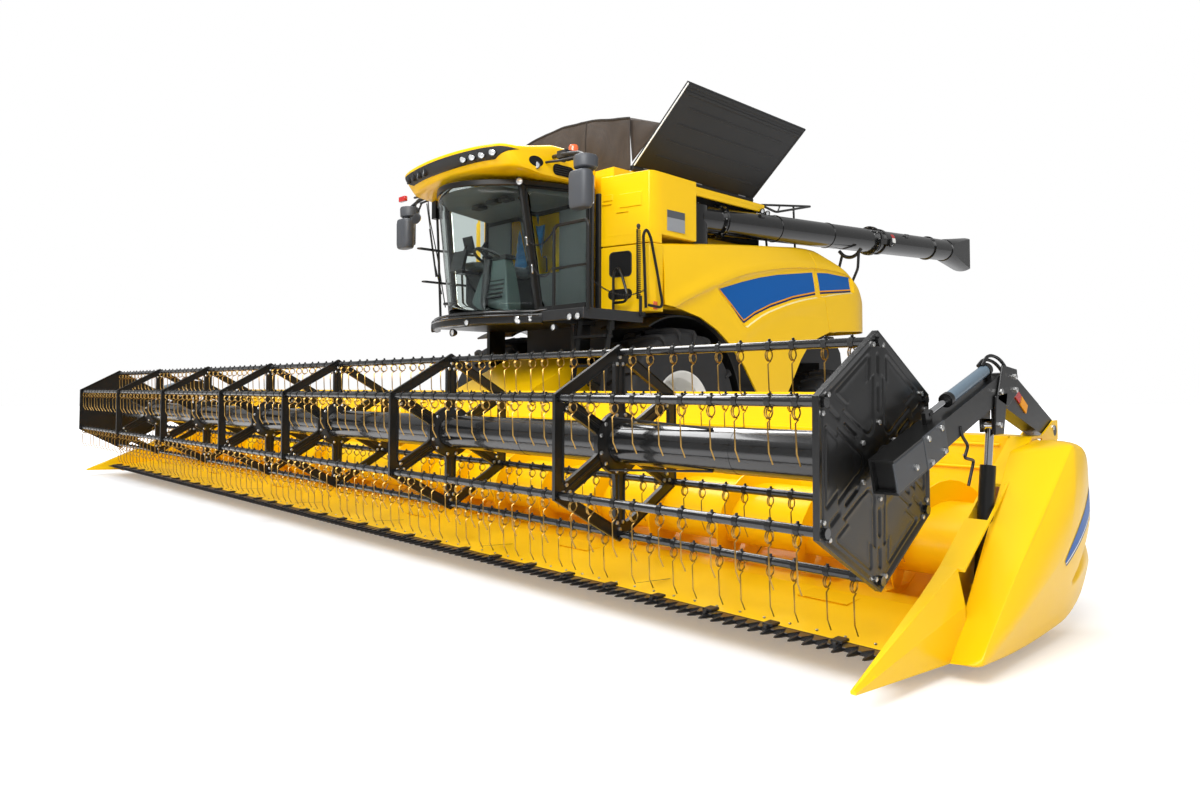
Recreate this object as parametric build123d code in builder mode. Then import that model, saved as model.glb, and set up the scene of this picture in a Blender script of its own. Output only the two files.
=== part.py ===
from build123d import *
import math
import os

# Twin-rotor combine harvester with a reel header, parked with the header on its skids.
# Millimetres. Front is -Y, the machine's left is +X, the floor is Z = 0.
# The origin is the middle of the machine's footprint, on the floor.

os.makedirs("parts", exist_ok=True)

# ---------------------------------------------------------------- driving dimensions
running_gap = 0.6             # radial clearance of a shaft in its bearing
moving_gap = 6                # clearance between pieces that move past each other

front_wheel_y = -1485
front_tyre_radius = 1020
front_tyre_width = 750
front_tyre_x = 1375           # middle of the tyre
front_rim_radius = 500

rear_wheel_y = 2150
rear_tyre_radius = 800
rear_tyre_width = 600
rear_tyre_x = 1280
rear_rim_radius = 380
kingpin_x = 850
kingpin_radius = 40

header_half_width = 6245      # inside face of the end sheets
knife_y = -5400
auger_y = -4330
auger_z = 500
auger_drum_radius = 205
trough_radius = 350
header_sheet = 10             # trough and end sheet thickness
back_wall_y = auger_y + trough_radius
beam_depth = 180
beam_top_z = 1050

reel_y = -5385
reel_z = 1000
reel_radius = 527             # bat circle
reel_half_length = header_half_width - 45   # outside face of the end plates
reel_tube_radius = 120
bat_radius = 22
bat_count = 6
eccentric_offset = (45, -40)  # Y and Z from the reel's axis to the eccentric's axis
plate_thickness = 10
end_plate_rim = 50            # the end plates' corners reach this far past the bats
arm_x = header_half_width + 60
arm_width = 90
arm_height = 130
arm_slope = 17.5              # the arm's front leg falls this many degrees forwards
arm_pivot_y = -3580
arm_pivot_z = 1070

feeder_pivot_y = -1950
feeder_pivot_z = 1600
feeder_half_width = 750
feeder_wall = 20

cab_half_width = 1000
cab_floor_z = 2150
cab_top_z = 3620
cab_wall = 45
cab_rear_y = -2335
door_front_y = -3030
door_rear_y = -2400
door_low_z = 2200
door_high_z = 3540

tank_half_width = 1200
tank_front_y = -2150
tank_rear_y = 560
tank_top_z = 3900
tank_wall = 12
cover_length_y = (-1870, 520)
cover_width = 1200
cover_open_angle = 42         # the open covers stand at this angle above level
cover_hinge_x = 1220
cover_hinge_z = tank_top_z + 34.4

tube_radius = 180             # unloading auger
tube_pivot = (1390, -930)
tube_rise = 2.6               # degrees
tube_z = tank_top_z - 460       # centre line above the pivot

beam_half_width = 860         # outside of the main frame's side beams
ear_x = 800

# ---------------------------------------------------------------- helpers


def side_plate(points, x_low, x_high, mode=Mode.ADD):
    """Extrude an outline of (Y, Z) points across the machine."""
    with BuildSketch(Plane.YZ.offset(x_low)) as outline:
        with BuildLine():
            Polyline(*points, close=True)
        make_face()
    extrude(outline.sketch, amount=x_high - x_low, mode=mode)


def front_plate(points, y_low, y_high, mode=Mode.ADD):
    """Extrude an outline of (X, Z) points along the machine."""
    with BuildSketch(Plane.XZ.offset(-y_high)) as outline:
        with BuildLine():
            Polyline(*points, close=True)
        make_face()
    extrude(outline.sketch, amount=y_high - y_low, mode=mode)


def floor_plate(points, z_low, z_high, mode=Mode.ADD):
    """Extrude an outline of (X, Y) points upwards."""
    with BuildSketch(Plane.XY.offset(z_low)) as outline:
        with BuildLine():
            Polyline(*points, close=True)
        make_face()
    extrude(outline.sketch, amount=z_high - z_low, mode=mode)


def block(x_low, x_high, y_low, y_high, z_low, z_high, mode=Mode.ADD):
    """A box given by its limits."""
    with Locations(((x_low + x_high) / 2, (y_low + y_high) / 2, (z_low + z_high) / 2)):
        Box(x_high - x_low, y_high - y_low, z_high - z_low, mode=mode)


def rod(start, end, radius, mode=Mode.ADD):
    """A round bar between two points."""
    start_point = Vector(*start)
    axis = Vector(*end) - start_point
    with BuildSketch(Plane(origin=start_point, z_dir=axis)) as section:
        Circle(radius)
    extrude(section.sketch, amount=axis.length, mode=mode)


def pipe(points, radius, bend):
    """A round pipe along straight runs joined by bends."""
    with BuildLine() as route:
        FilletPolyline(*points, radius=bend)
    with BuildSketch(Plane(origin=route.line @ 0, z_dir=route.line % 0)) as section:
        Circle(radius)
    sweep(section.sketch, path=route.line)


def slanted(x, y, z, slope):
    """A plane whose X runs forwards down the slope, whose Y points up and whose Z points right."""
    angle = math.radians(slope)
    return Plane(origin=(x, y, z), x_dir=(0, -math.cos(angle), -math.sin(angle)), z_dir=(-1, 0, 0))


def finish(builder, name):
    """Label a piece and write its STEP file."""
    builder.part.label = name
    export_step(builder.part, f"parts/{name}.step")


# ---------------------------------------------------------------- header frame
beam_rear_y = back_wall_y + header_sheet + beam_depth
feeder_mouth = (-700, 700, 320, 830)     # X limits and Z limits of the crop opening
rise_half_width = 5500                   # the raised middle of the back wall
skid_stations = (-5600, -3600, -1500, 1500, 3600, 5600)

with BuildPart() as header_frame:
    with BuildSketch(Plane.YZ.offset(-header_half_width)) as trough:
        with BuildLine() as trough_line:
            lip = Polyline((knife_y, 140), (-4700, 205), (auger_y - trough_radius / 2, 197))
            curve = ThreePointArc(
                lip @ 1,
                (auger_y + trough_radius * math.sin(math.radians(15)),
                 auger_z - trough_radius * math.cos(math.radians(15))),
                (back_wall_y, auger_z),
            )
            Line(curve @ 1, (back_wall_y, beam_top_z))
            offset(amount=header_sheet, side=Side.RIGHT, closed=True)
        make_face()
    extrude(amount=2 * header_half_width)
    block(feeder_mouth[0], feeder_mouth[1], back_wall_y - 60, back_wall_y + 60,
          feeder_mouth[2], feeder_mouth[3], mode=Mode.SUBTRACT)
    block(-header_half_width, header_half_width, back_wall_y + header_sheet, beam_rear_y,
          beam_top_z - 190, beam_top_z)
    block(-header_half_width, header_half_width, back_wall_y + header_sheet, beam_rear_y - 60,
          180, 300)
    side_plate([(back_wall_y + 90, beam_top_z), (back_wall_y + 150, 1290), (back_wall_y + 190, 1290),
                (back_wall_y + 190, 1270), (back_wall_y + 165, 1270), (back_wall_y + 106, beam_top_z)],
               -rise_half_width, rise_half_width)
    for x in (-6150, -4400, -2600, -800, 730, 2530, 4330, 6080):
        block(x, x + 70, back_wall_y + header_sheet, beam_rear_y - 60, 300, beam_top_z - 190)
    for x in skid_stations:
        side_plate([(-4900, 196), (-4700, 20), (-4600, 0), (-4100, 0), (-4060, 30), (back_wall_y, 190),
                    (back_wall_y, 300), (-4180, 190), (-4480, 190), (-4700, 203)], x - 150, x + 150)
finish(header_frame, "header_frame")

# ---------------------------------------------------------------- header ends
end_outer_x = header_half_width + 120
knee_y = -4888
knee_z = 470
nose_tip_y = knife_y - 360
lift_base = (-4540, 310)                 # foot pin of the reel lift cylinder
lift_eye = (-4400, 1130)                 # its upper eye on the arm
lift_barrel_radius = 40

with BuildPart() as header_ends:
    side_plate([(back_wall_y + 190, beam_top_z), (-3960, beam_top_z), (knee_y, knee_z), (-5250, 290),
                (knife_y - 30, 120), (-5300, 60), (-4100, 60), (back_wall_y + 190, 260)],
               header_half_width, header_half_width + header_sheet)
    side_plate([(back_wall_y + 190, beam_top_z), (-3960, beam_top_z), (knee_y, knee_z), (knee_y, knee_z - 14),
                (-3955, beam_top_z - 14), (back_wall_y + 190, beam_top_z - 14)],
               header_half_width, end_outer_x)
    block(arm_x - 48, arm_x + 48, -4580, -4330, 600, 900, mode=Mode.SUBTRACT)
    side_plate([(-3960, 900), (-3960, 120), (back_wall_y + 190, 260), (back_wall_y + 190, 900)],
               end_outer_x - header_sheet, end_outer_x)
    block(header_half_width, end_outer_x, -4100, -3960, 60, 90)
    rod((header_half_width, *lift_base), (end_outer_x, *lift_base), 16)
    for x in (header_half_width, end_outer_x - header_sheet):
        side_plate([(-3800, 880), (-3800, beam_top_z), (arm_pivot_y - 20, 1130), (arm_pivot_y + 50, 1130),
                    (arm_pivot_y + 50, 1020)], x, x + header_sheet)
    rod((header_half_width - 1, arm_pivot_y, arm_pivot_z), (end_outer_x + 1, arm_pivot_y, arm_pivot_z),
        30 + running_gap, mode=Mode.SUBTRACT)
    block(end_outer_x - header_sheet, end_outer_x, lift_base[0] - 60, -3960, 90, 400)
    block(header_half_width, end_outer_x, lift_base[0] - 60, -4100, 60, 90)
    with BuildSketch(Plane.XZ.offset(-knee_y)) as nose_root:
        with BuildLine():
            Polyline((header_half_width, 60), (end_outer_x, 60), (end_outer_x, 300),
                     (header_half_width + 85, knee_z), (header_half_width + 10, knee_z),
                     (header_half_width, 440), close=True)
        make_face()
    with BuildSketch(Plane.XZ.offset(-nose_tip_y)) as nose_tip:
        with BuildLine():
            tip_x = header_half_width
            Polyline((tip_x + 13, 96), (tip_x + 37, 96), (tip_x + 39, 104), (tip_x + 29, 116),
                     (tip_x + 21, 116), (tip_x + 12, 108), close=True)
        make_face()
    loft([nose_root.sketch, nose_tip.sketch], ruled=True)
    rod((header_half_width - 1, auger_y, auger_z), (end_outer_x - 60, auger_y, auger_z),
        30 + running_gap, mode=Mode.SUBTRACT)
    mirror(about=Plane.YZ)
finish(header_ends, "header_ends")

# Bulged outer covers of the header ends, each a loft of three rounded outlines.
shield_sections = [  # distance outside the end sheet, inset of the outline, corner radius
    (8, 0, 60),
    (190, 0, 60),
    (285, 70, 110),
]

with BuildPart() as end_shields:
    shield_faces = []
    for distance, inset, corner in shield_sections:
        with BuildSketch(Plane.YZ.offset(end_outer_x + distance)) as shield_outline:
            with BuildLine():
                Polyline((-5010 + inset * 1.6, 110 + inset * 0.5), (-3900 - inset * 0.2, 1060 - inset),
                         (-3660 - inset, 1040 - inset), (-3620 - inset, 420),
                         (-4050 - inset * 0.4, 130 + inset), close=True)
            make_face()
            fillet(shield_outline.vertices(), corner)
        shield_faces.append(shield_outline.sketch)
    loft(shield_faces, ruled=True)
    block(end_outer_x, end_outer_x + 10, -4100, -3800, 500, 860)
    mirror(about=Plane.YZ)
finish(end_shields, "end_shields")

# ---------------------------------------------------------------- knife
guard_pitch = 76.2
guard_length = 75
guard_count = 163
knife_front_y = knife_y - 4

with BuildPart() as knife_bar:
    with BuildSketch(Plane.XY.offset(140)) as comb:
        with BuildLine():
            first_x = -guard_pitch * guard_count / 2
            outline = [(-first_x, knife_front_y), (-first_x, knife_y), (first_x, knife_y),
                       (first_x, knife_front_y)]
            for guard in range(guard_count):
                x = first_x + guard_pitch * guard
                outline.append((x + 16, knife_front_y - 30))
                outline.append((x + guard_pitch / 2, knife_front_y - guard_length))
                outline.append((x + guard_pitch - 16, knife_front_y - 30))
                outline.append((x + guard_pitch, knife_front_y))
            Polyline(*outline[:-1], close=True)
        make_face()
    extrude(amount=22)
finish(knife_bar, "knife_bar")

# ---------------------------------------------------------------- cross auger of the header
with BuildPart() as header_auger:
    rod((-header_half_width + 25, auger_y, auger_z), (header_half_width - 25, auger_y, auger_z),
        auger_drum_radius)
    rod((-header_half_width - 60, auger_y, auger_z), (header_half_width + 60, auger_y, auger_z), 30)
finish(header_auger, "header_auger")

# ---------------------------------------------------------------- feeder house
feeder_front_y = beam_rear_y + 0.4
feeder_profile = [(feeder_front_y, 230), (feeder_front_y, 900), (-2060, 1770), (-1900, 1700),
                  (-1900, 1300), (-2060, 1180)]
feeder_inside = [(feeder_front_y - 10, 290), (feeder_front_y - 10, 850), (-2060, 1745), (-1890, 1670),
                 (-1890, 1330), (-2060, 1215)]
lift_lug = (-3050, 540)                  # eye of the header lift cylinders on the feeder
lift_foot = (-1760, 640)                 # their feet on the front axle
lift_x = 560
lift_pin_radius = 20
eye_play = 6                             # the open eye of a header cylinder's rod may drift by this

with BuildPart() as feeder_house:
    side_plate(feeder_profile, -feeder_half_width, feeder_half_width)
    side_plate(feeder_inside, -feeder_half_width + feeder_wall, feeder_half_width - feeder_wall,
               mode=Mode.SUBTRACT)
    block(-900, -feeder_half_width, feeder_front_y, feeder_front_y + 60, 200, 1020)
    block(feeder_half_width, 900, feeder_front_y, feeder_front_y + 60, 200, 1020)
    block(-900, 900, feeder_front_y, feeder_front_y + 60, 900, 1020)
    block(-900, 900, feeder_front_y, feeder_front_y + 60, 180, 250)
    for side in (-1, 1):
        rod((side * feeder_half_width, feeder_pivot_y, feeder_pivot_z),
            (side * (beam_half_width - 4), feeder_pivot_y, feeder_pivot_z), 60)
        for ear in (-60, 44):
            side_plate([(lift_lug[0] - 55, lift_lug[1] - 45), (lift_lug[0] + 45, lift_lug[1] - 45),
                        (lift_lug[0] + 130, 715), (lift_lug[0] - 130, 572)],
                       side * lift_x + ear, side * lift_x + ear + 16)
        rod((side * lift_x - 60, *lift_lug), (side * lift_x + 60, *lift_lug), lift_pin_radius)
finish(feeder_house, "feeder_house")


def rod_eye(eye, pin_radius, x):
    """The eye at the end of a cylinder rod, with play round its pin."""
    rod((x - 24, *eye), (x + 24, *eye), pin_radius + eye_play + 12)
    rod((x - 25, *eye), (x + 25, *eye), pin_radius + eye_play, mode=Mode.SUBTRACT)


def link(foot, eye, start, end, radius, x, mode=Mode.ADD):
    """A round bar on the line from a foot pin to an eye, between two distances from the foot."""
    length = math.hypot(eye[0] - foot[0], eye[1] - foot[1])
    along = [(eye[axis] - foot[axis]) / length for axis in (0, 1)]
    rod((x, foot[0] + along[0] * start, foot[1] + along[1] * start),
        (x, foot[0] + along[0] * end, foot[1] + along[1] * end), radius, mode=mode)


lift_reach = math.hypot(lift_lug[0] - lift_foot[0], lift_lug[1] - lift_foot[1])
with BuildPart() as header_lift_barrels:
    for x in (-lift_x, lift_x):
        link(lift_foot, lift_lug, -50, lift_reach - 250, 62, x)
        link(lift_foot, lift_lug, 80, lift_reach, 38 + running_gap, x, mode=Mode.SUBTRACT)
        rod((x - 80, *lift_foot), (x + 80, *lift_foot), 25 + running_gap, mode=Mode.SUBTRACT)
finish(header_lift_barrels, "header_lift_barrels")

with BuildPart() as header_lift_rods:
    for x in (-lift_x, lift_x):
        link(lift_foot, lift_lug, 120, lift_reach - lift_pin_radius - eye_play - 40, 38, x)
        link(lift_foot, lift_lug, 130, lift_reach - lift_pin_radius - eye_play - 5, 20, x)
        rod_eye(lift_lug, lift_pin_radius, x)
finish(header_lift_rods, "header_lift_rods")

# ---------------------------------------------------------------- reel
spider_stations = (4558, 2798, 990, -509, -2344, -4204)
bat_angles = [90 + 360 / bat_count * step for step in range(bat_count)]
bat_centres = [(reel_y + reel_radius * math.cos(math.radians(angle)),
                reel_z + reel_radius * math.sin(math.radians(angle))) for angle in bat_angles]
stub_radius = 30
sleeve_wall = 12
stub_end_x = arm_x - arm_width / 2 - sleeve_wall - 2


def bat_holes():
    with PolarLocations(reel_radius, bat_count, start_angle=90):
        Circle(bat_radius + running_gap, mode=Mode.SUBTRACT)


with BuildPart() as reel_tube:
    tube_half_length = reel_half_length - plate_thickness
    rod((-tube_half_length, reel_y, reel_z), (tube_half_length, reel_y, reel_z), reel_tube_radius)
    rod((-stub_end_x, reel_y, reel_z), (stub_end_x, reel_y, reel_z), stub_radius)
finish(reel_tube, "reel_tube")

with BuildPart() as reel_spiders:
    for x in spider_stations:
        with BuildSketch(Plane(origin=(x - 14, reel_y, reel_z), x_dir=(0, 1, 0), z_dir=(1, 0, 0))) as spider:
            RegularPolygon(reel_radius + 45, 6, rotation=30)
            RegularPolygon(reel_radius - 30, 6, rotation=30, mode=Mode.SUBTRACT)
            with PolarLocations(0, bat_count, start_angle=90):
                with Locations((reel_radius / 2, 0)):
                    Rectangle(reel_radius, 60)
            Circle(reel_tube_radius + 60)
            Circle(reel_tube_radius + 0.3, mode=Mode.SUBTRACT)
            bat_holes()
        extrude(spider.sketch, amount=28)
    for x in (-reel_half_length, reel_half_length - plate_thickness):
        with BuildSketch(Plane(origin=(x, reel_y, reel_z), x_dir=(0, 1, 0), z_dir=(1, 0, 0))) as end_plate:
            RegularPolygon(reel_radius + end_plate_rim, 6, rotation=30)
            Circle(stub_radius + 0.3, mode=Mode.SUBTRACT)
            bat_holes()
        extrude(end_plate.sketch, amount=plate_thickness)
    for x in (-reel_half_length + plate_thickness, reel_half_length - plate_thickness - 30):
        with BuildSketch(Plane(origin=(x, reel_y, reel_z), x_dir=(0, 1, 0), z_dir=(1, 0, 0))) as rim:
            RegularPolygon(reel_radius + end_plate_rim, 6, rotation=30)
            RegularPolygon(reel_radius + end_plate_rim - 8, 6, rotation=30, mode=Mode.SUBTRACT)
        extrude(rim.sketch, amount=30)
finish(reel_spiders, "reel_spiders")

crank_x = -reel_half_length - 4
eccentric_x = crank_x - plate_thickness - 6
pin_radius = 12
for number, (y, z) in enumerate(bat_centres, start=1):
    pin_y = y + eccentric_offset[0]
    pin_z = z + eccentric_offset[1]
    with BuildPart() as bat:
        rod((crank_x - plate_thickness, y, z), (reel_half_length + 12, y, z), bat_radius)
        with BuildSketch(Plane.YZ.offset(crank_x - plate_thickness)) as crank:
            with Locations(((y + pin_y) / 2, (z + pin_z) / 2)):
                SlotCenterToCenter(math.hypot(*eccentric_offset), 2 * bat_radius + 6,
                                   rotation=math.degrees(math.atan2(*reversed(eccentric_offset))))
        extrude(crank.sketch, amount=plate_thickness)
        rod((crank_x - plate_thickness, pin_y, pin_z), (eccentric_x - plate_thickness - 2, pin_y, pin_z),
            pin_radius)
    finish(bat, f"bat_{number}")

hub_radius = 140
with BuildPart() as reel_eccentric:
    with BuildSketch(Plane(origin=(eccentric_x - plate_thickness, reel_y + eccentric_offset[0],
                                   reel_z + eccentric_offset[1]),
                           x_dir=(0, 1, 0), z_dir=(1, 0, 0))) as eccentric:
        RegularPolygon(reel_radius + 30, 6, rotation=30)
        RegularPolygon(reel_radius - 30, 6, rotation=30, mode=Mode.SUBTRACT)
        with PolarLocations(0, bat_count, start_angle=90):
            with Locations((reel_radius / 2, 0)):
                Rectangle(reel_radius, 50)
        Circle(hub_radius + 45)
        Circle(hub_radius + running_gap, mode=Mode.SUBTRACT)
        with PolarLocations(reel_radius, bat_count, start_angle=90):
            Circle(pin_radius + running_gap, mode=Mode.SUBTRACT)
    extrude(eccentric.sketch, amount=plate_thickness)
finish(reel_eccentric, "reel_eccentric")

# ---------------------------------------------------------------- reel arms and their cylinders
slope = math.radians(arm_slope)
knee_reach = 1105                        # from the reel's axis back to the arm's knee
arm_tip_reach = 150
arm_knee = (reel_y + knee_reach * math.cos(slope), reel_z + knee_reach * math.sin(slope))
sleeve_front = 180                       # the sliding sleeve's ends, forwards and back from the axis
sleeve_rear = 330
sleeve_play = 0.8
shift_barrel_radius = 28
shift_rod_radius = 14
shift_height = arm_height / 2 + sleeve_wall + shift_barrel_radius + 8

shift_foot_reach = 1040                  # from the reel's axis back to the shift cylinder's foot
shift_barrel_reach = 500
leg_plane = slanted(arm_x + arm_width / 2, reel_y, reel_z, arm_slope)
shift_plane = slanted(arm_x, reel_y, reel_z, arm_slope)


def along_arm(reach, height):
    """A point above the arm's centre line, a distance back from the reel's axis."""
    return tuple(shift_plane.from_local_coords(Vector(-reach, height, 0)))


def arm_box(reach_rear, reach_front, height, width, mode=Mode.ADD):
    """A box along the arm, centred on its line."""
    with BuildSketch(slanted(arm_x + width / 2, reel_y, reel_z, arm_slope)) as side:
        with Locations(((reach_front - reach_rear) / 2, 0)):
            Rectangle(reach_front + reach_rear, height)
    extrude(side.sketch, amount=width, mode=mode)


reel_eye_radius = 16
reel_eye_play = 4
reel_eye_travel = 21                     # the pin's slot in the arm's lugs reaches this far back
lug_profile = [(lift_eye[0] - 45, lift_eye[1] - 40), (lift_eye[0] + 65, lift_eye[1] - 40),
               (lift_eye[0] + 90, 1300), (lift_eye[0] - 60, 1300)]
with BuildPart() as reel_arms:
    arm_box(knee_reach, arm_tip_reach, arm_height, arm_width)
    side_plate([(arm_pivot_y + 50, arm_pivot_z - 50), (arm_pivot_y + 50, arm_pivot_z + 40),
                (arm_knee[0] + 130, arm_knee[1] + 70), (arm_knee[0] - 40, arm_knee[1] + 60),
                (arm_knee[0] - 60, arm_knee[1] - 90), (arm_pivot_y - 60, arm_pivot_z - 50)],
               arm_x - arm_width / 2, arm_x + arm_width / 2)
    for inner in (-36, 26):
        side_plate(lug_profile, arm_x + inner, arm_x + inner + 10)
    slot_half = reel_eye_radius + reel_eye_play
    block(arm_x - 50, arm_x + 50, lift_eye[0], lift_eye[0] + reel_eye_travel, lift_eye[1] - slot_half,
          lift_eye[1] + slot_half, mode=Mode.SUBTRACT)
    for y in (lift_eye[0], lift_eye[0] + reel_eye_travel):
        rod((arm_x - 50, y, lift_eye[1]), (arm_x + 50, y, lift_eye[1]), slot_half, mode=Mode.SUBTRACT)
    rod((header_half_width, arm_pivot_y, arm_pivot_z), (end_outer_x, arm_pivot_y, arm_pivot_z), 30)
    rod(along_arm(shift_foot_reach, shift_height), along_arm(shift_barrel_reach, shift_height),
        shift_barrel_radius)
    rod(along_arm(shift_foot_reach - 40, shift_height), along_arm(shift_barrel_reach, shift_height),
        shift_rod_radius + running_gap, mode=Mode.SUBTRACT)
    with BuildSketch(slanted(arm_x + 12, reel_y, reel_z, arm_slope)) as shift_foot:
        with Locations((-shift_foot_reach + 15, shift_height / 2 + 10)):
            Rectangle(50, shift_height)
    extrude(shift_foot.sketch, amount=24)
    mirror(about=Plane.YZ)
finish(reel_arms, "reel_arms")

bracket_low = arm_height / 2 + sleeve_wall / 2     # the rod's bracket stands on the sleeve
bracket_high = shift_height + shift_rod_radius + 6
with BuildPart() as reel_carriages:
    arm_box(sleeve_rear, sleeve_front, arm_height + 2 * sleeve_wall, arm_width + 2 * sleeve_wall)
    arm_box(sleeve_rear + 1, sleeve_front + 1, arm_height + 2 * sleeve_play, arm_width + 2 * sleeve_play,
            mode=Mode.SUBTRACT)
    rod(along_arm(840, shift_height), along_arm(sleeve_rear - 30, shift_height), shift_rod_radius)
    with BuildSketch(slanted(arm_x + 10, reel_y, reel_z, arm_slope)) as rod_bracket:
        with Locations((-sleeve_rear + 40, (bracket_low + bracket_high) / 2)):
            Rectangle(60, bracket_high - bracket_low)
    extrude(rod_bracket.sketch, amount=20)
    mirror(about=Plane.YZ)
    sleeve_inner_x = arm_x - arm_width / 2 - sleeve_wall
    for low in (sleeve_inner_x - 28, -sleeve_inner_x):
        rod((low, reel_y, reel_z), (low + 28, reel_y, reel_z), 70)
    hub_start = -sleeve_inner_x
    rod((hub_start, reel_y + eccentric_offset[0], reel_z + eccentric_offset[1]),
        (eccentric_x + 2, reel_y + eccentric_offset[0], reel_z + eccentric_offset[1]), hub_radius)
    rod((-arm_x - 20, reel_y, reel_z), (arm_x + 20, reel_y, reel_z), stub_radius + running_gap,
        mode=Mode.SUBTRACT)
finish(reel_carriages, "reel_carriages")

reel_lift_length = math.hypot(lift_eye[0] - lift_base[0], lift_eye[1] - lift_base[1])
reel_lift_barrel = 620
with BuildPart() as reel_lift_barrels:
    for x in (-arm_x, arm_x):
        link(lift_base, lift_eye, -30, reel_lift_barrel, lift_barrel_radius, x)
        link(lift_base, lift_eye, 30, reel_lift_barrel, 22 + running_gap, x, mode=Mode.SUBTRACT)
        rod((x - 60, *lift_base), (x + 60, *lift_base), 16 + running_gap, mode=Mode.SUBTRACT)
finish(reel_lift_barrels, "reel_lift_barrels")

with BuildPart() as reel_lift_rods:
    for x in (-arm_x, arm_x):
        link(lift_base, lift_eye, 40, reel_lift_length - 5, 22, x)
        rod((x - 24, *lift_eye), (x + 24, *lift_eye), reel_eye_radius + 14)
        rod((x - 42, *lift_eye), (x + 42, *lift_eye), reel_eye_radius)
finish(reel_lift_rods, "reel_lift_rods")

# ---------------------------------------------------------------- wheels
def tyre(radius, width, bead, x, y):
    """A low-pressure tyre turned about its axle."""
    half = width / 2
    shoulder = bead + (radius - bead) * 0.5
    with BuildSketch(Plane(origin=(x, y, radius), x_dir=(1, 0, 0), z_dir=(0, 0, 1))) as section:
        with BuildLine():
            Polyline((-half * 0.8, bead), (-half, shoulder), (-half * 0.88, radius - 28), (0, radius),
                     (half * 0.88, radius - 28), (half, shoulder), (half * 0.8, bead), close=True)
        make_face()
    revolve(section.sketch, axis=Axis((x, y, radius), (1, 0, 0)))


rim_depth = 78                           # the drop of the rim below the tyre's bead


def rim(radius, width, bead, x, y, disc_x, bore):
    """A rim with a dished disc and a round hub bore."""
    half = width * 0.4
    outer = bead - running_gap
    side = 1 if x > 0 else -1
    with BuildSketch(Plane(origin=(x, y, radius), x_dir=(1, 0, 0), z_dir=(0, 0, 1))) as section:
        with BuildLine():
            Polyline((-half, outer), (half, outer), (half, outer - 18), (half * 0.8, outer - rim_depth),
                     (-half * 0.8, outer - rim_depth), (-half, outer - 18), close=True)
        make_face()
    revolve(section.sketch, axis=Axis((x, y, radius), (1, 0, 0)))
    with BuildSketch(Plane(origin=(x, y, radius), x_dir=(1, 0, 0), z_dir=(0, 0, 1))) as disc:
        with BuildLine():
            Polyline((disc_x, bore), (disc_x + side * 60, bore), (disc_x + side * 60, bore + 120),
                     (disc_x - side * 40, outer - rim_depth + 8), (disc_x - side * 56, outer - rim_depth + 8),
                     (disc_x, bore + 110), close=True)
        make_face()
    revolve(disc.sketch, axis=Axis((x, y, radius), (1, 0, 0)))


front_spindle_radius = 150
rear_spindle_radius = 75
wheel_table = [  # name, X of the tyre, Y, tyre radius, tyre width, rim radius, disc offset, bore
    ("front", front_tyre_x, front_wheel_y, front_tyre_radius, front_tyre_width, front_rim_radius, -60,
     front_spindle_radius),
    ("rear", rear_tyre_x, rear_wheel_y, rear_tyre_radius, rear_tyre_width, rear_rim_radius, -40,
     rear_spindle_radius),
]
for axle, tyre_x, wheel_y, tyre_radius, tyre_width, rim_radius, disc_offset, spindle in wheel_table:
    for side_name, side in (("left", 1), ("right", -1)):
        with BuildPart() as tyre_part:
            tyre(tyre_radius, tyre_width, rim_radius, side * tyre_x, wheel_y)
        finish(tyre_part, f"{axle}_{side_name}_tyre")
        with BuildPart() as rim_part:
            rim(tyre_radius, tyre_width, rim_radius, side * tyre_x, wheel_y, side * disc_offset,
                spindle + running_gap)
        finish(rim_part, f"{axle}_{side_name}_rim")

# ---------------------------------------------------------------- axles and steering
beam_low_z = 1150
drive_end_x = 1150                       # outer end of the final drives
final_drive_radius = 300

with BuildPart() as front_axle:
    block(-980, 980, front_wheel_y - 170, front_wheel_y + 170, 880, beam_low_z)
    for side in (-1, 1):
        drive_x = side * (beam_half_width + 2)
        rod((drive_x, front_wheel_y, front_tyre_radius),
            (side * drive_end_x, front_wheel_y, front_tyre_radius), final_drive_radius)
        rod((side * drive_end_x, front_wheel_y, front_tyre_radius),
            (side * (front_tyre_x + 20), front_wheel_y, front_tyre_radius), front_spindle_radius)
        rod((side * lift_x - 90, *lift_foot), (side * lift_x + 90, *lift_foot), 25)
        for ear in (-92, 72):
            side_plate([(lift_foot[0] - 60, lift_foot[1] - 60), (lift_foot[0] + 60, lift_foot[1] - 60),
                        (front_wheel_y, 880), (front_wheel_y - 170, 920)],
                       side * lift_x + ear, side * lift_x + ear + 20)
finish(front_axle, "front_axle")

knuckle_arm = 300                        # steering arm length
ball_pin_radius = 14
with BuildPart() as rear_axle:
    block(-720, 720, rear_wheel_y - 110, rear_wheel_y + 110, 700, 900)
    block(-160, 160, rear_wheel_y - 140, rear_wheel_y + 140, 900, 1100)
    for side in (-1, 1):
        block(side * 820 - 110, side * 820 + 110, rear_wheel_y - 90, rear_wheel_y + 90, 930, 980)
        block(side * 820 - 110, side * 820 + 110, rear_wheel_y - 90, rear_wheel_y + 90, 620, 670)
        block(side * 700 - 40, side * 700 + 40, rear_wheel_y - 90, rear_wheel_y + 90, 620, 980)
        rod((side * kingpin_x, rear_wheel_y, 600), (side * kingpin_x, rear_wheel_y, 1000),
            kingpin_radius + running_gap, mode=Mode.SUBTRACT)
finish(rear_axle, "rear_axle")

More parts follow.
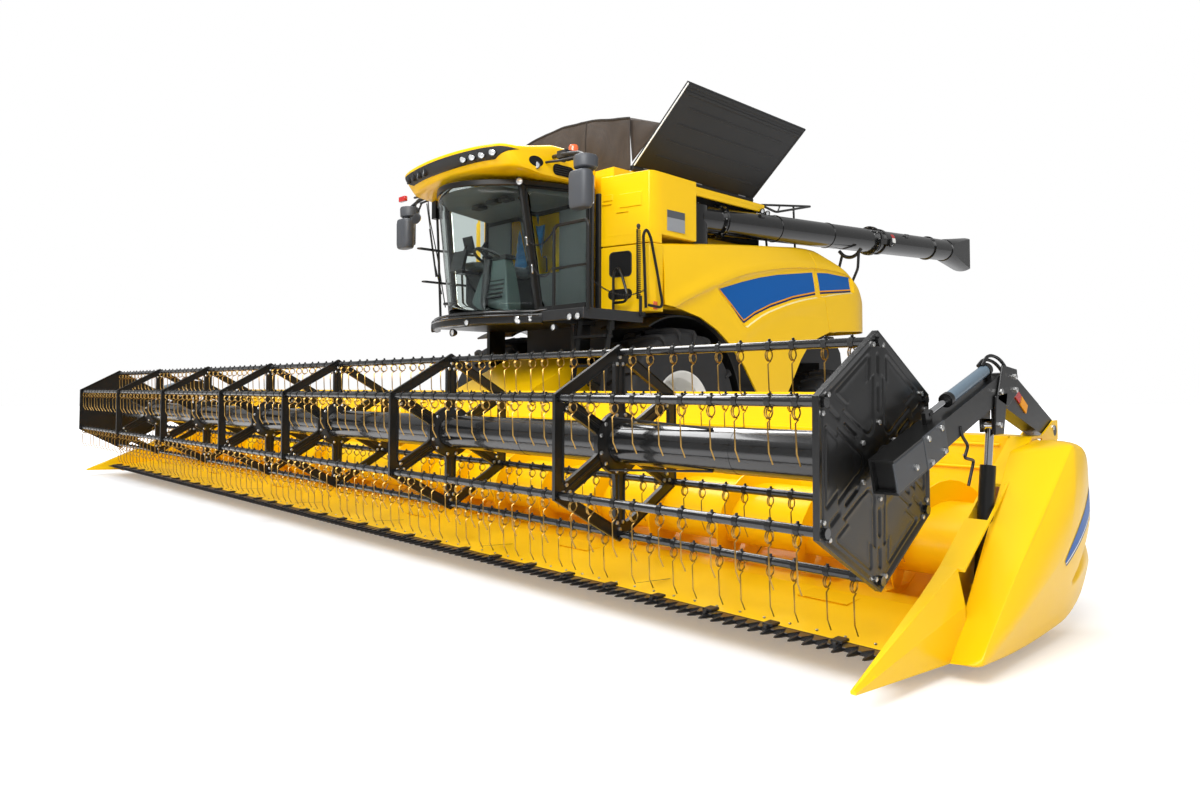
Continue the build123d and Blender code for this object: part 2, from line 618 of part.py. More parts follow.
for side_name, side in (("left", 1), ("right", -1)):
    with BuildPart() as knuckle:
        rod((side * kingpin_x, rear_wheel_y, 615), (side * kingpin_x, rear_wheel_y, 985), kingpin_radius)
        rod((side * kingpin_x, rear_wheel_y, 690), (side * kingpin_x, rear_wheel_y, 910), 78)
        rod((side * kingpin_x, rear_wheel_y, rear_tyre_radius),
            (side * (rear_tyre_x + 60), rear_wheel_y, rear_tyre_radius), rear_spindle_radius)
        block(side * kingpin_x - 26, side * kingpin_x + 26, rear_wheel_y, rear_wheel_y + knuckle_arm + 40,
              700, 730)
        rod((side * kingpin_x, rear_wheel_y + knuckle_arm, 745),
            (side * kingpin_x, rear_wheel_y + knuckle_arm, 665), ball_pin_radius)
    finish(knuckle, f"{side_name}_knuckle")

with BuildPart() as tie_rod:
    pin_y = rear_wheel_y + knuckle_arm
    rod((-kingpin_x, pin_y, 680), (kingpin_x, pin_y, 680), 20)
    for x in (-kingpin_x, kingpin_x):
        rod((x, pin_y, 662), (x, pin_y, 694), 34)
    for x in (-kingpin_x, kingpin_x):
        rod((x, pin_y, 600), (x, pin_y, 760), ball_pin_radius + running_gap, mode=Mode.SUBTRACT)
finish(tie_rod, "tie_rod")

# ---------------------------------------------------------------- chassis
rear_beam_x = 330
beam_high_z = 1330
hitch_pin_radius = 20
with BuildPart() as chassis:
    for side in (-1, 1):
        x_low, x_high = sorted((side * ear_x, side * beam_half_width))
        side_plate([(-2060, 1440), (-2060, 1760), (-1780, 1760), (-1700, beam_high_z), (1150, beam_high_z),
                    (1150, beam_low_z), (-1800, beam_low_z)], x_low, x_high)
        block(side * rear_beam_x - 50, side * rear_beam_x + 50, 1000, 3250, 1100, 1300)
    block(-beam_half_width, beam_half_width, 1000, 1150, beam_low_z, beam_high_z)
    block(-rear_beam_x - 50, rear_beam_x + 50, 3150, 3250, 1100, 1300)
    block(-rear_beam_x, rear_beam_x, rear_wheel_y - 140, rear_wheel_y + 140, 1100, 1300)
    block(-90, 90, 3250, 3330, 850, 1300)
    block(-90, 90, 3330, 3450, 850, 890)
    block(-90, 90, 3330, 3450, 990, 1030)
    with Locations((0, 3400, 0)):
        Cylinder(hitch_pin_radius, 3000, mode=Mode.SUBTRACT)
    rod((-900, feeder_pivot_y, feeder_pivot_z), (900, feeder_pivot_y, feeder_pivot_z), 60 + running_gap,
        mode=Mode.SUBTRACT)
finish(chassis, "chassis")

# ---------------------------------------------------------------- threshing body between the side shields
inner_half_width = 800
chopper_half_width = 790
threshing_top_z = 2290
with BuildPart() as threshing_body:
    side_plate([(-1840, 1480), (-1840, threshing_top_z), (2950, threshing_top_z), (2950, 1720),
                (1500, 1720), (1150, beam_high_z + 0.3), (999.7, beam_high_z + 0.3), (999.7, 900),
                (-1050, 900), (-1250, 1260)], -inner_half_width, inner_half_width)
    side_plate([(2950, 2170), (3400, 2170), (3620, 1900), (3700, 1500), (3350, 1350), (2950, 1450)],
               -chopper_half_width, chopper_half_width)
finish(threshing_body, "threshing_body")

# ---------------------------------------------------------------- grain tank and its covers
tank_shoulder_z = 3120
tank_floor_half_width = 500
tank_low_z = threshing_top_z + 0.3
cover_thickness = 26
cover_root = 30                          # the sheet starts this far from its hinge line
cover_hinge_radius = 34

with BuildPart() as grain_tank:
    front_plate([(-tank_floor_half_width, tank_low_z), (tank_floor_half_width, tank_low_z),
                 (tank_half_width, tank_shoulder_z), (tank_half_width, tank_top_z),
                 (-tank_half_width, tank_top_z), (-tank_half_width, tank_shoulder_z)],
                tank_front_y, tank_rear_y)
    inset = tank_wall
    front_plate([(-tank_floor_half_width, tank_low_z + inset), (tank_floor_half_width, tank_low_z + inset),
                 (tank_half_width - inset, tank_shoulder_z + 6), (tank_half_width - inset, tank_top_z + 10),
                 (-tank_half_width + inset, tank_top_z + 10),
                 (-tank_half_width + inset, tank_shoulder_z + 6)],
                tank_front_y + inset, tank_rear_y - inset, mode=Mode.SUBTRACT)
    for side in (-1, 1):
        x_low, x_high = sorted((side * (tank_half_width - inset), side * (tank_half_width + 20)))
        block(x_low, x_high, cover_length_y[0], cover_length_y[1], tank_top_z - 30, tank_top_z)
finish(grain_tank, "grain_tank")

for side_name, side in (("left", 1), ("right", -1)):
    with BuildPart() as cover:
        cover_across = math.cos(math.radians(cover_open_angle))
        cover_up = math.sin(math.radians(cover_open_angle))
        cover_plane = Plane(origin=(side * cover_hinge_x, sum(cover_length_y) / 2, cover_hinge_z),
                            x_dir=(side * cover_across, 0, cover_up),
                            z_dir=(-side * cover_up, 0, cover_across))
        with BuildSketch(cover_plane) as sheet_outline:
            with Locations(((cover_root + cover_width) / 2, 0)):
                Rectangle(cover_width - cover_root, cover_length_y[1] - cover_length_y[0])
        extrude(sheet_outline.sketch, amount=cover_thickness)
        rod((side * cover_hinge_x, cover_length_y[0], cover_hinge_z),
            (side * cover_hinge_x, cover_length_y[1], cover_hinge_z), cover_hinge_radius)
    finish(cover, f"{side_name}_tank_cover")

# The two cloth end walls between the covers, plain and clear of them.
cloth_thickness = 12
with BuildPart() as tank_cloths:
    for y_low in (tank_front_y - 2, tank_rear_y + 2 - cloth_thickness):
        front_plate([(-tank_half_width, tank_top_z + 0.4), (tank_half_width, tank_top_z + 0.4),
                     (1750, tank_top_z + 390), (1250, tank_top_z + 540), (600, tank_top_z + 660),
                     (0, tank_top_z + 700), (-600, tank_top_z + 660), (-1250, tank_top_z + 540),
                     (-1750, tank_top_z + 390)], y_low, y_low + cloth_thickness)
finish(tank_cloths, "tank_cloths")

# ---------------------------------------------------------------- yellow body shell
tube_foot_z = tube_z - 490       # bottom of the auger's turning elbow
box_front_y = -2200
box_rear_y = -1250
box_low_z = 2180
box_top_z = tank_top_z - 110
shield_front_y = -1880
seam_y = 1400
box_step_z = 2960                # the upper box starts here
box_rear_low_z = 3070            # and behind the shields' front edge here
box_front = Plane(origin=(1030, box_front_y, 0), x_dir=(660, 130, 0), z_dir=(130, -660, 0))
box_recesses = [  # distance along the slanted front face, height, width, height of the recess, corner radius
    (280, 2742, 310, 290, 45),
    (275, 2395, 330, 120, 50),
]
box_recess_depth = 14

with BuildPart() as body_shell:
    tank_face_x = tank_half_width + 0.3
    box_back_y = shield_front_y - moving_gap
    front_corner = (1690, box_front_y + 130)
    floor_plate([(1030, box_front_y), front_corner, (1735, box_front_y + 190), (1735, box_back_y),
                 (1080, box_back_y), (1080, box_front_y + 30)], box_low_z, box_step_z)
    floor_plate([(1030, box_front_y), front_corner, (1720, box_front_y + 190), (1720, box_back_y),
                 (tank_face_x, box_back_y), (tank_face_x, tank_front_y - 0.3), (1030, box_front_y + 20)],
                box_step_z, box_top_z)
    floor_plate([(1720, box_back_y), (1690, box_rear_y), (tank_face_x, box_rear_y),
                 (tank_face_x, box_back_y)], box_rear_low_z, box_top_z)
    for along, z, width, height, corner in box_recesses:
        with BuildSketch(box_front) as recess:
            with Locations((along, z)):
                RectangleRounded(width, height, corner)
        extrude(recess.sketch, amount=-box_recess_depth, mode=Mode.SUBTRACT)
    rod((tube_pivot[0], tube_pivot[1], 2260), (tube_pivot[0], tube_pivot[1], tube_foot_z - 0.5), tube_radius)
    block(tank_face_x, 1540, box_rear_y, 380, tank_top_z - 160, tank_top_z - 100)
    block(inner_half_width + 0.3, 1560, -1840, seam_y, 2240, 2280)
    mirror(about=Plane.YZ)
finish(body_shell, "body_shell")

# Side shields: an outline extruded through a curved cross-section.
shield_outline_points = [
    (shield_front_y, 2975), (-770, 3110), (540, 3250), (seam_y - moving_gap, 3322), (1500 - moving_gap, 2648),
    (1700 - moving_gap, 2119), (1396, 2026), (1161, 1932), (943, 1700), (643, 1259), (560, 1000), (60, 1000),
    (-68, 1262), (-340, 1590), (-632, 1850), (-900, 2020), (-1214, 2152), (-1550, 2230),
    (shield_front_y, 2262)]
shield_hinge = (1785, 1700)              # X and Y of the shields' upright hinge line
shield_hinge_z = (2150, 2420)
shield_barrel = 12
for side_name, side in (("left", 1), ("right", -1)):
    with BuildPart() as side_shield:
        x_low, x_high = sorted((side * 1400, side * 1800))
        side_plate(shield_outline_points, x_low, x_high)
        with BuildSketch(Plane.XZ.offset(-1800)) as shell_section:
            with BuildLine():
                outer = ThreePointArc((side * 1560, 3340), (side * 1715, 2900), (side * 1745, 2300))
                side_line = Line(outer @ 1, (side * 1715, 980))
                bottom = Line(side_line @ 1, (side * 1675, 980))
                inner_line = Line(bottom @ 1, (side * 1705, 2300))
                inner = ThreePointArc(inner_line @ 1, (side * 1676, 2890), (side * 1515, 3340))
                Line(inner @ 1, outer @ 0)
            make_face()
        extrude(shell_section.sketch, amount=3800, mode=Mode.INTERSECT)
        for z in shield_hinge_z:
            x_low, x_high = sorted((side * (shield_hinge[0] - 18), side * (shield_hinge[0] - 3)))
            block(x_low, x_high, 1480, shield_hinge[1], z, z + 40)
            x_low, x_high = sorted((side * 1725, side * (shield_hinge[0] - 10)))
            block(x_low, x_high, 1480, 1560, z, z + 40)
            hinge_x = side * shield_hinge[0]
            rod((hinge_x, shield_hinge[1], z), (hinge_x, shield_hinge[1], z + 40), shield_barrel)
    finish(side_shield, f"{side_name}_side_shield")

# Rear hood over the engine and the straw outlet.
hood_outline = [(seam_y, 3324), (1824, 3250), (2337, 3040), (2700, 2800), (3150, 2560), (3420, 2330),
                (3420, 2180), (2700, 2180), (1700, 2119), (1500, 2648)]
with BuildPart() as rear_hood:
    side_plate(hood_outline, -1800, 1800)
    with BuildSketch(Plane.XZ.offset(-3500)) as hood_section:
        with BuildLine():
            left = ThreePointArc((1560, 3340), (1715, 2900), (1745, 2300))
            low_left = Line(left @ 1, (1735, 2100))
            low = Line(low_left @ 1, (-1735, 2100))
            low_right = Line(low @ 1, (-1745, 2300))
            right = ThreePointArc(low_right @ 1, (-1715, 2900), (-1560, 3340))
            Line(right @ 1, left @ 0)
        make_face()
    extrude(hood_section.sketch, amount=2200, mode=Mode.INTERSECT)
    with BuildSketch(Plane.XY.offset(2000)) as hood_plan:
        with BuildLine():
            corner = Polyline((1800, 1300), (1800, 2300), (1620, 2850))
            round_left = ThreePointArc(corner @ 1, (1450, 3170), (1100, 3330))
            back = ThreePointArc(round_left @ 1, (0, 3420), (-1100, 3330))
            round_right = ThreePointArc(back @ 1, (-1450, 3170), (-1620, 2850))
            Polyline(round_right @ 1, (-1800, 2300), (-1800, 1300), (1800, 1300))
        make_face()
    extrude(hood_plan.sketch, amount=1500, mode=Mode.INTERSECT)
    block(-1500, 1500, seam_y - 10, 2900, threshing_top_z + 0.3, 3250, mode=Mode.SUBTRACT)
    block(-inner_half_width - 0.3, inner_half_width + 0.3, seam_y - 10, 2960, 2000, threshing_top_z + 0.3,
          mode=Mode.SUBTRACT)
    block(-1300, 1300, seam_y - 10, 2200, 2400, 3600, mode=Mode.SUBTRACT)
    for side in (-1, 1):
        for z in shield_hinge_z:
            x_low, x_high = sorted((side * 1725, side * (shield_hinge[0] + 10)))
            block(x_low, x_high, shield_hinge[1] - 8, shield_hinge[1] + 30, z + 40.4, z + 60)
finish(rear_hood, "rear_hood")

with BuildPart() as engine_deck:
    block(-1500, 1500, tank_rear_y + 0.5, seam_y - 12, 3210, 3250)
    block(-1295, 1295, seam_y - 12, 2190, 3210, 3250)
    block(-1450, -1250, tank_rear_y + 0.5, seam_y - 12, 2280, 3210)
    block(1250, 1450, tank_rear_y + 0.5, seam_y - 12, 2280, 3210)
    block(-900, 900, 700, 1900, 3250, 3420)
    rod((-1050, 1300, 3250), (-1050, 1300, 3700), 80)
finish(engine_deck, "engine_deck")

with BuildPart() as engine_block:
    block(-450, 450, 900, 2150, threshing_top_z, 3150)
finish(engine_block, "engine_block")

# ---------------------------------------------------------------- unloading auger
tube_yaw = math.degrees(math.atan2(460, 5650))
boot_length = 620                        # the rubber spout at the tube's end
boot_overlap = 60                        # and how far it grips the tube
boot_wall = 12
boot_mouth = (150, 310)                  # half width and half height of its mouth
boot_droop = 40                          # its mouth's middle lies this far below the tube's line
half_length = -reel_y + (reel_radius + end_plate_rim) * math.cos(math.radians(30))
tube_forward = math.cos(math.radians(tube_rise)) * math.cos(math.radians(tube_yaw))
tube_reach = (half_length - tube_pivot[1]) / tube_forward
tube_length = tube_reach - boot_length


def along_tube(reach, drop=0):
    """A point on the unloading tube's centre line."""
    rise = math.radians(tube_rise)
    yaw = math.radians(tube_yaw)
    return (tube_pivot[0] + reach * math.cos(rise) * math.sin(yaw),
            tube_pivot[1] + reach * math.cos(rise) * math.cos(yaw),
            tube_z + reach * math.sin(rise) - drop)


def spout(root_reach, wall):
    """The rubber spout, a cone squeezed to its mouth's width, made thinner by a wall."""
    root = Vector(*along_tube(root_reach))
    mouth = Vector(*along_tube(tube_reach, boot_droop))
    root_radius = tube_radius + boot_wall - wall
    half_width = boot_mouth[0] - wall
    with BuildPart() as cone:
        with Locations(Plane(origin=root, z_dir=mouth - root)):
            Cone(root_radius, boot_mouth[1] - wall, (mouth - root).length + boot_overlap,
                 align=(Align.CENTER, Align.CENTER, Align.MIN))
        floor_plate([(root.X - root_radius, root.Y), (root.X + root_radius, root.Y),
                     (mouth.X + half_width, mouth.Y), (mouth.X - half_width, mouth.Y)], 0, 2 * tube_z,
                    mode=Mode.INTERSECT)
    return cone.part


with BuildPart() as unloading_auger:
    add(spout(tube_length - boot_overlap, 0))
    add(spout(tube_length, boot_wall), mode=Mode.SUBTRACT)
    rod(along_tube(0), along_tube(tube_length), tube_radius)
    rod((*tube_pivot, tube_foot_z), (*tube_pivot, tube_z + 150), tube_radius - 8)
    for reach in (420, 3880, 4080):
        rod(along_tube(reach), along_tube(reach + 60), tube_radius + 22)
finish(unloading_auger, "unloading_auger")

# ---------------------------------------------------------------- cab
cab_low_front = (-3090, -3430)           # Y of the pillars and of the middle, at the floor
cab_high_front = (-3280, -3630)          # the same at the roof
cab_low_half_width = cab_half_width - 60
door_x = cab_half_width + 14             # inner face of the door
door_hinge_y = door_rear_y + 5
door_hinge_z = (2400, 3350)
windscreen_corners = ((860, 2230), (915, 3560))     # half width and height, at the floor and at the roof


def cab_plan(z, half_width, pillar_y, middle_y, rear_y):
    with BuildSketch(Plane.XY.offset(z)) as plan:
        with BuildLine():
            sides = Polyline((-half_width, pillar_y), (-half_width, rear_y), (half_width, rear_y),
                             (half_width, pillar_y))
            ThreePointArc(sides @ 1, (0, middle_y), sides @ 0)
        make_face()
    return plan.sketch


with BuildPart() as cab_shell:
    loft([cab_plan(cab_floor_z, cab_low_half_width, *cab_low_front, cab_rear_y),
          cab_plan(cab_top_z, cab_half_width, *cab_high_front, cab_rear_y)], ruled=True)
    loft([cab_plan(cab_floor_z + 40, cab_low_half_width - cab_wall, cab_low_front[0] + cab_wall,
                   cab_low_front[1] + cab_wall, cab_rear_y - cab_wall),
          cab_plan(cab_top_z + 1, cab_half_width - cab_wall, cab_high_front[0] + cab_wall,
                   cab_high_front[1] + cab_wall, cab_rear_y - cab_wall)], ruled=True, mode=Mode.SUBTRACT)
    block(-1100, 1100, door_front_y, door_rear_y, door_low_z, door_high_z, mode=Mode.SUBTRACT)
    (low_x, low_z), (high_x, high_z) = windscreen_corners
    front_plate([(-low_x, low_z), (low_x, low_z), (high_x, high_z), (-high_x, high_z)], -3800, -2900,
                mode=Mode.SUBTRACT)
    block(-880, 880, cab_rear_y - 100, cab_rear_y + 20, 2700, 3540, mode=Mode.SUBTRACT)
    for z in door_hinge_z:
        block(cab_low_half_width, door_x + 21, door_hinge_y - 10, door_hinge_y + 25, z - 90, z - 60.5)
finish(cab_shell, "cab_shell")

glass_gap = 0.5
glass = 6
with BuildPart() as cab_glass:
    for wall, extra, mode in ((0, 0, Mode.ADD), (glass, 0.5, Mode.SUBTRACT)):
        loft([cab_plan(low_z + glass_gap - extra, cab_low_half_width - 8 - wall, cab_low_front[0] + 4 + wall,
                       cab_low_front[1] + 8 + wall, cab_rear_y + 2 * extra),
              cab_plan(high_z - glass_gap + extra, cab_half_width - 8 - wall, cab_high_front[0] + 8 + wall,
                       cab_high_front[1] + 12 + wall, cab_rear_y + 2 * extra)], ruled=True, mode=mode)
    front_plate([(-low_x + glass_gap, low_z + glass_gap), (low_x - glass_gap, low_z + glass_gap),
                 (high_x - glass_gap, high_z - glass_gap), (-high_x + glass_gap, high_z - glass_gap)],
                -3800, -2900, mode=Mode.INTERSECT)
    block(-cab_half_width + 20, -cab_half_width + 20 + glass, door_front_y + glass_gap,
          door_rear_y - glass_gap, door_low_z + glass_gap, door_high_z - glass_gap)
    block(-880 + glass_gap, 880 - glass_gap, cab_rear_y - 30, cab_rear_y - 24, 2700 + glass_gap,
          3540 - glass_gap)
finish(cab_glass, "cab_glass")

# ---------------------------------------------------------------- cab door, hinged at its rear edge
door_frame = 50
with BuildPart() as cab_door:
    block(door_x, door_x + 30, door_front_y - 20, door_rear_y - 10, door_low_z - 20, door_high_z + 20)
    block(door_x - 1, door_x + 31, door_front_y + door_frame, door_rear_y - door_frame - 20,
          door_low_z + door_frame, door_high_z - door_frame, mode=Mode.SUBTRACT)
    for z in door_hinge_z:
        rod((door_x + 15, door_hinge_y, z - 60), (door_x + 15, door_hinge_y, z + 60), 12)
        block(door_x + 5, door_x + 25, door_rear_y - 12, door_hinge_y, z - 60, z + 60)
finish(cab_door, "cab_door")

with BuildPart() as door_glass:
    block(door_x + 12, door_x + 18, door_front_y + door_frame + glass_gap,
          door_rear_y - door_frame - 20 - glass_gap, door_low_z + door_frame + glass_gap,
          door_high_z - door_frame - glass_gap)
finish(door_glass, "door_glass")

# ---------------------------------------------------------------- cab roof
roof_half_width = 1060
with BuildPart() as cab_roof:
    side_plate([(-2200, cab_top_z + 40), (-2200, 3840), (-2600, 3990), (-3100, 4060), (-3560, 4030),
                (-3780, 3930), (-3760, 3860), (-3640, 3790), (-3450, 3700), (-3300, cab_top_z + 0.4),
                (-2300, cab_top_z + 0.4)], -roof_half_width, roof_half_width)
    with BuildSketch(Plane.XY.offset(3500)) as roof_plan:
        with BuildLine():
            roof_sides = Polyline((-roof_half_width, -3350), (-roof_half_width, -2200),
                                  (roof_half_width, -2200), (roof_half_width, -3350))
            ThreePointArc(roof_sides @ 1, (0, -3770), roof_sides @ 0)
        make_face()
    extrude(roof_plan.sketch, amount=700, mode=Mode.INTERSECT)
    with BuildSketch(Plane.XZ.offset(2100)) as roof_crown:
        with BuildLine():
            roof_edge = Polyline((-roof_half_width, 3900), (-roof_half_width, 3600), (roof_half_width, 3600),
                                 (roof_half_width, 3900))
            ThreePointArc(roof_edge @ 1, (0, 4075), roof_edge @ 0)
        make_face()
    extrude(roof_crown.sketch, amount=1800, mode=Mode.INTERSECT)
finish(cab_roof, "cab_roof")

# ---------------------------------------------------------------- inside the cab
cab_deck_z = cab_floor_z + 40
with BuildPart() as operator_seat:
    block(-260, 260, -2850, -2400, cab_deck_z, cab_deck_z + 380)
    block(-270, 270, -2900, -2420, cab_deck_z + 380, cab_deck_z + 500)
    side_plate([(-2520, cab_deck_z + 500), (-2420, cab_deck_z + 500), (-2390, cab_deck_z + 1150),
                (-2470, cab_deck_z + 1150)], -250, 250)
    block(-330, -275, -2850, -2480, cab_deck_z + 560, cab_deck_z + 640)
    block(-330, -300, -2560, -2440, cab_deck_z + 300, cab_deck_z + 560)
    block(-330, -250, -2560, -2440, cab_deck_z + 300, cab_deck_z + 330)
finish(operator_seat, "operator_seat")

with BuildPart() as steering_column:
    block(-80, 80, -3200, -3070, cab_deck_z + 0.3, cab_deck_z + 30)
    rod((0, -3130, cab_deck_z + 12), (0, -3060, cab_deck_z + 640), 50)
    with BuildSketch(Plane(origin=(0, -3058, cab_deck_z + 660), z_dir=(0, 0.55, 1))) as wheel_ring:
        Circle(200)
        Circle(172, mode=Mode.SUBTRACT)
        Rectangle(360, 30)
        Circle(55)
    extrude(wheel_ring.sketch, amount=26)
finish(steering_column, "steering_column")

with BuildPart() as side_console:
    block(-700, -400, -2900, -2400, cab_deck_z, cab_deck_z + 560)
    block(-560, -420, -3150, -2890, cab_deck_z + 520, cab_deck_z + 560)
    side_plate([(-3180, cab_deck_z + 560), (-3140, cab_deck_z + 560), (-3080, cab_deck_z + 800),
                (-3120, cab_deck_z + 800)], -640, -380)
finish(side_console, "side_console")

# ---------------------------------------------------------------- cab support, platform, rails and ladder
platform_y = (-3100, -2230)
ladder_x = (1180, 1670)
ladder_hinge = (1712, -2700)
with BuildPart() as cab_support:
    for side in (-1, 1):
        x_low, x_high = sorted((side * ear_x, side * beam_half_width))
        block(x_low, x_high, -2460, -2210, 1700, 2050)
        block(x_low, x_high, -2460, -2060, 1600, 1760)
    block(-940, 940, -3150, -2340, 2050, cab_floor_z)
    block(-940, 940, -2340, -2200, 2050, 2150)
    side_plate([(cab_rear_y + 0.4, 2150), (-2210, 2150), (-2210, 2285), (cab_rear_y + 0.4, 2240)], -900, 900)
finish(cab_support, "cab_support")

with BuildPart() as platform:
    block(940.3, 1745, platform_y[0], platform_y[1], 2100, 2150)
    block(1000, 1745, platform_y[0], platform_y[0] + 12, 2150, 2200)
    pipe([(1240, -3090, 2140), (1240, -3090, 3060), (1790, -3090, 3060), (1790, -3090, 2120)], 18, 70)
    rod((1240, -3090, 2600), (1790, -3090, 2600), 14)
    pipe([(1765, -2290, 2110), (1765, -2290, 3000), (1765, -2170, 3000), (1765, -1960, 2330),
          (1765, -2290, 2330)], 17, 50)
    block(1735.3, 1790, -2300, -2240, 2100, 2150)
    rod((*ladder_hinge, 2099), (*ladder_hinge, 2151), 20 + running_gap, mode=Mode.SUBTRACT)
finish(platform, "platform")

with BuildPart() as ladder:
    for x in ladder_x:
        side_plate([(-2690, 2060), (-2630, 2060), (-2850, 560), (-2910, 560)], x - 12, x + 12)
    for step in range(5):
        z = 580 + 320 * step
        y = -2880 + (z - 580) * 0.147
        block(ladder_x[0], ladder_x[1], y - 70, y + 70, z, z + 30)
    rod((*ladder_hinge, 1900), (*ladder_hinge, 2140), 20)
    block(ladder_x[1], ladder_hinge[0], -2715, -2640, 1940, 2050)
finish(ladder, "ladder")

# ---------------------------------------------------------------- mirrors and mudguards
mirror_x = 1740
with BuildPart() as mirrors:
    for side in (-1, 1):
        pipe([(side * (roof_half_width + 0.3), -3220, 3720), (side * 1400, -3220, 3720),
              (side * mirror_x, -3205, 3640)], 20, 120)
        rod((side * mirror_x, -3205, 3700), (side * mirror_x, -3205, 3400), 16)
        block(side * mirror_x - 110, side * mirror_x + 110, -3240, -3170, 3180, 3560)
finish(mirrors, "mirrors")

guard_inner = 1130
with BuildPart() as mudguards:
    with BuildSketch(Plane.YZ.offset(beam_half_width + 0.3)) as guard:
        with Locations((front_wheel_y, front_tyre_radius)):
            Circle(guard_inner + 20)
            Circle(guard_inner, mode=Mode.SUBTRACT)
        with BuildLine():
            Polyline((front_wheel_y, front_tyre_radius), (front_wheel_y - 900, 2600),
                     (front_wheel_y - 200, 3400), (600, 2500),
                     (front_wheel_y + 1700, front_tyre_radius + 200), close=True)
        make_face(mode=Mode.INTERSECT)
    extrude(guard.sketch, amount=1665 - beam_half_width)
    mirror(about=Plane.YZ)
finish(mudguards, "mudguards")
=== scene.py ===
import math

import bpy
import numpy as np
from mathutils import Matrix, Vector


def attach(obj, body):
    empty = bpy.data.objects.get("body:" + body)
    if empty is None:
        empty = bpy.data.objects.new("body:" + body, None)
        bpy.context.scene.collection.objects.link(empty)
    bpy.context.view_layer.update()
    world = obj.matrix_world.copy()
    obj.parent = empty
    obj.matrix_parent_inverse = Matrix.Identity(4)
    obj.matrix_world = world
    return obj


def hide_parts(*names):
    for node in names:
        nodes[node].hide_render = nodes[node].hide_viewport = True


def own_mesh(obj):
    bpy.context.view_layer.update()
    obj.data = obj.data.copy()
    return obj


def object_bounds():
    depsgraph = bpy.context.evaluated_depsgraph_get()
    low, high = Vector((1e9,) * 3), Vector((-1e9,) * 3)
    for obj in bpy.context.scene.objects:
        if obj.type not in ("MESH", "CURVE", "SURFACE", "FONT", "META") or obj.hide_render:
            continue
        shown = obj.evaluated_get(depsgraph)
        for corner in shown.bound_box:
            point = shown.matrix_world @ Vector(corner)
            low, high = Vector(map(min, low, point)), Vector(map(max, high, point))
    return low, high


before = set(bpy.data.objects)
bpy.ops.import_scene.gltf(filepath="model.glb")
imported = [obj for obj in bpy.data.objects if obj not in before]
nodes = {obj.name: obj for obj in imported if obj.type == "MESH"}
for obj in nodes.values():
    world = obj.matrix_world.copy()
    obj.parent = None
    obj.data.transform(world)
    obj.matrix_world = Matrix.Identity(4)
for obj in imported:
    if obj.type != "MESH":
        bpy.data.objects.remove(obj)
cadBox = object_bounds()
print("frame loaded:", len(nodes), "nodes")


# mesh tools: every new piece is a numpy surface

def addMesh(name, points, faces, material, body, smooth=35):
    # points is an N x 3 array, faces a list of index rows; smooth is the angle that stays a crease
    mesh = bpy.data.meshes.new(name)
    mesh.from_pydata(np.asarray(points, float).tolist(), [], [tuple(f) for f in np.asarray(faces).tolist()]
                     if isinstance(faces, np.ndarray) else faces)
    mesh.materials.append(material)
    if smooth:
        mesh.shade_smooth()
        mesh.set_sharp_from_angle(angle=math.radians(smooth))
    piece = bpy.data.objects.new(name, mesh)
    bpy.context.scene.collection.objects.link(piece)
    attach(piece, body)
    return piece


def gridFaces(rows, columns, wrapRows=False, wrapColumns=False):
    # quads between neighbours of a rows x columns grid of points
    i = np.arange(rows if wrapRows else rows - 1)
    j = np.arange(columns if wrapColumns else columns - 1)
    i, j = np.meshgrid(i, j, indexing="ij")
    i2, j2 = (i + 1) % rows, (j + 1) % columns
    return np.stack([i * columns + j, i2 * columns + j, i2 * columns + j2, i * columns + j2],
                    -1).reshape(-1, 4)


def joinParts(parts):
    # several (points, faces) pairs as one pair, the faces renumbered
    allPoints, allFaces, start = [], [], 0
    for points, faces in parts:
        points = np.asarray(points, float)
        allPoints.append(points)
        allFaces += [[int(k) + start for k in face] for face in faces]
        start += len(points)
    return np.concatenate(allPoints), allFaces


def repeatPart(part, offsets):
    # one (points, faces) pair copied to each offset, as whole arrays
    points, faces = np.asarray(part[0], float), np.asarray(part[1])
    offsets = np.asarray(offsets, float)
    moved = (points[None] + offsets[:, None]).reshape(-1, 3)
    start = np.arange(len(offsets)) * len(points)
    return moved, (faces[None] + start[:, None, None]).reshape(-1, faces.shape[1])


def turnPart(part, angle, axis=0):
    # a part turned about X, Y or Z
    a, b = [(1, 2), (2, 0), (0, 1)][axis]
    points = np.array(part[0], float)
    ca, sa = math.cos(angle), math.sin(angle)
    first, second = points[:, a].copy(), points[:, b].copy()
    points[:, a], points[:, b] = ca * first - sa * second, sa * first + ca * second
    return points, part[1]


def mirrorPart(part):
    # the part mirrored left to right, its faces turned so that they still point outwards
    points = np.array(part[0], float) * (-1, 1, 1)
    return points, [list(face)[::-1] for face in part[1]]


def alongPath(path, profile, closed=False, capped=True, up=(0, 0, 1), scale=None):
    # a flat profile of (side, up) points carried along a path: at each path point the tangent t,
    # side = t x up and lift = side x t carry the profile
    path, profile = np.asarray(path, float), np.asarray(profile, float)
    if closed:
        tangent = np.roll(path, -1, 0) - np.roll(path, 1, 0)
    else:
        tangent = np.gradient(path, axis=0)
    tangent /= np.linalg.norm(tangent, axis=1)[:, None]
    side = np.cross(tangent, up)
    side /= np.maximum(np.linalg.norm(side, axis=1), 1e-9)[:, None]
    lift = np.cross(side, tangent)
    grow = np.ones(len(path)) if scale is None else np.asarray(scale, float)
    ring = (side[:, None] * profile[None, :, 0, None] + lift[:, None] * profile[None, :, 1, None])
    points = path[:, None] + ring * grow[:, None, None]
    rows, columns = len(path), len(profile)
    faces = gridFaces(rows, columns, closed, True).tolist()
    if capped and not closed:
        faces += [list(range(columns)), [(rows - 1) * columns + k for k in range(columns)][::-1]]
    return points.reshape(-1, 3), faces


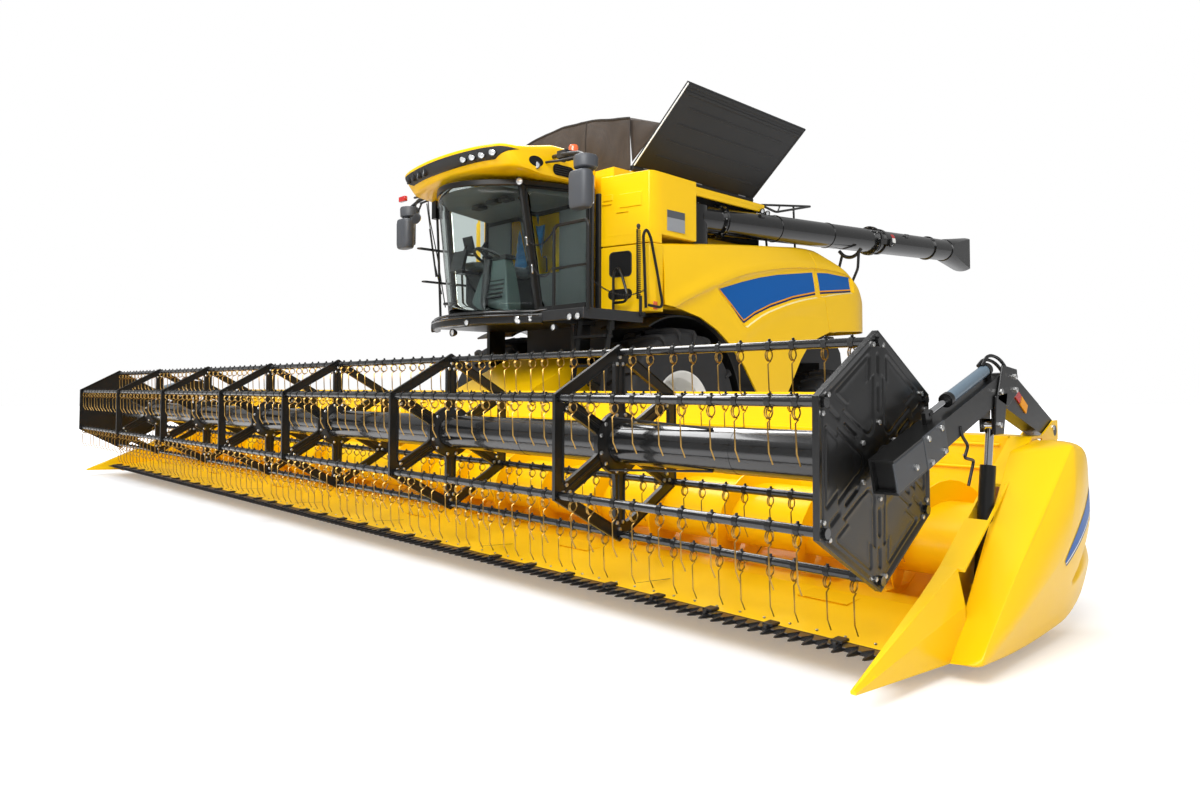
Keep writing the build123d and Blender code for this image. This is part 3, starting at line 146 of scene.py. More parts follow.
def circleProfile(radius, sides=12):
    a = np.linspace(0, 2 * math.pi, sides, endpoint=False)
    return np.stack([np.cos(a) * radius, np.sin(a) * radius], 1)


def boxProfile(width, height, corner=0.0):
    # a rectangle with small cut corners
    w, h, c = width / 2, height / 2, corner or 1e-4
    return np.array([(w, h - c), (w - c, h), (-w + c, h), (-w, h - c), (-w, -h + c), (-w + c, -h),
                     (w - c, -h), (w, -h + c)])


def roundedRoute(points, bend, steps=6):
    # straight runs whose corners are quarter-like bends: a quadratic curve from bend before to bend after
    points = np.asarray(points, float)
    route = [points[0]]
    for before, corner, after in zip(points[:-2], points[1:-1], points[2:]):
        toBefore, toAfter = before - corner, after - corner
        a = min(bend, np.linalg.norm(toBefore) * .48)
        b = min(bend, np.linalg.norm(toAfter) * .48)
        p = corner + toBefore / np.linalg.norm(toBefore) * a
        q = corner + toAfter / np.linalg.norm(toAfter) * b
        t = np.linspace(0, 1, steps)[:, None]
        route += list((1 - t) ** 2 * p + 2 * t * (1 - t) * corner + t ** 2 * q)
    route.append(points[-1])
    return np.array(route)


def tubePart(points, radius, bend=0.0, sides=10, up=(0, 0, 1)):
    route = roundedRoute(points, bend) if bend else np.asarray(points, float)
    return alongPath(route, circleProfile(radius, sides), up=up)


def turned(profile, centre, axis=0, sides=48):
    # a profile of (place along the axis, radius) turned about the axis; poles close where radius is 0
    profile = np.asarray(profile, float)
    a = np.linspace(0, 2 * math.pi, sides, endpoint=False)
    along = np.repeat(profile[:, 0:1], sides, 1)
    first = profile[:, 1:2] * np.cos(a)
    second = profile[:, 1:2] * np.sin(a)
    order = [(0, 1, 2), (1, 2, 0), (2, 0, 1)][axis]
    stacked = np.zeros((len(profile), sides, 3))
    stacked[..., order[0]], stacked[..., order[1]], stacked[..., order[2]] = along, first, second
    points = stacked.reshape(-1, 3) + np.asarray(centre, float)
    faces = gridFaces(len(profile), sides, False, True)[:, ::-1].tolist()
    faces += [[(len(profile) - 1) * sides + k for k in range(sides)], list(range(sides))[::-1]]
    return points, faces


def slabPart(outline, low, high, axis=0):
    # an outline extruded along an axis, both ends closed; its points run anticlockwise seen from the high end
    outline = np.asarray(outline, float)
    order = [(0, 1, 2), (1, 2, 0), (2, 0, 1)][axis]
    n = len(outline)
    points = np.zeros((2 * n, 3))
    for k, place in enumerate((low, high)):
        points[k * n:(k + 1) * n, order[0]] = place
        points[k * n:(k + 1) * n, order[1]] = outline[:, 0]
        points[k * n:(k + 1) * n, order[2]] = outline[:, 1]
    sides = [[k, (k + 1) % n, n + (k + 1) % n, n + k] for k in range(n)]
    return points, sides + [list(range(n))[::-1], list(range(n, 2 * n))]


def roundRect(low, high, radius, steps=6):
    # a rectangle with round corners, anticlockwise, between two opposite corners
    (x0, y0), (x1, y1) = low, high
    outline = []
    for k, (cx, cy) in enumerate([(x1 - radius, y1 - radius), (x0 + radius, y1 - radius),
                                  (x0 + radius, y0 + radius), (x1 - radius, y0 + radius)]):
        for a in np.linspace(k, k + 1, steps) * math.pi / 2:
            outline.append((cx + radius * math.cos(a), cy + radius * math.sin(a)))
    return np.array(outline)


def blockPart(low, high):
    low, high = np.asarray(low, float), np.asarray(high, float)
    (x0, y0, z0), (x1, y1, z1) = low, high
    return slabPart([(y0, z0), (y1, z0), (y1, z1), (y0, z1)], x0, x1)


def lengthAlong(path):
    # the distance travelled along a path at each of its points
    return np.concatenate([[0], np.cumsum(np.linalg.norm(np.diff(path, axis=0), axis=1))])


def onSide(part, side):
    # the part itself, or its mirror image where side is -1
    return part if side > 0 else mirrorPart(part)


def addParts(name, parts, material, body="machine", smooth=35, soft=0.0, steps=2):
    # several parts as one piece, its edges rounded by soft where that is given
    piece = addMesh(name, *joinParts(parts), material, body, smooth)
    return softEdges(piece, soft, steps) if soft else piece


def thicken(piece, thickness, offset=-1):
    # a sheet's wall: inwards from its faces, or to both sides where offset is 0
    wall = piece.modifiers.new("wall", "SOLIDIFY")
    wall.thickness, wall.offset = thickness, offset


def softEdges(piece, width, steps=2):
    bevel = piece.modifiers.new("softEdges", "BEVEL")
    bevel.width, bevel.segments, bevel.limit_method = width, steps, "ANGLE"
    bevel.harden_normals = False
    return piece


# shared effects, as node groups

def feed(socket, value):
    # a constant goes straight on the socket, another node's output is linked to it
    if isinstance(value, bpy.types.NodeSocket):
        socket.id_data.links.new(value, socket)
    else:
        socket.default_value = value


def node(tree, kind, inputs=(), **settings):
    # a shader node with its settings, its inputs fed by name or in order
    made = tree.nodes.new("ShaderNode" + kind)
    for key, value in settings.items():
        setattr(made, key, value)
    for key, value in inputs.items() if isinstance(inputs, dict) else enumerate(inputs):
        feed(made.inputs[key], value)
    return made


def mathOf(tree, operation, *values):
    return node(tree, "Math", values, operation=operation).outputs[0]


def scaled(tree, vector, factor):
    return node(tree, "VectorMath", {0: vector, "Scale": factor}, operation="SCALE").outputs[0]


def makeGroup(name, inputs, outputs):
    # an effect group with a default for each input; a colour is a default of four numbers
    group = bpy.data.node_groups.new(name, "ShaderNodeTree")
    for label, value in inputs.items():
        kind = "NodeSocketColor" if isinstance(value, tuple) else "NodeSocketFloat"
        group.interface.new_socket(label, in_out="INPUT", socket_type=kind).default_value = value
    for label in outputs:
        kind = "NodeSocketColor" if label == "Color" else "NodeSocketFloat"
        group.interface.new_socket(label, in_out="OUTPUT", socket_type=kind)
    return group, group.nodes.new("NodeGroupInput").outputs, group.nodes.new("NodeGroupOutput").inputs


def buildPaintFlow():
    # slow tone drift, fine orange peel and a light film of dust that gathers low down
    group, given, out = makeGroup("paintFlow", {
        "Base": (1, 1, 1, 1), "Drift": .04, "Peel scale": 260.0, "Dust": .05, "Dust height": .6,
        "Gloss": .28},
        ("Color", "Roughness", "Height"))
    place = node(group, "TexCoord").outputs["Object"]
    slow = node(group, "TexNoise", {"Vector": place, "Scale": 1.7, "Detail": 2.0})
    peel = node(group, "TexNoise", {"Vector": place, "Scale": given["Peel scale"], "Detail": 1.0})
    centred = mathOf(group, "SUBTRACT", slow.outputs["Fac"], .5)
    tone = scaled(group, given["Base"], mathOf(group, "MULTIPLY_ADD", centred, given["Drift"], 1.0))
    low = node(group, "MapRange", {"Value": node(group, "SeparateXYZ", [place]).outputs["Z"], "From Min": 0,
                                   "From Max": given["Dust height"], "To Min": 1, "To Max": .25})
    speck = node(group, "TexNoise", {"Vector": place, "Scale": 9.0, "Detail": 6.0, "Roughness": .7})
    dust = mathOf(group, "MULTIPLY", speck.outputs["Fac"], low.outputs[0])
    amount = mathOf(group, "MULTIPLY", dust, given["Dust"])
    mix = node(group, "Mix", {0: amount, 6: tone, 7: (.32, .27, .2, 1)}, data_type="RGBA")
    feed(out["Color"], mix.outputs[2])
    feed(out["Roughness"], mathOf(group, "MULTIPLY_ADD", dust, .16, given["Gloss"]))
    feed(out["Height"], peel.outputs["Fac"])
    return group


def buildGrain():
    # a moulded or cast grain: small cells plus fine noise, as height and as a slight tone change
    group, given, out = makeGroup("grain", {"Base": (1, 1, 1, 1), "Scale": 300.0, "Tone": .12, "Gloss": .5},
                                  ("Color", "Roughness", "Height"))
    place = node(group, "TexCoord").outputs["Object"]
    cells = node(group, "TexVoronoi", {"Vector": place, "Scale": given["Scale"]})
    cloud = node(group, "TexNoise", {"Vector": place, "Scale": 5.0, "Detail": 5.0})
    centred = mathOf(group, "SUBTRACT", cloud.outputs["Fac"], .5)
    swing = mathOf(group, "MULTIPLY_ADD", centred, given["Tone"], 1.0)
    feed(out["Color"], scaled(group, given["Base"], swing))
    feed(out["Roughness"], mathOf(group, "MULTIPLY_ADD", centred, .2, given["Gloss"]))
    feed(out["Height"], cells.outputs["Distance"])
    return group


def buildWeave():
    # a plain weave: two crossed waves, raised in turn; its colour follows the height, lighter on the raised
    # threads and darker between them, which is painted shade
    group, given, out = makeGroup("weave", {"Base": (1, 1, 1, 1), "Threads": 400.0, "Contrast": .25},
                                  ("Color", "Height"))
    spread = scaled(group, node(group, "TexCoord").outputs["Object"], given["Threads"])
    wave = node(group, "VectorMath", [spread], operation="SINE").outputs[0]
    waves = node(group, "SeparateXYZ", [wave]).outputs
    height = mathOf(group, "ADD", mathOf(group, "MULTIPLY", waves["X"], waves["Z"]), waves["Y"])
    swing = mathOf(group, "MULTIPLY_ADD", height, given["Contrast"], 1.0)
    feed(out["Color"], scaled(group, given["Base"], swing))
    feed(out["Height"], height)
    return group


paintFlow = buildPaintFlow()
grain = buildGrain()
weave = buildWeave()


def linear(red, green, blue):
    # screen values 0-255 as linear light
    values = [v / 255 for v in (red, green, blue)]
    return tuple((v / 12.92 if v <= .04045 else ((v + .055) / 1.055) ** 2.4) for v in values) + (1,)


def finishOf(name, base, values, group=None, bump=0.0, bumpDepth=.001):
    # a Principled material; an effect group gives colour, roughness and bump, and takes the values it knows
    material = bpy.data.materials.new(name)
    material.use_nodes = True
    tree = material.node_tree
    shader = tree.nodes["Principled BSDF"]
    effect = node(tree, "Group", node_tree=group) if group else shader
    feed(shader.inputs["Base Color"], base)
    for key, value in values.items():
        feed((effect if key in effect.inputs else shader).inputs[key], value)
    if group:
        feed(effect.inputs["Base"], base)
        feed(shader.inputs["Base Color"], effect.outputs["Color"])
        if "Roughness" in effect.outputs:
            feed(shader.inputs["Roughness"], effect.outputs["Roughness"])
        if bump:
            relief = node(tree, "Bump", {"Strength": bump, "Distance": bumpDepth,
                                         "Height": effect.outputs["Height"]})
            feed(shader.inputs["Normal"], relief.outputs["Normal"])
    return material


# painted sheet: colour, effect values and coat, then the orange peel's strength and depth
yellowPaint = finishOf("yellowPaint", linear(255, 204, 0), {
    "Gloss": .3, "Drift": .05, "Dust": .05, "Coat Weight": .22, "Coat Roughness": .1, "Coat IOR": 1.4,
    "Specular IOR Level": .3}, paintFlow, .12, .0006)
blackPaint = finishOf("blackPaint", linear(15, 16, 17), {
    "Gloss": .32, "Drift": .2, "Dust": .06, "Coat Weight": .3, "Coat Roughness": .16,
    "Specular IOR Level": .35},
    paintFlow, .15, .0006)
tubePaint = finishOf("tubePaint", linear(15, 16, 17), {
    "Gloss": .2, "Drift": .2, "Dust": .03, "Coat Weight": .9, "Coat Roughness": .07}, paintFlow, .05, .0004)
framePaint = finishOf("framePaint", linear(34, 35, 37), {"Gloss": .5, "Drift": .25, "Dust": .14},
                      paintFlow, .2, .0008)
whiteRim = finishOf("whiteRim", linear(232, 232, 228), {"Gloss": .3, "Drift": .04, "Dust": .06,
                                                        "Coat Weight": .4},
                    paintFlow, .1, .0005)
bandBlue = finishOf("bandBlue", linear(0, 92, 172), {
    "Gloss": .34, "Drift": .08, "Dust": .03, "Specular IOR Level": .2}, paintFlow)

# rubber, plastics and metals
tyreRubber = finishOf("tyreRubber", linear(36, 36, 37), {"Scale": 140, "Tone": .3, "Gloss": .72}, grain, .5,
                      .001)
blackPlastic = finishOf("blackPlastic", linear(40, 41, 43), {"Scale": 500, "Gloss": .48}, grain, .35, .0005)
engineGrey = finishOf("engineGrey", linear(84, 86, 88), {"Scale": 60, "Gloss": .6}, grain, .6, .002)
zinc = finishOf("zinc", (.58, .58, .57, 1), {"Scale": 800, "Gloss": .3, "Metallic": 1}, grain, .2, .0003)
tineGold = finishOf("tineGold", linear(172, 136, 72), {"Scale": 300, "Tone": .5, "Gloss": .3,
                                                       "Metallic": .85},
                    grain, .1, .0002)
knifeSteel = finishOf("knifeSteel", linear(46, 45, 46), {"Scale": 400, "Tone": .6, "Gloss": .45,
                                                         "Metallic": .4},
                      grain, .4, .0006)
chrome = finishOf("chrome", (.8, .81, .83, 1), {"Metallic": 1, "Roughness": .08})

# glass and lenses
cabGlass = finishOf("cabGlass", linear(243, 250, 248), {"Roughness": .01, "IOR": 1.2,
                                                        "Transmission Weight": 1.0})
lensGlass = finishOf("lensGlass", (.9, .92, .93, 1), {"Roughness": .05, "Metallic": .6})
amberLens = finishOf("amberLens", linear(240, 110, 60), {"Roughness": .12, "Coat Weight": .8})
redLens = finishOf("redLens", linear(196, 26, 22), {"Roughness": .12, "Coat Weight": .8})

# cloth
seatCloth = finishOf("seatCloth", linear(24, 88, 128), {"Roughness": .9, "Threads": 900, "Sheen Weight": .4},
                     weave, .4, .0006)
coverCloth = finishOf("coverCloth", linear(58, 46, 38), {"Roughness": .55, "Threads": 700, "Contrast": .08},
                      weave, .25, .0006)

# stripes and small plain faces, among them a pale strip that is a painted highlight and a near black that is
# painted shade
decal = {"Roughness": .35, "Specular IOR Level": .2}
bandNavy = finishOf("bandNavy", linear(16, 42, 92), decal)
bandOrange = finishOf("bandOrange", linear(244, 160, 16), decal)
bandWhite = finishOf("bandWhite", linear(245, 245, 240), decal)
# pale yellow for the strip along the trough's lower wall: a painted highlight on its bevel
paintedHighlightPale = finishOf("paintedHighlightPale", linear(255, 240, 168), decal)
plateGrey = finishOf("plateGrey", linear(150, 153, 157), {"Roughness": .35})
# near black for flat faces laid over holes, hollows and the space under the tube: painted shade
paintedShadeBlack = finishOf("paintedShadeBlack", linear(10, 10, 11), {"Roughness": .9})
print("materials ready")

# the CAD pieces that stay get their finishes
nodeFinish = {
    yellowPaint: ["cab_roof", "body_shell", "rear_hood", "left_side_shield", "right_side_shield",
                  "feeder_house", "header_frame", "header_ends", "end_shields", "header_auger", "grain_tank"],
    blackPaint: ["engine_deck", "platform", "ladder", "mudguards", "left_tank_cover", "right_tank_cover",
                 "reel_arms", "reel_carriages", "reel_spiders", "reel_eccentric", "reel_lift_barrels",
                 "header_lift_barrels", "cab_support", "cab_shell", "cab_door"],
    tubePaint: ["reel_tube", "unloading_auger"] + [f"bat_{n}" for n in range(1, 7)],
    framePaint: ["chassis", "front_axle", "rear_axle", "left_knuckle", "right_knuckle", "tie_rod",
                 "threshing_body"],
    whiteRim: [f"{end}_{side}_rim" for end in ("front", "rear") for side in ("left", "right")],
    tyreRubber: [f"{end}_{side}_tyre" for end in ("front", "rear") for side in ("left", "right")],
    cabGlass: ["cab_glass", "door_glass"],
    blackPlastic: ["mirrors", "steering_column", "side_console"],
    seatCloth: ["operator_seat"],
    coverCloth: ["tank_cloths"],
    chrome: ["reel_lift_rods", "header_lift_rods"],
    engineGrey: ["engine_block"],
    knifeSteel: ["knife_bar"],
}
for finish, names in nodeFinish.items():
    for name in names:
        mesh = nodes[name].data
        mesh.materials.clear()
        mesh.materials.append(finish)


# floor, light and camera
def buildStage():
    # a wide pale floor; seen by the camera it is lifted a little and runs out to pure white further off
    size, low = 60.0, cadBox[0][2]
    material = bpy.data.materials.new("paleFloor")
    material.use_nodes = True
    tree = material.node_tree
    shader = tree.nodes["Principled BSDF"]
    for key, value in {"Base Color": (.82, .82, .83, 1), "Roughness": .8, "Specular IOR Level": .1}.items():
        feed(shader.inputs[key], value)
    place = node(tree, "TexCoord").outputs["Object"]
    distance = node(tree, "VectorMath", [place], operation="LENGTH").outputs["Value"]
    far = node(tree, "MapRange", {"Value": distance, "From Min": 7.5, "From Max": 15},
               interpolation_type="SMOOTHSTEP")
    lift = node(tree, "MapRange", {"Value": far.outputs[0], "To Min": .24, "To Max": 1})
    shown = mathOf(tree, "MULTIPLY", lift.outputs[0], node(tree, "LightPath").outputs["Is Camera Ray"])
    glow = node(tree, "Emission", {"Strength": shown})
    both = node(tree, "AddShader", [shader.outputs[0], glow.outputs[0]])
    feed(tree.nodes["Material Output"].inputs["Surface"], both.outputs[0])
    mesh = bpy.data.meshes.new("floor")
    mesh.from_pydata([(x * size, y * size, low) for x, y in ((-1, -1), (1, -1), (1, 1), (-1, 1))], [],
                     [(0, 1, 2, 3)])
    mesh.materials.append(material)
    floor = bpy.data.objects.new("floor", mesh)
    bpy.context.scene.collection.objects.link(floor)


def buildLight():
    # the world's strength: full behind the object and through glass, less as light, least in reflections
    world = bpy.data.worlds.new("studio")
    bpy.context.scene.world = world
    world.use_nodes = True
    tree = world.node_tree
    rays = node(tree, "LightPath").outputs
    through = mathOf(tree, "MAXIMUM", rays["Is Camera Ray"], rays["Is Transmission Ray"])
    level = mathOf(tree, "MULTIPLY_ADD", through, .34, .66)
    strength = mathOf(tree, "MULTIPLY_ADD", rays["Is Glossy Ray"], -.34, level)
    feed(tree.nodes["Background"].inputs["Color"], (1, 1, 1, 1))
    feed(tree.nodes["Background"].inputs["Strength"], strength)
    lamps = [  # name, place, looked-at point, width, depth, power
        ("keySoft", (6, -12, 9.5), (0, -2, 1), 9, 6, 1500),
        ("topStrip", (-3, -3, 10), (0, -3, 1), 14, 3, 900),
        ("rearFill", (-9, 9, 7), (0, 0, 1.5), 8, 6, 700),
    ]
    for name, place, aim, width, depth, power in lamps:
        lamp = bpy.data.lights.new(name, "AREA")
        lamp.shape, lamp.size, lamp.size_y, lamp.energy = "RECTANGLE", width, depth, power
        made = bpy.data.objects.new(name, lamp)
        bpy.context.scene.collection.objects.link(made)
        made.location = place
        away = np.array(place, float) - np.array(aim, float)
        flat = math.hypot(away[0], away[1])
        made.rotation_euler = (math.atan2(flat, away[2]), 0, math.atan2(away[0], -away[1]))


def buildCamera():
    view = {"place": (7.9555, -8.7405, 1.3235), "yaw": 44.70, "lookUp": 2.19, "lens": 24.46,
            "shiftX": -.0234, "shiftY": -.0366}
    lens = bpy.data.cameras.new("camera")
    lens.lens, lens.sensor_width = view["lens"], 36
    lens.shift_x, lens.shift_y = view["shiftX"], view["shiftY"]
    lens.clip_end = 400
    camera = bpy.data.objects.new("camera", lens)
    bpy.context.scene.collection.objects.link(camera)
    camera.location = view["place"]
    camera.rotation_euler = (math.radians(90 + view["lookUp"]), 0, math.radians(view["yaw"]))
    bpy.context.scene.camera = camera


buildStage()
buildLight()
buildCamera()
bpy.context.scene.view_settings.view_transform = "Standard"
print("stage, light and camera ready")

# the reel

reel = {"y": -5.385, "z": 1.0, "radius": .527, "half": 6.2, "plateRadius": .577,
        "spiders": (4.558, 2.798, .990, -.509, -2.344, -4.204)}
batAngles = np.radians(90 + 60 * np.arange(6))


def boltPart(places, normals, radius=.012, height=.009, sides=6):
    # domed heads: a ring, a smaller ring and a top point, standing on each place along its normal
    places, normals = np.asarray(places, float), np.asarray(normals, float)
    normals = normals / np.linalg.norm(normals, axis=1)[:, None]
    helper = np.where(np.abs(normals[:, 2:3]) > .9, [[1.0, 0, 0]], [[0, 0, 1.0]])
    side = np.cross(normals, helper)
    side /= np.linalg.norm(side, axis=1)[:, None]
    lift = np.cross(normals, side)
    a = np.arange(sides) * 2 * math.pi / sides
    rings = []
    for grow, rise in ((1.0, -.002), (1.0, height * .75), (.7, height)):
        ring = (side[:, None] * np.cos(a)[None, :, None] + lift[:, None]
                * np.sin(a)[None, :, None]) * radius * grow
        rings.append(places[:, None] + ring + normals[:, None] * rise)
    points = np.concatenate(rings, 1)
    k = np.arange(sides)
    k2 = (k + 1) % sides
    lower = np.stack([k, k2, sides + k2, sides + k], 1)
    faces = [list(f) for f in lower] + [list(f + sides) for f in lower] + [list(2 * sides + k)]
    allFaces = [[int(v) + n * 3 * sides for v in face] for n in range(len(places)) for face in faces]
    return points.reshape(-1, 3), allFaces


def hexEdge(angle, radius):
    # distance from the middle to a hexagon's edge whose corners lie at 90 + 60k degrees
    turned6 = np.mod(angle - math.pi / 2, math.pi / 3) - math.pi / 6
    return radius * math.cos(math.pi / 6) / np.cos(turned6)


def roundedTriangle(p, q, apex, far, half, round1, round2):
    # signed distance, positive inside, to a triangle from its apex at (apex, 0) to far with half-width half;
    # the corners are rounded by shrinking the triangle and growing it again
    slope = math.atan2(half, far - apex)
    apexIn = apex + round1 / math.sin(slope)
    edge = (p - apexIn) * math.sin(slope) - np.abs(q) * math.cos(slope)
    wall = (far - round2) - p
    inner = np.minimum(edge, wall)
    # outside a corner the distance is to the corner itself
    cornerP, cornerQ = far - round2, (far - round2 - apexIn) * math.tan(slope)
    nearApex = (edge < 0) & ((p - apexIn) * math.cos(slope) + np.abs(q) * math.sin(slope) < 0)
    atApex = -np.hypot(p - apexIn, q)
    beyond = (wall < 0) & (np.abs(q) > cornerQ)
    atCorner = -np.hypot(p - cornerP, np.abs(q) - cornerQ)
    inner = np.where(nearApex, atApex, inner)
    inner = np.where(beyond, np.maximum(atCorner, -9), inner)
    return inner + np.where(p > cornerP * .8, round2, round1)


def endPlateRelief(u, v):
    # depth of the pressing below the plate's face, in metres, at (u, v) from its middle
    radius, angle = np.hypot(u, v), np.arctan2(v, u)
    sector = np.round(angle / math.radians(60)) * math.radians(60)
    p, q = u * np.cos(sector) + v * np.sin(sector), -u * np.sin(sector) + v * np.cos(sector)
    inside = roundedTriangle(p, q, .085, .452, .225, .055, .02)
    groove = .0062 * np.exp(-((inside - .010) / .0075) ** 2)
    pan = .0035 / (1 + np.exp(-(inside - .024) / .006))
    toEdge = hexEdge(angle, reel["plateRadius"]) - radius
    flange = .004 / (1 + np.exp(-(toEdge - .016) / .003))
    line = .0035 * np.exp(-((toEdge - .034) / .005) ** 2)
    arm = np.mod(angle - math.pi / 2 + math.pi / 6, math.pi / 3) - math.pi / 6
    along, across = radius * np.cos(arm), radius * np.sin(arm)
    slots = 0
    for mid, half in ((.275, .052), (.43, .036)):
        toSlot = np.hypot(across, np.maximum(0, np.abs(along - mid) - half))
        slots = slots + .0075 / (1 + np.exp((toSlot - .0085) / .0018))
    hub = -.004 / (1 + np.exp((radius - .205) / .006))
    return flange + np.maximum(groove + pan, line) + slots + hub


def endPlatePart(side):
    # a polar grid out to the hexagon's edge, pressed by endPlateRelief, with a rim and a plain back
    rays, rings = 432, 84
    angle = np.linspace(0, 2 * math.pi, rays, endpoint=False) + math.pi / 2
    share = np.linspace(0, 1, rings)[:, None] ** .9
    low = .034
    reach = low + (hexEdge(angle, reel["plateRadius"])[None] - low) * share
    u, v = reach * np.cos(angle), reach * np.sin(angle)
    face = reel["half"] - endPlateRelief(u, v) - .0004
    rows = [np.stack([face[k], u[k], v[k]], -1) for k in range(rings)]
    rim = rows[-1]
    for back in (.0085, .030):   # the turned rim and its inner lip
        rows.append(np.stack([np.full(rays, reel["half"] - back), rim[:, 1], rim[:, 2]], -1))
    rows.append(np.stack([np.full(rays, reel["half"] - .030), rim[:, 1] * .985, rim[:, 2] * .985], -1))
    rows.append(np.stack([np.full(rays, reel["half"] - .0125), rim[:, 1] * .985, rim[:, 2] * .985], -1))
    rows.append(np.stack([np.full(rays, reel["half"] - .0125), rows[0][:, 1], rows[0][:, 2]], -1))
    points = np.concatenate(rows)
    faces = gridFaces(len(rows), rays, True, True)
    points = points + (0, reel["y"], reel["z"])
    if side < 0:
        return points * (-1, 1, 1), faces[:, ::-1]
    return points, faces


def spiderPart(x):
    # each sixth of the wheel is a grid from its rounded cut-out to the sixth's own edges, with raised lips
    parts = []
    plateRadius, armHalf, rimWidth = reel["radius"] + .045, .040, .066
    edge = plateRadius * math.cos(math.pi / 6)
    centre = np.array([.30, 0])
    tan30 = math.tan(math.pi / 6)
    # the cut-out: a triangle between the arms and the rim, with a wide round towards the hub
    top = (edge - rimWidth) * tan30 - armHalf / math.cos(math.pi / 6)
    loop = []
    shape = [np.array([armHalf / math.sin(math.pi / 6), 0.0]), np.array([edge - rimWidth, -top]),
             np.array([edge - rimWidth, top])]
    cuts = [.17, .03, .03]
    for n in range(3):
        corner, before, after = shape[n], shape[n - 1], shape[(n + 1) % 3]
        toBefore = (before - corner) / np.linalg.norm(before - corner)
        toAfter = (after - corner) / np.linalg.norm(after - corner)
        first, last = corner + toBefore * cuts[n], corner + toAfter * cuts[n]
        s = np.linspace(0, 1, 12 if n == 0 else 6)[:, None]
        loop += list((1 - s) ** 2 * first + 2 * s * (1 - s) * corner + s ** 2 * last)
    loop = np.array(loop)
    turns = len(loop)
    away = loop - np.roll(loop, 1, 0)
    after = np.roll(loop, -1, 0) - loop
    along = away / np.maximum(np.linalg.norm(away, axis=1), 1e-9)[:, None] \
        + after / np.maximum(np.linalg.norm(after, axis=1), 1e-9)[:, None]
    along /= np.linalg.norm(along, axis=1)[:, None]
    outwards = np.stack([along[:, 1], -along[:, 0]], 1)
    # where a ray from the cut-out's middle meets the sixth's own border
    ray = loop - centre
    ray /= np.linalg.norm(ray, axis=1)[:, None]
    reachRim = (edge - centre[0]) / np.where(ray[:, 0] > 1e-6, ray[:, 0], 1e-6)
    reachRim = np.where(ray[:, 0] > 1e-6, reachRim, 9)
    normalUp = np.array([-math.sin(math.pi / 6), math.cos(math.pi / 6)])
    normalLow = np.array([-math.sin(math.pi / 6), -math.cos(math.pi / 6)])
    reaches = [reachRim]
    for normal in (normalUp, normalLow):
        speed = ray @ normal
        reaches.append(np.where(speed > 1e-6, -(centre @ normal) / np.where(speed > 1e-6, speed, 1), 9))
    reach = np.min(reaches, 0)
    border = centre + ray * reach[:, None]
    front = [(loop, -.014), (loop, .014), (loop + outwards * .005, .014), (loop + outwards * .009, .005),
             (border - ray * .012, .005), (border - ray * .007, .0115), (border, .0115)]
    back = [(place, -high) for place, high in front[1:]]
    for columns in (front, back):
        flat = np.stack([place for place, high in columns], 1)
        high = np.broadcast_to(np.array([high for place, high in columns])[None], flat.shape[:2])
        faces = gridFaces(turns, len(columns), True, False)
        for k in range(6):
            a = k * math.pi / 3
            y = flat[..., 0] * math.cos(a) - flat[..., 1] * math.sin(a)
            z = flat[..., 0] * math.sin(a) + flat[..., 1] * math.cos(a)
            points = np.stack([high, y, z], -1).reshape(-1, 3)
            parts.append((points, faces[:, ::-1] if columns is back else faces))
    # the wheel's outer wall and a hub collar on the tube
    a = batAngles
    corner = np.stack([np.cos(a), np.sin(a)], 1) * plateRadius
    wall = np.concatenate([np.stack([np.full(6, h), corner[:, 0], corner[:, 1]], 1) for h in (-.0115, .0115)])
    parts.append((wall, [[k, (k + 1) % 6, 6 + (k + 1) % 6, 6 + k] for k in range(6)]))
    parts.append(turned([(-.034, .121), (-.034, .132), (-.02, .150), (-.016, .185), (.016, .185), (.02, .150),
                         (.034, .132), (.034, .121)], (0, 0, 0), 0, 36))
    return [(np.asarray(points, float) + (x, reel["y"], reel["z"]), faces) for points, faces in parts]


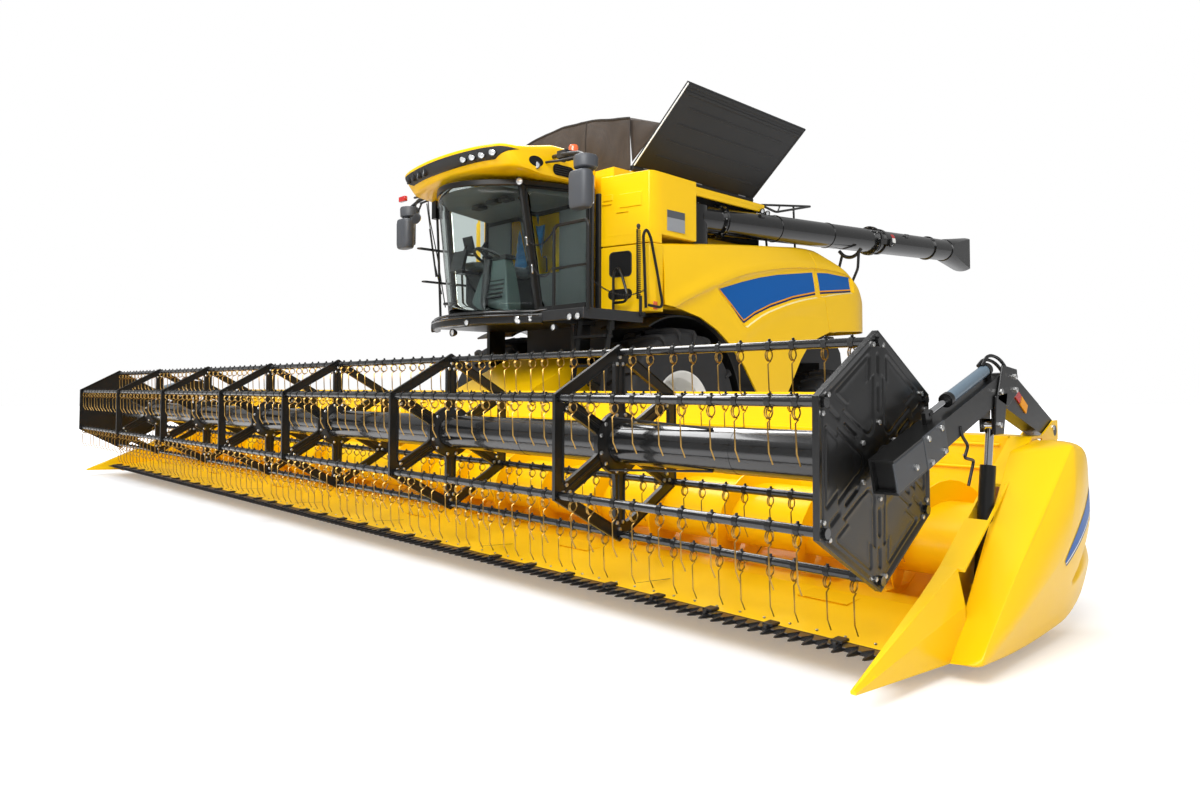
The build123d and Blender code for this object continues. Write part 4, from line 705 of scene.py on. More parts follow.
def buildReel():
    plates = [endPlatePart(1), endPlatePart(-1)]
    piece = addParts("reelEndPlates", plates, blackPaint, "reel", smooth=50)
    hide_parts("reel_spiders")
    wheels = joinParts([part for x in reel["spiders"] for part in spiderPart(x)])
    addMesh("reelWheels", *wheels, blackPaint, "reel", smooth=40)
    tube = turned([(-6.189, .06), (-6.189, .12), (6.189, .12), (6.189, .06)],
                  (0, reel["y"], reel["z"]), 0, 72)
    piece = addMesh("reelTube", *tube, tubePaint, "reel")
    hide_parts("reel_tube")
    seams = [turned([(x - .05, .1203), (x - .05, .1215), (x + .05, .1215), (x + .05, .1203)],
                    (0, reel["y"], reel["z"]), 0, 72) for x in (-5.3, -3.3, -1.4, .25, 1.9, 3.7, 5.4)]
    addParts("reelTubeBands", seams, tubePaint, "reel")
    stubs = [turned([(6.18 * s, .0), (6.18 * s, .029), (6.236 * s, .029), (6.236 * s, .0)][::s],
                    (0, reel["y"], reel["z"]), 0, 24) for s in (1, -1)]
    addParts("reelStubs", stubs, framePaint, "reel")

    # bolts: a ring round the hub and pairs at the corners of every plate and wheel
    places, normals = [], []
    for side in (1, -1):
        for a in batAngles:
            places.append((side * (reel["half"] - .002), .168 * math.cos(a), .168 * math.sin(a)))
            for swing in (-.085, .085):
                places.append((side * (reel["half"] - .004), .515 * math.cos(a + swing),
                               .515 * math.sin(a + swing)))
        normals += [(side, 0, 0)] * 18
    for x in reel["spiders"]:
        for a in batAngles:
            for side in (1, -1):
                for radius, swing, high in ((.165, .22, .016), (.165, -.22, .016), (.46, .05, .006),
                                            (.46, -.05, .006), (.50, .0, .006)):
                    places.append((x + side * high, radius * math.cos(a + swing),
                                   radius * math.sin(a + swing)))
                    normals.append((side, 0, 0))
    places = np.array(places) + (0, reel["y"], reel["z"])
    addMesh("reelBolts", *boltPart(places, normals, .0125, .010), zinc, "reel", smooth=30)

    # brace rods between the last wheel and each end plate
    rods = []
    for side, station in ((1, 4.558), (-1, -4.204)):
        for a in (batAngles[0::2] + math.radians(30)):
            place = lambda x, r: (x, reel["y"] + r * math.cos(a), reel["z"] + r * math.sin(a))
            rods.append(tubePart([place(station, .175), place(station + side * .75, .125)], .007, sides=6))
    addParts("reelBraces", rods, blackPaint, "reel")


def tinePart():
    # one wire: a clamp leg, one and a half turns of coil under the bat, a straight leg and a bent tip
    turn = np.linspace(math.pi / 2, math.pi / 2 + 3 * math.pi, 15)
    coil = np.stack([np.linspace(-.010, .006, 15), .027 * np.cos(turn), -.048 + .027 * np.sin(turn)], 1)
    leg = np.array([(.008, -.025, -.09), (.010, -.021, -.215), (.010, .008, -.268)])
    path = np.concatenate([coil, leg])
    return alongPath(path, circleProfile(.0042, 4), capped=True, up=(1, 0, 0))


def clampPart():
    # a saddle clamp round the bat with a bolt on top
    saddle = turned([(-.014, .0222), (-.014, .0262), (.014, .0262), (.014, .0222)], (0, 0, 0), 0, 8)
    bolt = turned([(.020, .0075), (.034, .0075), (.036, .005)], (0, 0, 0), 2, 5)
    return joinParts([saddle, bolt])


def buildTines():
    bays = sorted(list(reel["spiders"]) + [-6.19, 6.19])
    spots = []
    for low, high in zip(bays[:-1], bays[1:]):
        count = round((high - low - .10) / .30)
        pitch = (high - low - .06) / count
        mid = low + .03 + pitch * (np.arange(count) + .5)
        spots += list(np.stack([mid - pitch * .22, mid + pitch * .22], 1).reshape(-1))
    spots = np.array(spots)
    spots = spots[np.abs(spots) < 6.15]
    tine, clamp = tinePart(), clampPart()
    for n, a in enumerate(batAngles):
        middle = np.array([0, reel["y"] + reel["radius"] * math.cos(a),
                           reel["z"] + reel["radius"] * math.sin(a)])
        for name, part, finish, smooth in (("tines", tine, tineGold, 60),
                                           ("tineClamps", clamp, blackPaint, 30)):
            along = [(part[0] + middle + (x, 0, 0), part[1]) for x in spots]
            addParts(f"{name}{n + 1}", along, finish, f"bat_{n + 1}", smooth)


buildReel()
buildTines()
print("reel ready")

# the header: end shields, knife, auger flights, arms

shield = {"inner": 6.372, "middle": (-4.20, .50), "bulge": .072, "roundWidth": .075}
auger = {"y": -4.33, "z": .5, "drum": .205, "outer": .318}


def closedLoop(corners, count):
    # corner points (y, z, bend) joined by straight runs with rounded corners, spread evenly by length
    corners = np.asarray(corners, float)
    route = []
    for n in range(len(corners)):
        corner, before, after = corners[n], corners[n - 1], corners[(n + 1) % len(corners)]
        toBefore, toAfter = before[:2] - corner[:2], after[:2] - corner[:2]
        a = min(corner[2], np.linalg.norm(toBefore) * .49)
        b = min(corner[2], np.linalg.norm(toAfter) * .49)
        p = corner[:2] + toBefore / np.linalg.norm(toBefore) * a
        q = corner[:2] + toAfter / np.linalg.norm(toAfter) * b
        t = np.linspace(0, 1, 9)[:, None]
        route += list((1 - t) ** 2 * p + 2 * t * (1 - t) * corner[:2] + t ** 2 * q)
    route = np.array(route + [route[0]])
    length = lengthAlong(route)
    even = np.linspace(0, length[-1], count, endpoint=False)
    return np.stack([np.interp(even, length, route[:, k]) for k in range(2)], 1)


def smoothStep(value, low, high):
    t = np.clip((value - low) / (high - low), 0, 1)
    return t * t * (3 - 2 * t)


shieldLoop = closedLoop([(-5.10, .085, .05), (-5.03, .16, .06), (-3.93, 1.035, .05), (-3.70, 1.02, .12),
                         (-3.60, .62, .30), (-3.555, .36, .22), (-3.84, .075, .32), (-4.60, .045, .3)], 220)
loopAngle = np.unwrap(np.arctan2(shieldLoop[:, 1] - shield["middle"][1],
                                 shieldLoop[:, 0] - shield["middle"][0]))


def scoopDepth(y, z):
    # a teardrop recess below the stripe: deep and crisp along its upper edge, fading out downwards
    start, end = np.array([-4.075, .335]), np.array([-3.60, .60])
    axis = (end - start) / np.linalg.norm(end - start)
    along = (y - start[0]) * axis[0] + (z - start[1]) * axis[1]
    below = (y - start[0]) * axis[1] - (z - start[1]) * axis[0]
    bow = .030 * np.sin(np.clip(along / .54, 0, 1) * math.pi)
    below = below + bow
    width = .055 + .22 * np.clip(along / .5, 0, 1.2)
    share = np.clip(below / width, 0, 1)
    depth = .042 * smoothStep(share, 0, .14) * (1 - smoothStep(share, .25, 1.0))
    return depth * smoothStep(along, -.05, .09)


def shieldFace(y, z):
    # how far out the shield's side stands at (y, z): a sloped base, a bulge that dies out at its border
    # and the recess
    angle = np.arctan2(z - shield["middle"][1], y - shield["middle"][0])
    low = loopAngle[0]
    whole = 2 * math.pi
    angle = np.mod(angle - low, whole) + low if loopAngle[-1] > low else low - np.mod(low - angle, whole)
    order = np.argsort(loopAngle)
    reach = np.interp(angle, loopAngle[order], np.hypot(shieldLoop[order, 0] - shield["middle"][0],
                                                        shieldLoop[order, 1] - shield["middle"][1]),
                                                        period=2 * math.pi)
    share = np.clip(np.hypot(y - shield["middle"][0], z - shield["middle"][1]) / reach, 0, 1.05)
    t = np.clip((z - .16) / .86, 0, 1)
    base = 6.508 + .040 * t + .018 * smoothStep(y, -4.7, -3.9)
    return base + shield["bulge"] * (1 - share ** 2.2) - scoopDepth(y, z)


def shieldPart():
    # rings from the middle of the side to its border, then round the border's edge and in to the end sheet;
    # along the crease the border leads on to the long front band instead
    loop, middle = shieldLoop, np.array(shield["middle"])
    count = len(loop)
    tangent = np.roll(loop, -1, 0) - np.roll(loop, 1, 0)
    tangent /= np.linalg.norm(tangent, axis=1)[:, None]
    crease = (tangent @ np.array([.783, .622]) > .93) & (loop[:, 0] < -3.88)
    weight = crease.astype(float)
    for turn in range(3):
        weight = (np.roll(weight, 1) + 2 * weight + np.roll(weight, -1)) / 4
    inset = .014 * weight + shield["roundWidth"] * (1 - weight)
    toMiddle = middle - loop
    toMiddle /= np.linalg.norm(toMiddle, axis=1)[:, None]
    border = loop + toMiddle * inset[:, None]
    rows = []
    for share in np.linspace(0.012, 1, 46) ** .8:
        flat = middle + (border - middle) * share
        rows.append(np.stack([shieldFace(flat[:, 0], flat[:, 1]), flat[:, 0], flat[:, 1]], -1))
    start = rows[-1]
    corner = np.stack([start[:, 0], loop[:, 0], loop[:, 1]], -1)
    frontShare = np.clip((loop[:, 1] - .16) / .875, -.1, 1)
    frontEdge = np.stack([6.352 - .028 * frontShare, -5.005 + .845 * frontShare,
                          .105 + .90 * frontShare], -1)
    free = np.stack([np.full(count, start[:, 0].min() - .075), loop[:, 0], loop[:, 1]], -1)
    target = corner + (frontEdge - corner) * weight[:, None] * .12 + (free - corner) * (1 - weight[:, None])
    for t in np.linspace(0, 1, 7)[1:]:
        rows.append((1 - t) ** 2 * start + 2 * t * (1 - t) * corner + t ** 2 * target)
    deep = np.stack([np.full(count, shield["inner"]), loop[:, 0] + toMiddle[:, 0] * .004,
                     loop[:, 1] + toMiddle[:, 1] * .004], -1)
    last = frontEdge * weight[:, None] + deep * (1 - weight[:, None])
    for t in np.linspace(0, 1, 6)[1:]:
        bow = np.sin(t * math.pi) * .014 * weight[:, None] * np.array([1.0, -.6, 0])
        rows.append(target + (last - target) * t + bow)
    # the band's edge turns in by a narrow lip
    lip = last + np.stack([weight * .022, weight * .03, weight * 0], -1)
    rows.append(lip)
    points = np.concatenate(rows + [np.array([[rows[0][:, 0].mean(), middle[0], middle[1]]])])
    faces = gridFaces(len(rows), count, False, True)
    area = np.sum(loop[:, 0] * np.roll(loop[:, 1], -1) - np.roll(loop[:, 0], -1) * loop[:, 1])
    centre = len(points) - 1
    k = np.arange(count)
    fan = np.stack([np.full(count, centre), k, (k + 1) % count], 1)
    if area > 0:
        return points, faces.tolist() + fan.tolist()
    return points, faces[:, ::-1].tolist() + fan[:, ::-1].tolist()


def stripOnShield(path, low, high, lift, steps=48, rows=6):
    # a band on the shield's side: a curve in (y, z) with the band's two edges beside it, laid on the face
    path = np.asarray(path, float)
    t = np.linspace(0, 1, steps)[:, None]
    curve = (1 - t) ** 2 * path[0] + 2 * t * (1 - t) * path[1] + t ** 2 * path[2]
    tangent = np.gradient(curve, axis=0)
    tangent /= np.linalg.norm(tangent, axis=1)[:, None]
    normal = np.stack([-tangent[:, 1], tangent[:, 0]], 1)
    s = np.linspace(0, 1, rows)[None, :, None]
    lowEdge, highEdge = (np.broadcast_to(np.asarray(edge, float), (steps,))
                         for edge in (low(t[:, 0]), high(t[:, 0])))
    offset = lowEdge[:, None, None] * (1 - s) + highEdge[:, None, None] * s
    flat = curve[:, None] + normal[:, None] * offset
    x = shieldFace(flat[..., 0], flat[..., 1]) + lift
    points = np.stack([x, flat[..., 0], flat[..., 1]], -1).reshape(-1, 3)
    return points, gridFaces(steps, rows)


def buildShields():
    part = shieldPart()
    for side, word in ((1, "Left"), (-1, "Right")):
        piece = addMesh(f"endShield{word}", *onSide(part, side), yellowPaint, "header", smooth=42)
        if side > 0:
            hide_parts("end_shields")
        thicken(piece, .006)
        route = [(-4.235, .435), (-3.98, .60), (-3.665, .70)]
        bands = [("Blue", bandBlue, lambda t: 0 * t - .052 * t ** .6, lambda t: .012 + .060 * t ** .8, .0022),
                 ("White", bandWhite, lambda t: -.008 - .052 * t ** .6, lambda t: -.001 - .050 * t ** .6,
                  .0026),
                 ("Navy", bandNavy, lambda t: -.018 - .053 * t ** .6, lambda t: -.009 - .052 * t ** .6,
                  .0022)]
        for label, finish, low, high, lift in bands:
            strip = onSide(stripOnShield(route, low, high, lift), side)
            addMesh(f"shieldStripe{label}{word}", *strip, finish, "header")


def buildKnife():
    # pointed guards: six-sided spikes that narrow to a tip, the blades between them and hold-downs over them
    pitch, count = .0762, 163
    x = (np.arange(count) - (count - 1) / 2) * pitch
    rows = [(-5.385, .015, .020), (-5.405, .014, .017), (-5.45, .011, .013), (-5.495, .0055, .006),
            (-5.508, .001, .001)]
    ring = np.array([(-1, -.5), (-.5, -1), (.5, -1), (1, -.5), (.8, .7), (-.8, .7)])
    points = np.array([(a * w, y, .150 + b * h) for y, w, h in rows for a, b in ring])
    faces = gridFaces(len(rows), 6, False, True)[:, ::-1]
    guards = repeatPart((points, faces), np.stack([x, 0 * x, 0 * x], 1))
    blade = np.array([(-.036, -5.398, .166), (.036, -5.398, .166), (.008, -5.462, .166),
                      (-.008, -5.462, .166),
                      (-.036, -5.398, .170), (.036, -5.398, .170), (.008, -5.462, .170),
                      (-.008, -5.462, .170)])
    bladeFaces = np.array([(0, 1, 2, 3), (7, 6, 5, 4), (0, 4, 5, 1), (1, 5, 6, 2), (2, 6, 7, 3),
                           (3, 7, 4, 0)])
    blades = repeatPart((blade, bladeFaces), np.stack([x + pitch / 2, 0 * x, 0 * x], 1))
    bar = blockPart((-6.23, -5.408, .132), (6.23, -5.372, .166))
    piece = addParts("knifeGuards", [guards, bar], knifeSteel, "header", smooth=25)
    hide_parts("knife_bar")
    addMesh("knifeBlades", *blades, steelBlade, "header", smooth=0)
    clips = []
    for place in np.arange(-6.0, 6.01, .375):
        clips.append(blockPart((place - .03, -5.43, .168), (place + .03, -5.36, .182)))
        clips.append(blockPart((place - .012, -5.452, .164), (place + .012, -5.43, .178)))
    addParts("knifeClips", clips, knifeSteel, "header", smooth=0, soft=.004)
    spots = np.arange(-6.15, 6.16, .15)
    places = np.stack([spots, np.full(len(spots), -5.345), np.full(len(spots), .178)], 1)
    addMesh("lipBolts", *boltPart(places, np.tile([0, -.12, 1], (len(spots), 1)), .008, .005), zinc, "header")


def flightPart(start, end, turns, hand, inner=.203, outer=auger["outer"], thick=.004):
    # a helicoid: radius from inner to outer, the angle growing along X
    steps = int(abs(turns) * 28) + 1
    t = np.linspace(0, 1, steps)
    a = hand * 2 * math.pi * turns * t
    x = start + (end - start) * t
    rows = []
    for radius, shift in ((inner, -thick), (outer, -thick), (outer, thick), (inner, thick)):
        rows.append(np.stack([x + shift, auger["y"] + radius * np.cos(a), auger["z"] + radius * np.sin(a)],
                             -1))
    points = np.stack(rows, 1).reshape(-1, 3)
    faces = gridFaces(steps, 4, False, True).tolist() + [[0, 1, 2, 3],
                                                         [(steps - 1) * 4 + k for k in range(4)][::-1]]
    return points, faces if hand > 0 else [face[::-1] for face in faces]


def buildAuger():
    radius, centre = auger["drum"], (0, auger["y"], auger["z"])
    drum = turned([(-6.22, .03), (-6.22, radius), (6.22, radius), (6.22, .03)], centre, 0, 64)
    piece = addMesh("augerDrum", *drum, yellowPaint, "header_auger")
    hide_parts("header_auger")
    flights = [flightPart(6.2, .55, 9.5, 1), flightPart(-6.2, -.55, 9.5, -1)]
    addParts("augerFlights", flights, yellowPaint, "header_auger", smooth=50)
    fingers = []
    for n, x in enumerate(np.linspace(-.62, .62, 12)):
        a = n * 2.4
        foot, tip = ((x, auger["y"] + r * math.cos(a), auger["z"] + r * math.sin(a)) for r in (.2, .315))
        fingers.append(tubePart([foot, tip], .008, sides=6, up=(1, 0, 0)))
    addParts("augerFingers", fingers, zinc, "header_auger")


def beadPart(path, width=.012, rise=.004, out=(0, -1, 0)):
    # a pressed bead: a low half-round carried along a path, its crown towards out
    a = np.linspace(0, math.pi, 6)
    profile = np.stack([np.cos(a) * width / 2, np.sin(a) * rise], 1)
    return alongPath(path, profile, up=out)


def buildHeaderTrim():
    # bolts, pressed beads and seams of the trough and its back wall
    spots = np.arange(-6.0, 6.01, .5)
    rows = []
    for z in (.93, .70):
        keep = spots if z > .85 else spots[np.abs(spots) > .9]
        rows.append(np.stack([keep, np.full(len(keep), -3.992), np.full(len(keep), z)], 1))
    places = np.concatenate(rows)
    addMesh("wallBolts", *boltPart(places, np.tile([0, -1, 0], (len(places), 1)), .008, .005), zinc, "header")
    beads = []
    for z in (.865, 1.0):
        for low, high in ((-6.2, -.05), (.05, 6.2)):
            beads.append(beadPart([(low, -3.991, z), (high, -3.991, z)], .016, .004))
    addParts("wallBeads", beads, yellowPaint, "header", smooth=60)
    seams = []
    for x in (-4.65, -3.1, -1.55, 0, 1.55, 3.1, 4.65):
        a = np.linspace(math.radians(-88), math.radians(-8), 16)
        ring = np.stack([np.full(16, x), auger["y"] + .3485 * np.cos(a), auger["z"] + .3485 * np.sin(a)], -1)
        lip = np.array([(x, -5.33, .196), (x, -4.9, .161), (x, -4.5, .150)])
        seams.append(beadPart(np.concatenate([lip, ring]), .006, .0015, out=(0, -.3, 1)))
    addParts("troughSeams", seams, framePaint, "header", smooth=60)


armTurn = math.radians(17.5)


def armPoint(x, reach, height):
    # a point a distance back from the reel's axis along the arm and a height above its line
    return (x, reel["y"] + reach * math.cos(armTurn) - height * math.sin(armTurn),
            reel["z"] + reach * math.sin(armTurn) + height * math.cos(armTurn))


def armBlock(x0, x1, reach0, reach1, height0, height1):
    corners = [armPoint(0, r, h)[1:] for r, h in ((reach0, height0), (reach1, height0), (reach1, height1),
                                                  (reach0, height1))]
    return slabPart(corners, x0, x1)


def buildArms():
    for side, word in ((1, "Left"), (-1, "Right")):
        mid = 6.305 * side
        span = lambda low, high: (min(low * side, high * side), max(low * side, high * side))
        # the sliding carriage's grey-faced channel and its bolts
        low, high = span(6.356, 6.366)
        plate = [armBlock(low, high, -.185, .10, -.066, .066), armBlock(low, high, .105, .335, -.078, .078)]
        addParts(f"carriagePlate{word}", plate, armFace, "reel_carriage", smooth=0, soft=.004)
        places = [armPoint(6.364 * side, r, h) for r, h in ((.0, -.02), (.15, .055), (.29, .055),
                                                            (.15, -.055), (.29, -.055))]
        places += [armPoint(6.30 * side, r, -.088) for r in (-.06, .04)]
        normals = [(side, 0, 0)] * 5 + [(0, .3, -1)] * 2
        addMesh(f"carriageBolts{word}", *boltPart(places, normals, .015, .012), zinc, "reel_carriage")
        # the shift cylinder: a blue-grey barrel with end caps, and its bright rod
        barrel = tubePart([armPoint(mid, .515, .113), armPoint(mid, 1.035, .113)], .0295, sides=24)
        caps = [tubePart([armPoint(mid, r, .113), armPoint(mid, r + .035, .113)], .034, sides=24)
                for r in (.505, .998)]
        addMesh(f"shiftBarrel{word}", *barrel, cylinderGrey, "reel_arms")
        addParts(f"shiftCaps{word}", caps, blackPaint, "reel_arms", smooth=50)
        rodSleeve = tubePart([armPoint(mid, .335, .113), armPoint(mid, .83, .113)], .0144, sides=20)
        addMesh(f"shiftRod{word}", *rodSleeve, chrome, "reel_carriage")
        # knee bracket and its bolts
        low, high = span(6.350, 6.362)
        knee = [slabPart([(-4.44, 1.26), (-4.30, 1.22), (-4.14, 1.30), (-4.16, 1.42), (-4.36, 1.44)],
                         low, high)]
        knee.append(slabPart([(-4.48, 1.08), (-4.36, 1.08), (-4.30, 1.30), (-4.46, 1.28)], low, high))
        addParts(f"kneePlates{word}", knee, blackPaint, "reel_arms", smooth=0, soft=.005)
        places = [(6.362 * side, y, z) for y, z in ((-4.40, 1.30), (-4.20, 1.38), (-4.19, 1.31),
                                                    (-4.42, 1.13), (-3.62, 1.09))]
        addMesh(f"kneeBolts{word}", *boltPart(places, [(side, 0, 0)] * 5, .016, .013), zinc, "reel_arms")
        # reflector on the arm's rear leg: red and yellow blocks
        for name, finish, start in (("Red", redLens, 0), ("Yellow", bandOrange, .11)):
            low, high = span(6.351, 6.357)
            a = np.array([-4.20 + start * .86, 1.285 - start * .5])
            along, across = np.array([.86, -.50]), np.array([-.50, -.86]) * -1
            outline = [a, a + along * .10, a + along * .10 - across * -.05, a + across * .05]
            addMesh(f"armReflector{name}{word}", *slabPart(outline, low, high), finish, "reel_arms", smooth=0)
        # hydraulic lines of the arm, clipped to it
        lines = []
        for shift in (0, .022):
            lines.append(tubePart([(mid - side * (.03 - shift), -3.62, 1.13),
                                   (mid - side * (.03 - shift), -3.95, 1.30),
                                   (mid - side * (.02 - shift), -4.25, 1.455 + shift),
                                   armPoint(mid - side * (.02 - shift), 1.07, .16 + shift),
                                   armPoint(mid - side * (.02 - shift), .98, .145)], .009, .08, 8))
        addParts(f"armLines{word}", lines, hoseRubber, "reel_arms", smooth=60)
        # the hanging lock rod: a zigzag of round bar below the arm
        zig = tubePart([armPoint(6.350 * side, .52, -.02), armPoint(6.354 * side, .52, -.07),
                        armPoint(6.358 * side, .56, -.13),
                        armPoint(6.358 * side, .50, -.17), armPoint(6.358 * side, .60, -.22),
                        armPoint(6.358 * side, .50, -.31)], .008, .02, 8, up=(1, 0, 0))
        addMesh(f"lockRod{word}", *zig, blackPaint, "reel_arms", smooth=60)


steelBlade = finishOf("steelBlade", linear(96, 96, 98), {"Scale": 300, "Tone": .5, "Gloss": .32,
                                                         "Metallic": .9},
                      grain, .3, .0003)
armFace = finishOf("armFace", linear(66, 69, 73), {"Gloss": .42, "Drift": .1}, paintFlow, .1, .0005)
cylinderGrey = finishOf("cylinderGrey", linear(98, 116, 130), {"Gloss": .28, "Coat Weight": .4}, paintFlow,
                        .05, .0004)
hoseRubber = finishOf("hoseRubber", linear(24, 24, 25), {"Scale": 600, "Gloss": .5}, grain, .3, .0004)

buildShields()
buildKnife()
buildAuger()
buildHeaderTrim()
buildArms()
print("header ready")

# the body: side shields, rear hood, boxes

side = {"arcCentre": (-.0981, 2.5086), "arcRadius": 1.85487, "ridge": [
    (-1.90, 2.150), (-1.80, 2.195), (-1.38, 2.387), (-.87, 2.585), (-.45, 2.728), (.03, 2.838), (.64, 2.945),
    (1.20, 3.010), (1.72, 3.036), (2.22, 3.018), (2.60, 2.93), (3.5, 2.75)],
    "trough": [(-1.90, 2.10), (-.93, 2.530), (-.884, 2.49), (-.603, 2.306), (-.36, 2.105), (-.312, 2.085),
               (-.26, 2.112), (-.005, 2.237), (.391, 2.377), (.917, 2.513), (1.421, 2.603), (2.402, 2.746),
               (3.5, 2.8)],
    "top": [(-1.88, 2.975), (-.77, 3.11), (.54, 3.25), (1.394, 3.322), (1.56, 3.320), (1.824, 3.25),
            (2.337, 3.04), (2.7, 2.80), (3.15, 2.56), (3.42, 2.33)],
    "low": [(-1.88, 2.262), (-1.55, 2.23), (-1.214, 2.152), (-.9, 2.02), (-.632, 1.85), (-.34, 1.59),
            (-.068, 1.262),
            (.06, 1.0), (.56, 1.0), (.643, 1.259), (.943, 1.70), (1.161, 1.932), (1.396, 2.026),
            (1.694, 2.119), (2.7, 2.18), (3.42, 2.18)],
    "seam": [(2.119, 1.694), (2.4, 1.60), (2.648, 1.494), (3.0, 1.41), (3.322, 1.394)]}


def along(table, at):
    # smooth reading of a table: a cubic through its points whose slopes are the mean of their neighbours'
    table = np.asarray(table, float)
    x, y = table[:, 0], table[:, 1]
    slope = np.gradient(y, x)
    at = np.clip(at, x[0], x[-1])
    k = np.clip(np.searchsorted(x, at) - 1, 0, len(x) - 2)
    gap = x[k + 1] - x[k]
    t = (at - x[k]) / gap
    return (y[k] * (1 + 2 * t) * (1 - t) ** 2 + slope[k] * gap * t * (1 - t) ** 2
            + y[k + 1] * t * t * (3 - 2 * t) + slope[k + 1] * gap * t * t * (t - 1))


def sideX(y, z):
    # half-width of the body's side at (y, z): an arc above, straight below, a pressed trough under the ridge
    centre = side["arcCentre"]
    arc = centre[0] + np.sqrt(np.maximum(side["arcRadius"] ** 2 - (z - centre[1]) ** 2, .01))
    straight = 1.715 + (z - .98) * (.030 / 1.32)
    x = np.where(z > 2.3, arc, straight)
    ridge, trough = along(side["ridge"], y), along(side["trough"], y)
    gap = np.maximum(ridge - trough, .001)
    deep = .036 * np.clip(gap / .12, 0, 1) * (1 - smoothStep(y, 2.385, 2.42)) * smoothStep(y, -.96, -.84)
    inside = smoothStep(z, trough - .006, trough + .018) * (1 - smoothStep(z, ridge - .016, ridge + .006))
    fade = smoothStep(y, -1.86, -1.6) * (1 - smoothStep(y, -1.05, -.85))
    crease = .022 * fade * (1 - smoothStep(z, ridge - .012, ridge
                                           + .006)) * smoothStep(z, ridge - .30, ridge - .03)
    swell = .026 * np.exp(-((z - ridge - .06) / .10) ** 2) * (1 - smoothStep(y, 2.2, 2.6))
    lower = .012 * np.exp(-((trough - .06 - z) / .09) ** 2)
    lower = lower * smoothStep(y, -.9, -.3) * (1 - smoothStep(y, 2.2, 2.5))
    return x - deep * inside - crease + swell + lower


def sideRows(y, low, high, counts=(26, 3, 7, 16, 7, 4, 14, 7)):
    # row heights between two edges, gathered at the trough, the ridge and the rounded upper edge, and never
    # closer together than a small share of the height
    ridge, trough = along(side["ridge"], y), along(side["trough"], y)
    marks = [low, trough - .030, trough - .008, trough + .020, ridge - .018, ridge + .008, ridge + .035,
             high - .05, high]
    least = .006 * (high - low)
    last = len(marks) - 1
    marks = [np.clip(mark, low + k * least, high - (last - k) * least) for k, mark in enumerate(marks)]
    for k in range(1, last):
        marks[k] = np.maximum(marks[k], marks[k - 1] + least)
    rows = []
    for first, final, count in zip(marks[:-1], marks[1:], counts):
        rows += [first + (final - first) * t for t in np.linspace(0, 1, count, endpoint=False)]
    return np.array(rows + [marks[-1]])


def roundedTop(x, z, high, radius):
    # the upper edge turns inwards on a quarter round
    t = np.clip((z - high + radius) / radius, 0, 1)
    return x - radius * (1 - np.sqrt(np.maximum(0, 1 - t * t)))


def folded(points, depth):
    # an open grid whose border is folded towards the machine's middle by depth
    rows, columns = points.shape[:2]
    grid = np.arange(rows * columns).reshape(rows, columns)
    rim = np.concatenate([grid[0, :-1], grid[:-1, -1], grid[-1, :0:-1], grid[:0:-1, 0]])
    flat = points.reshape(-1, 3)
    count = len(rim)
    rings = [rim]
    extra = []
    for k, share in enumerate((.25, 1.0)):
        extra.append(flat[rim] - (depth * share, 0, 0))
        rings.append(len(flat) + k * count + np.arange(count))
    faces = gridFaces(rows, columns).tolist()
    for outer, inner in zip(rings[:-1], rings[1:]):
        faces += np.stack([outer, inner, np.roll(inner, -1), np.roll(outer, -1)], 1)[:, ::-1].tolist()
    return np.concatenate([flat] + extra), faces


def shieldSidePart():
    # columns from the front edge to the seam, which leans back, so a column's y depends on its height
    share = np.linspace(0, 1, 230)
    y = np.broadcast_to(-1.88 + share * 3.55, (86, 230)).copy()
    for turn in range(4):
        low = np.interp(y[0], *np.array(side["low"]).T)
        high = along(side["top"], np.minimum(y[-1], 1.394))
        z = sideRows(y[40], low, high)
        seam = np.interp(z, *np.array(side["seam"]).T)
        y = -1.88 + share[None] * (seam - .004 + 1.88)
        if len(z) != len(y):
            y = np.broadcast_to(y[:1], z.shape)
    x = roundedTop(sideX(y, z), z, z[-1:], .04)
    return folded(np.stack([x, y, z], -1), .03)


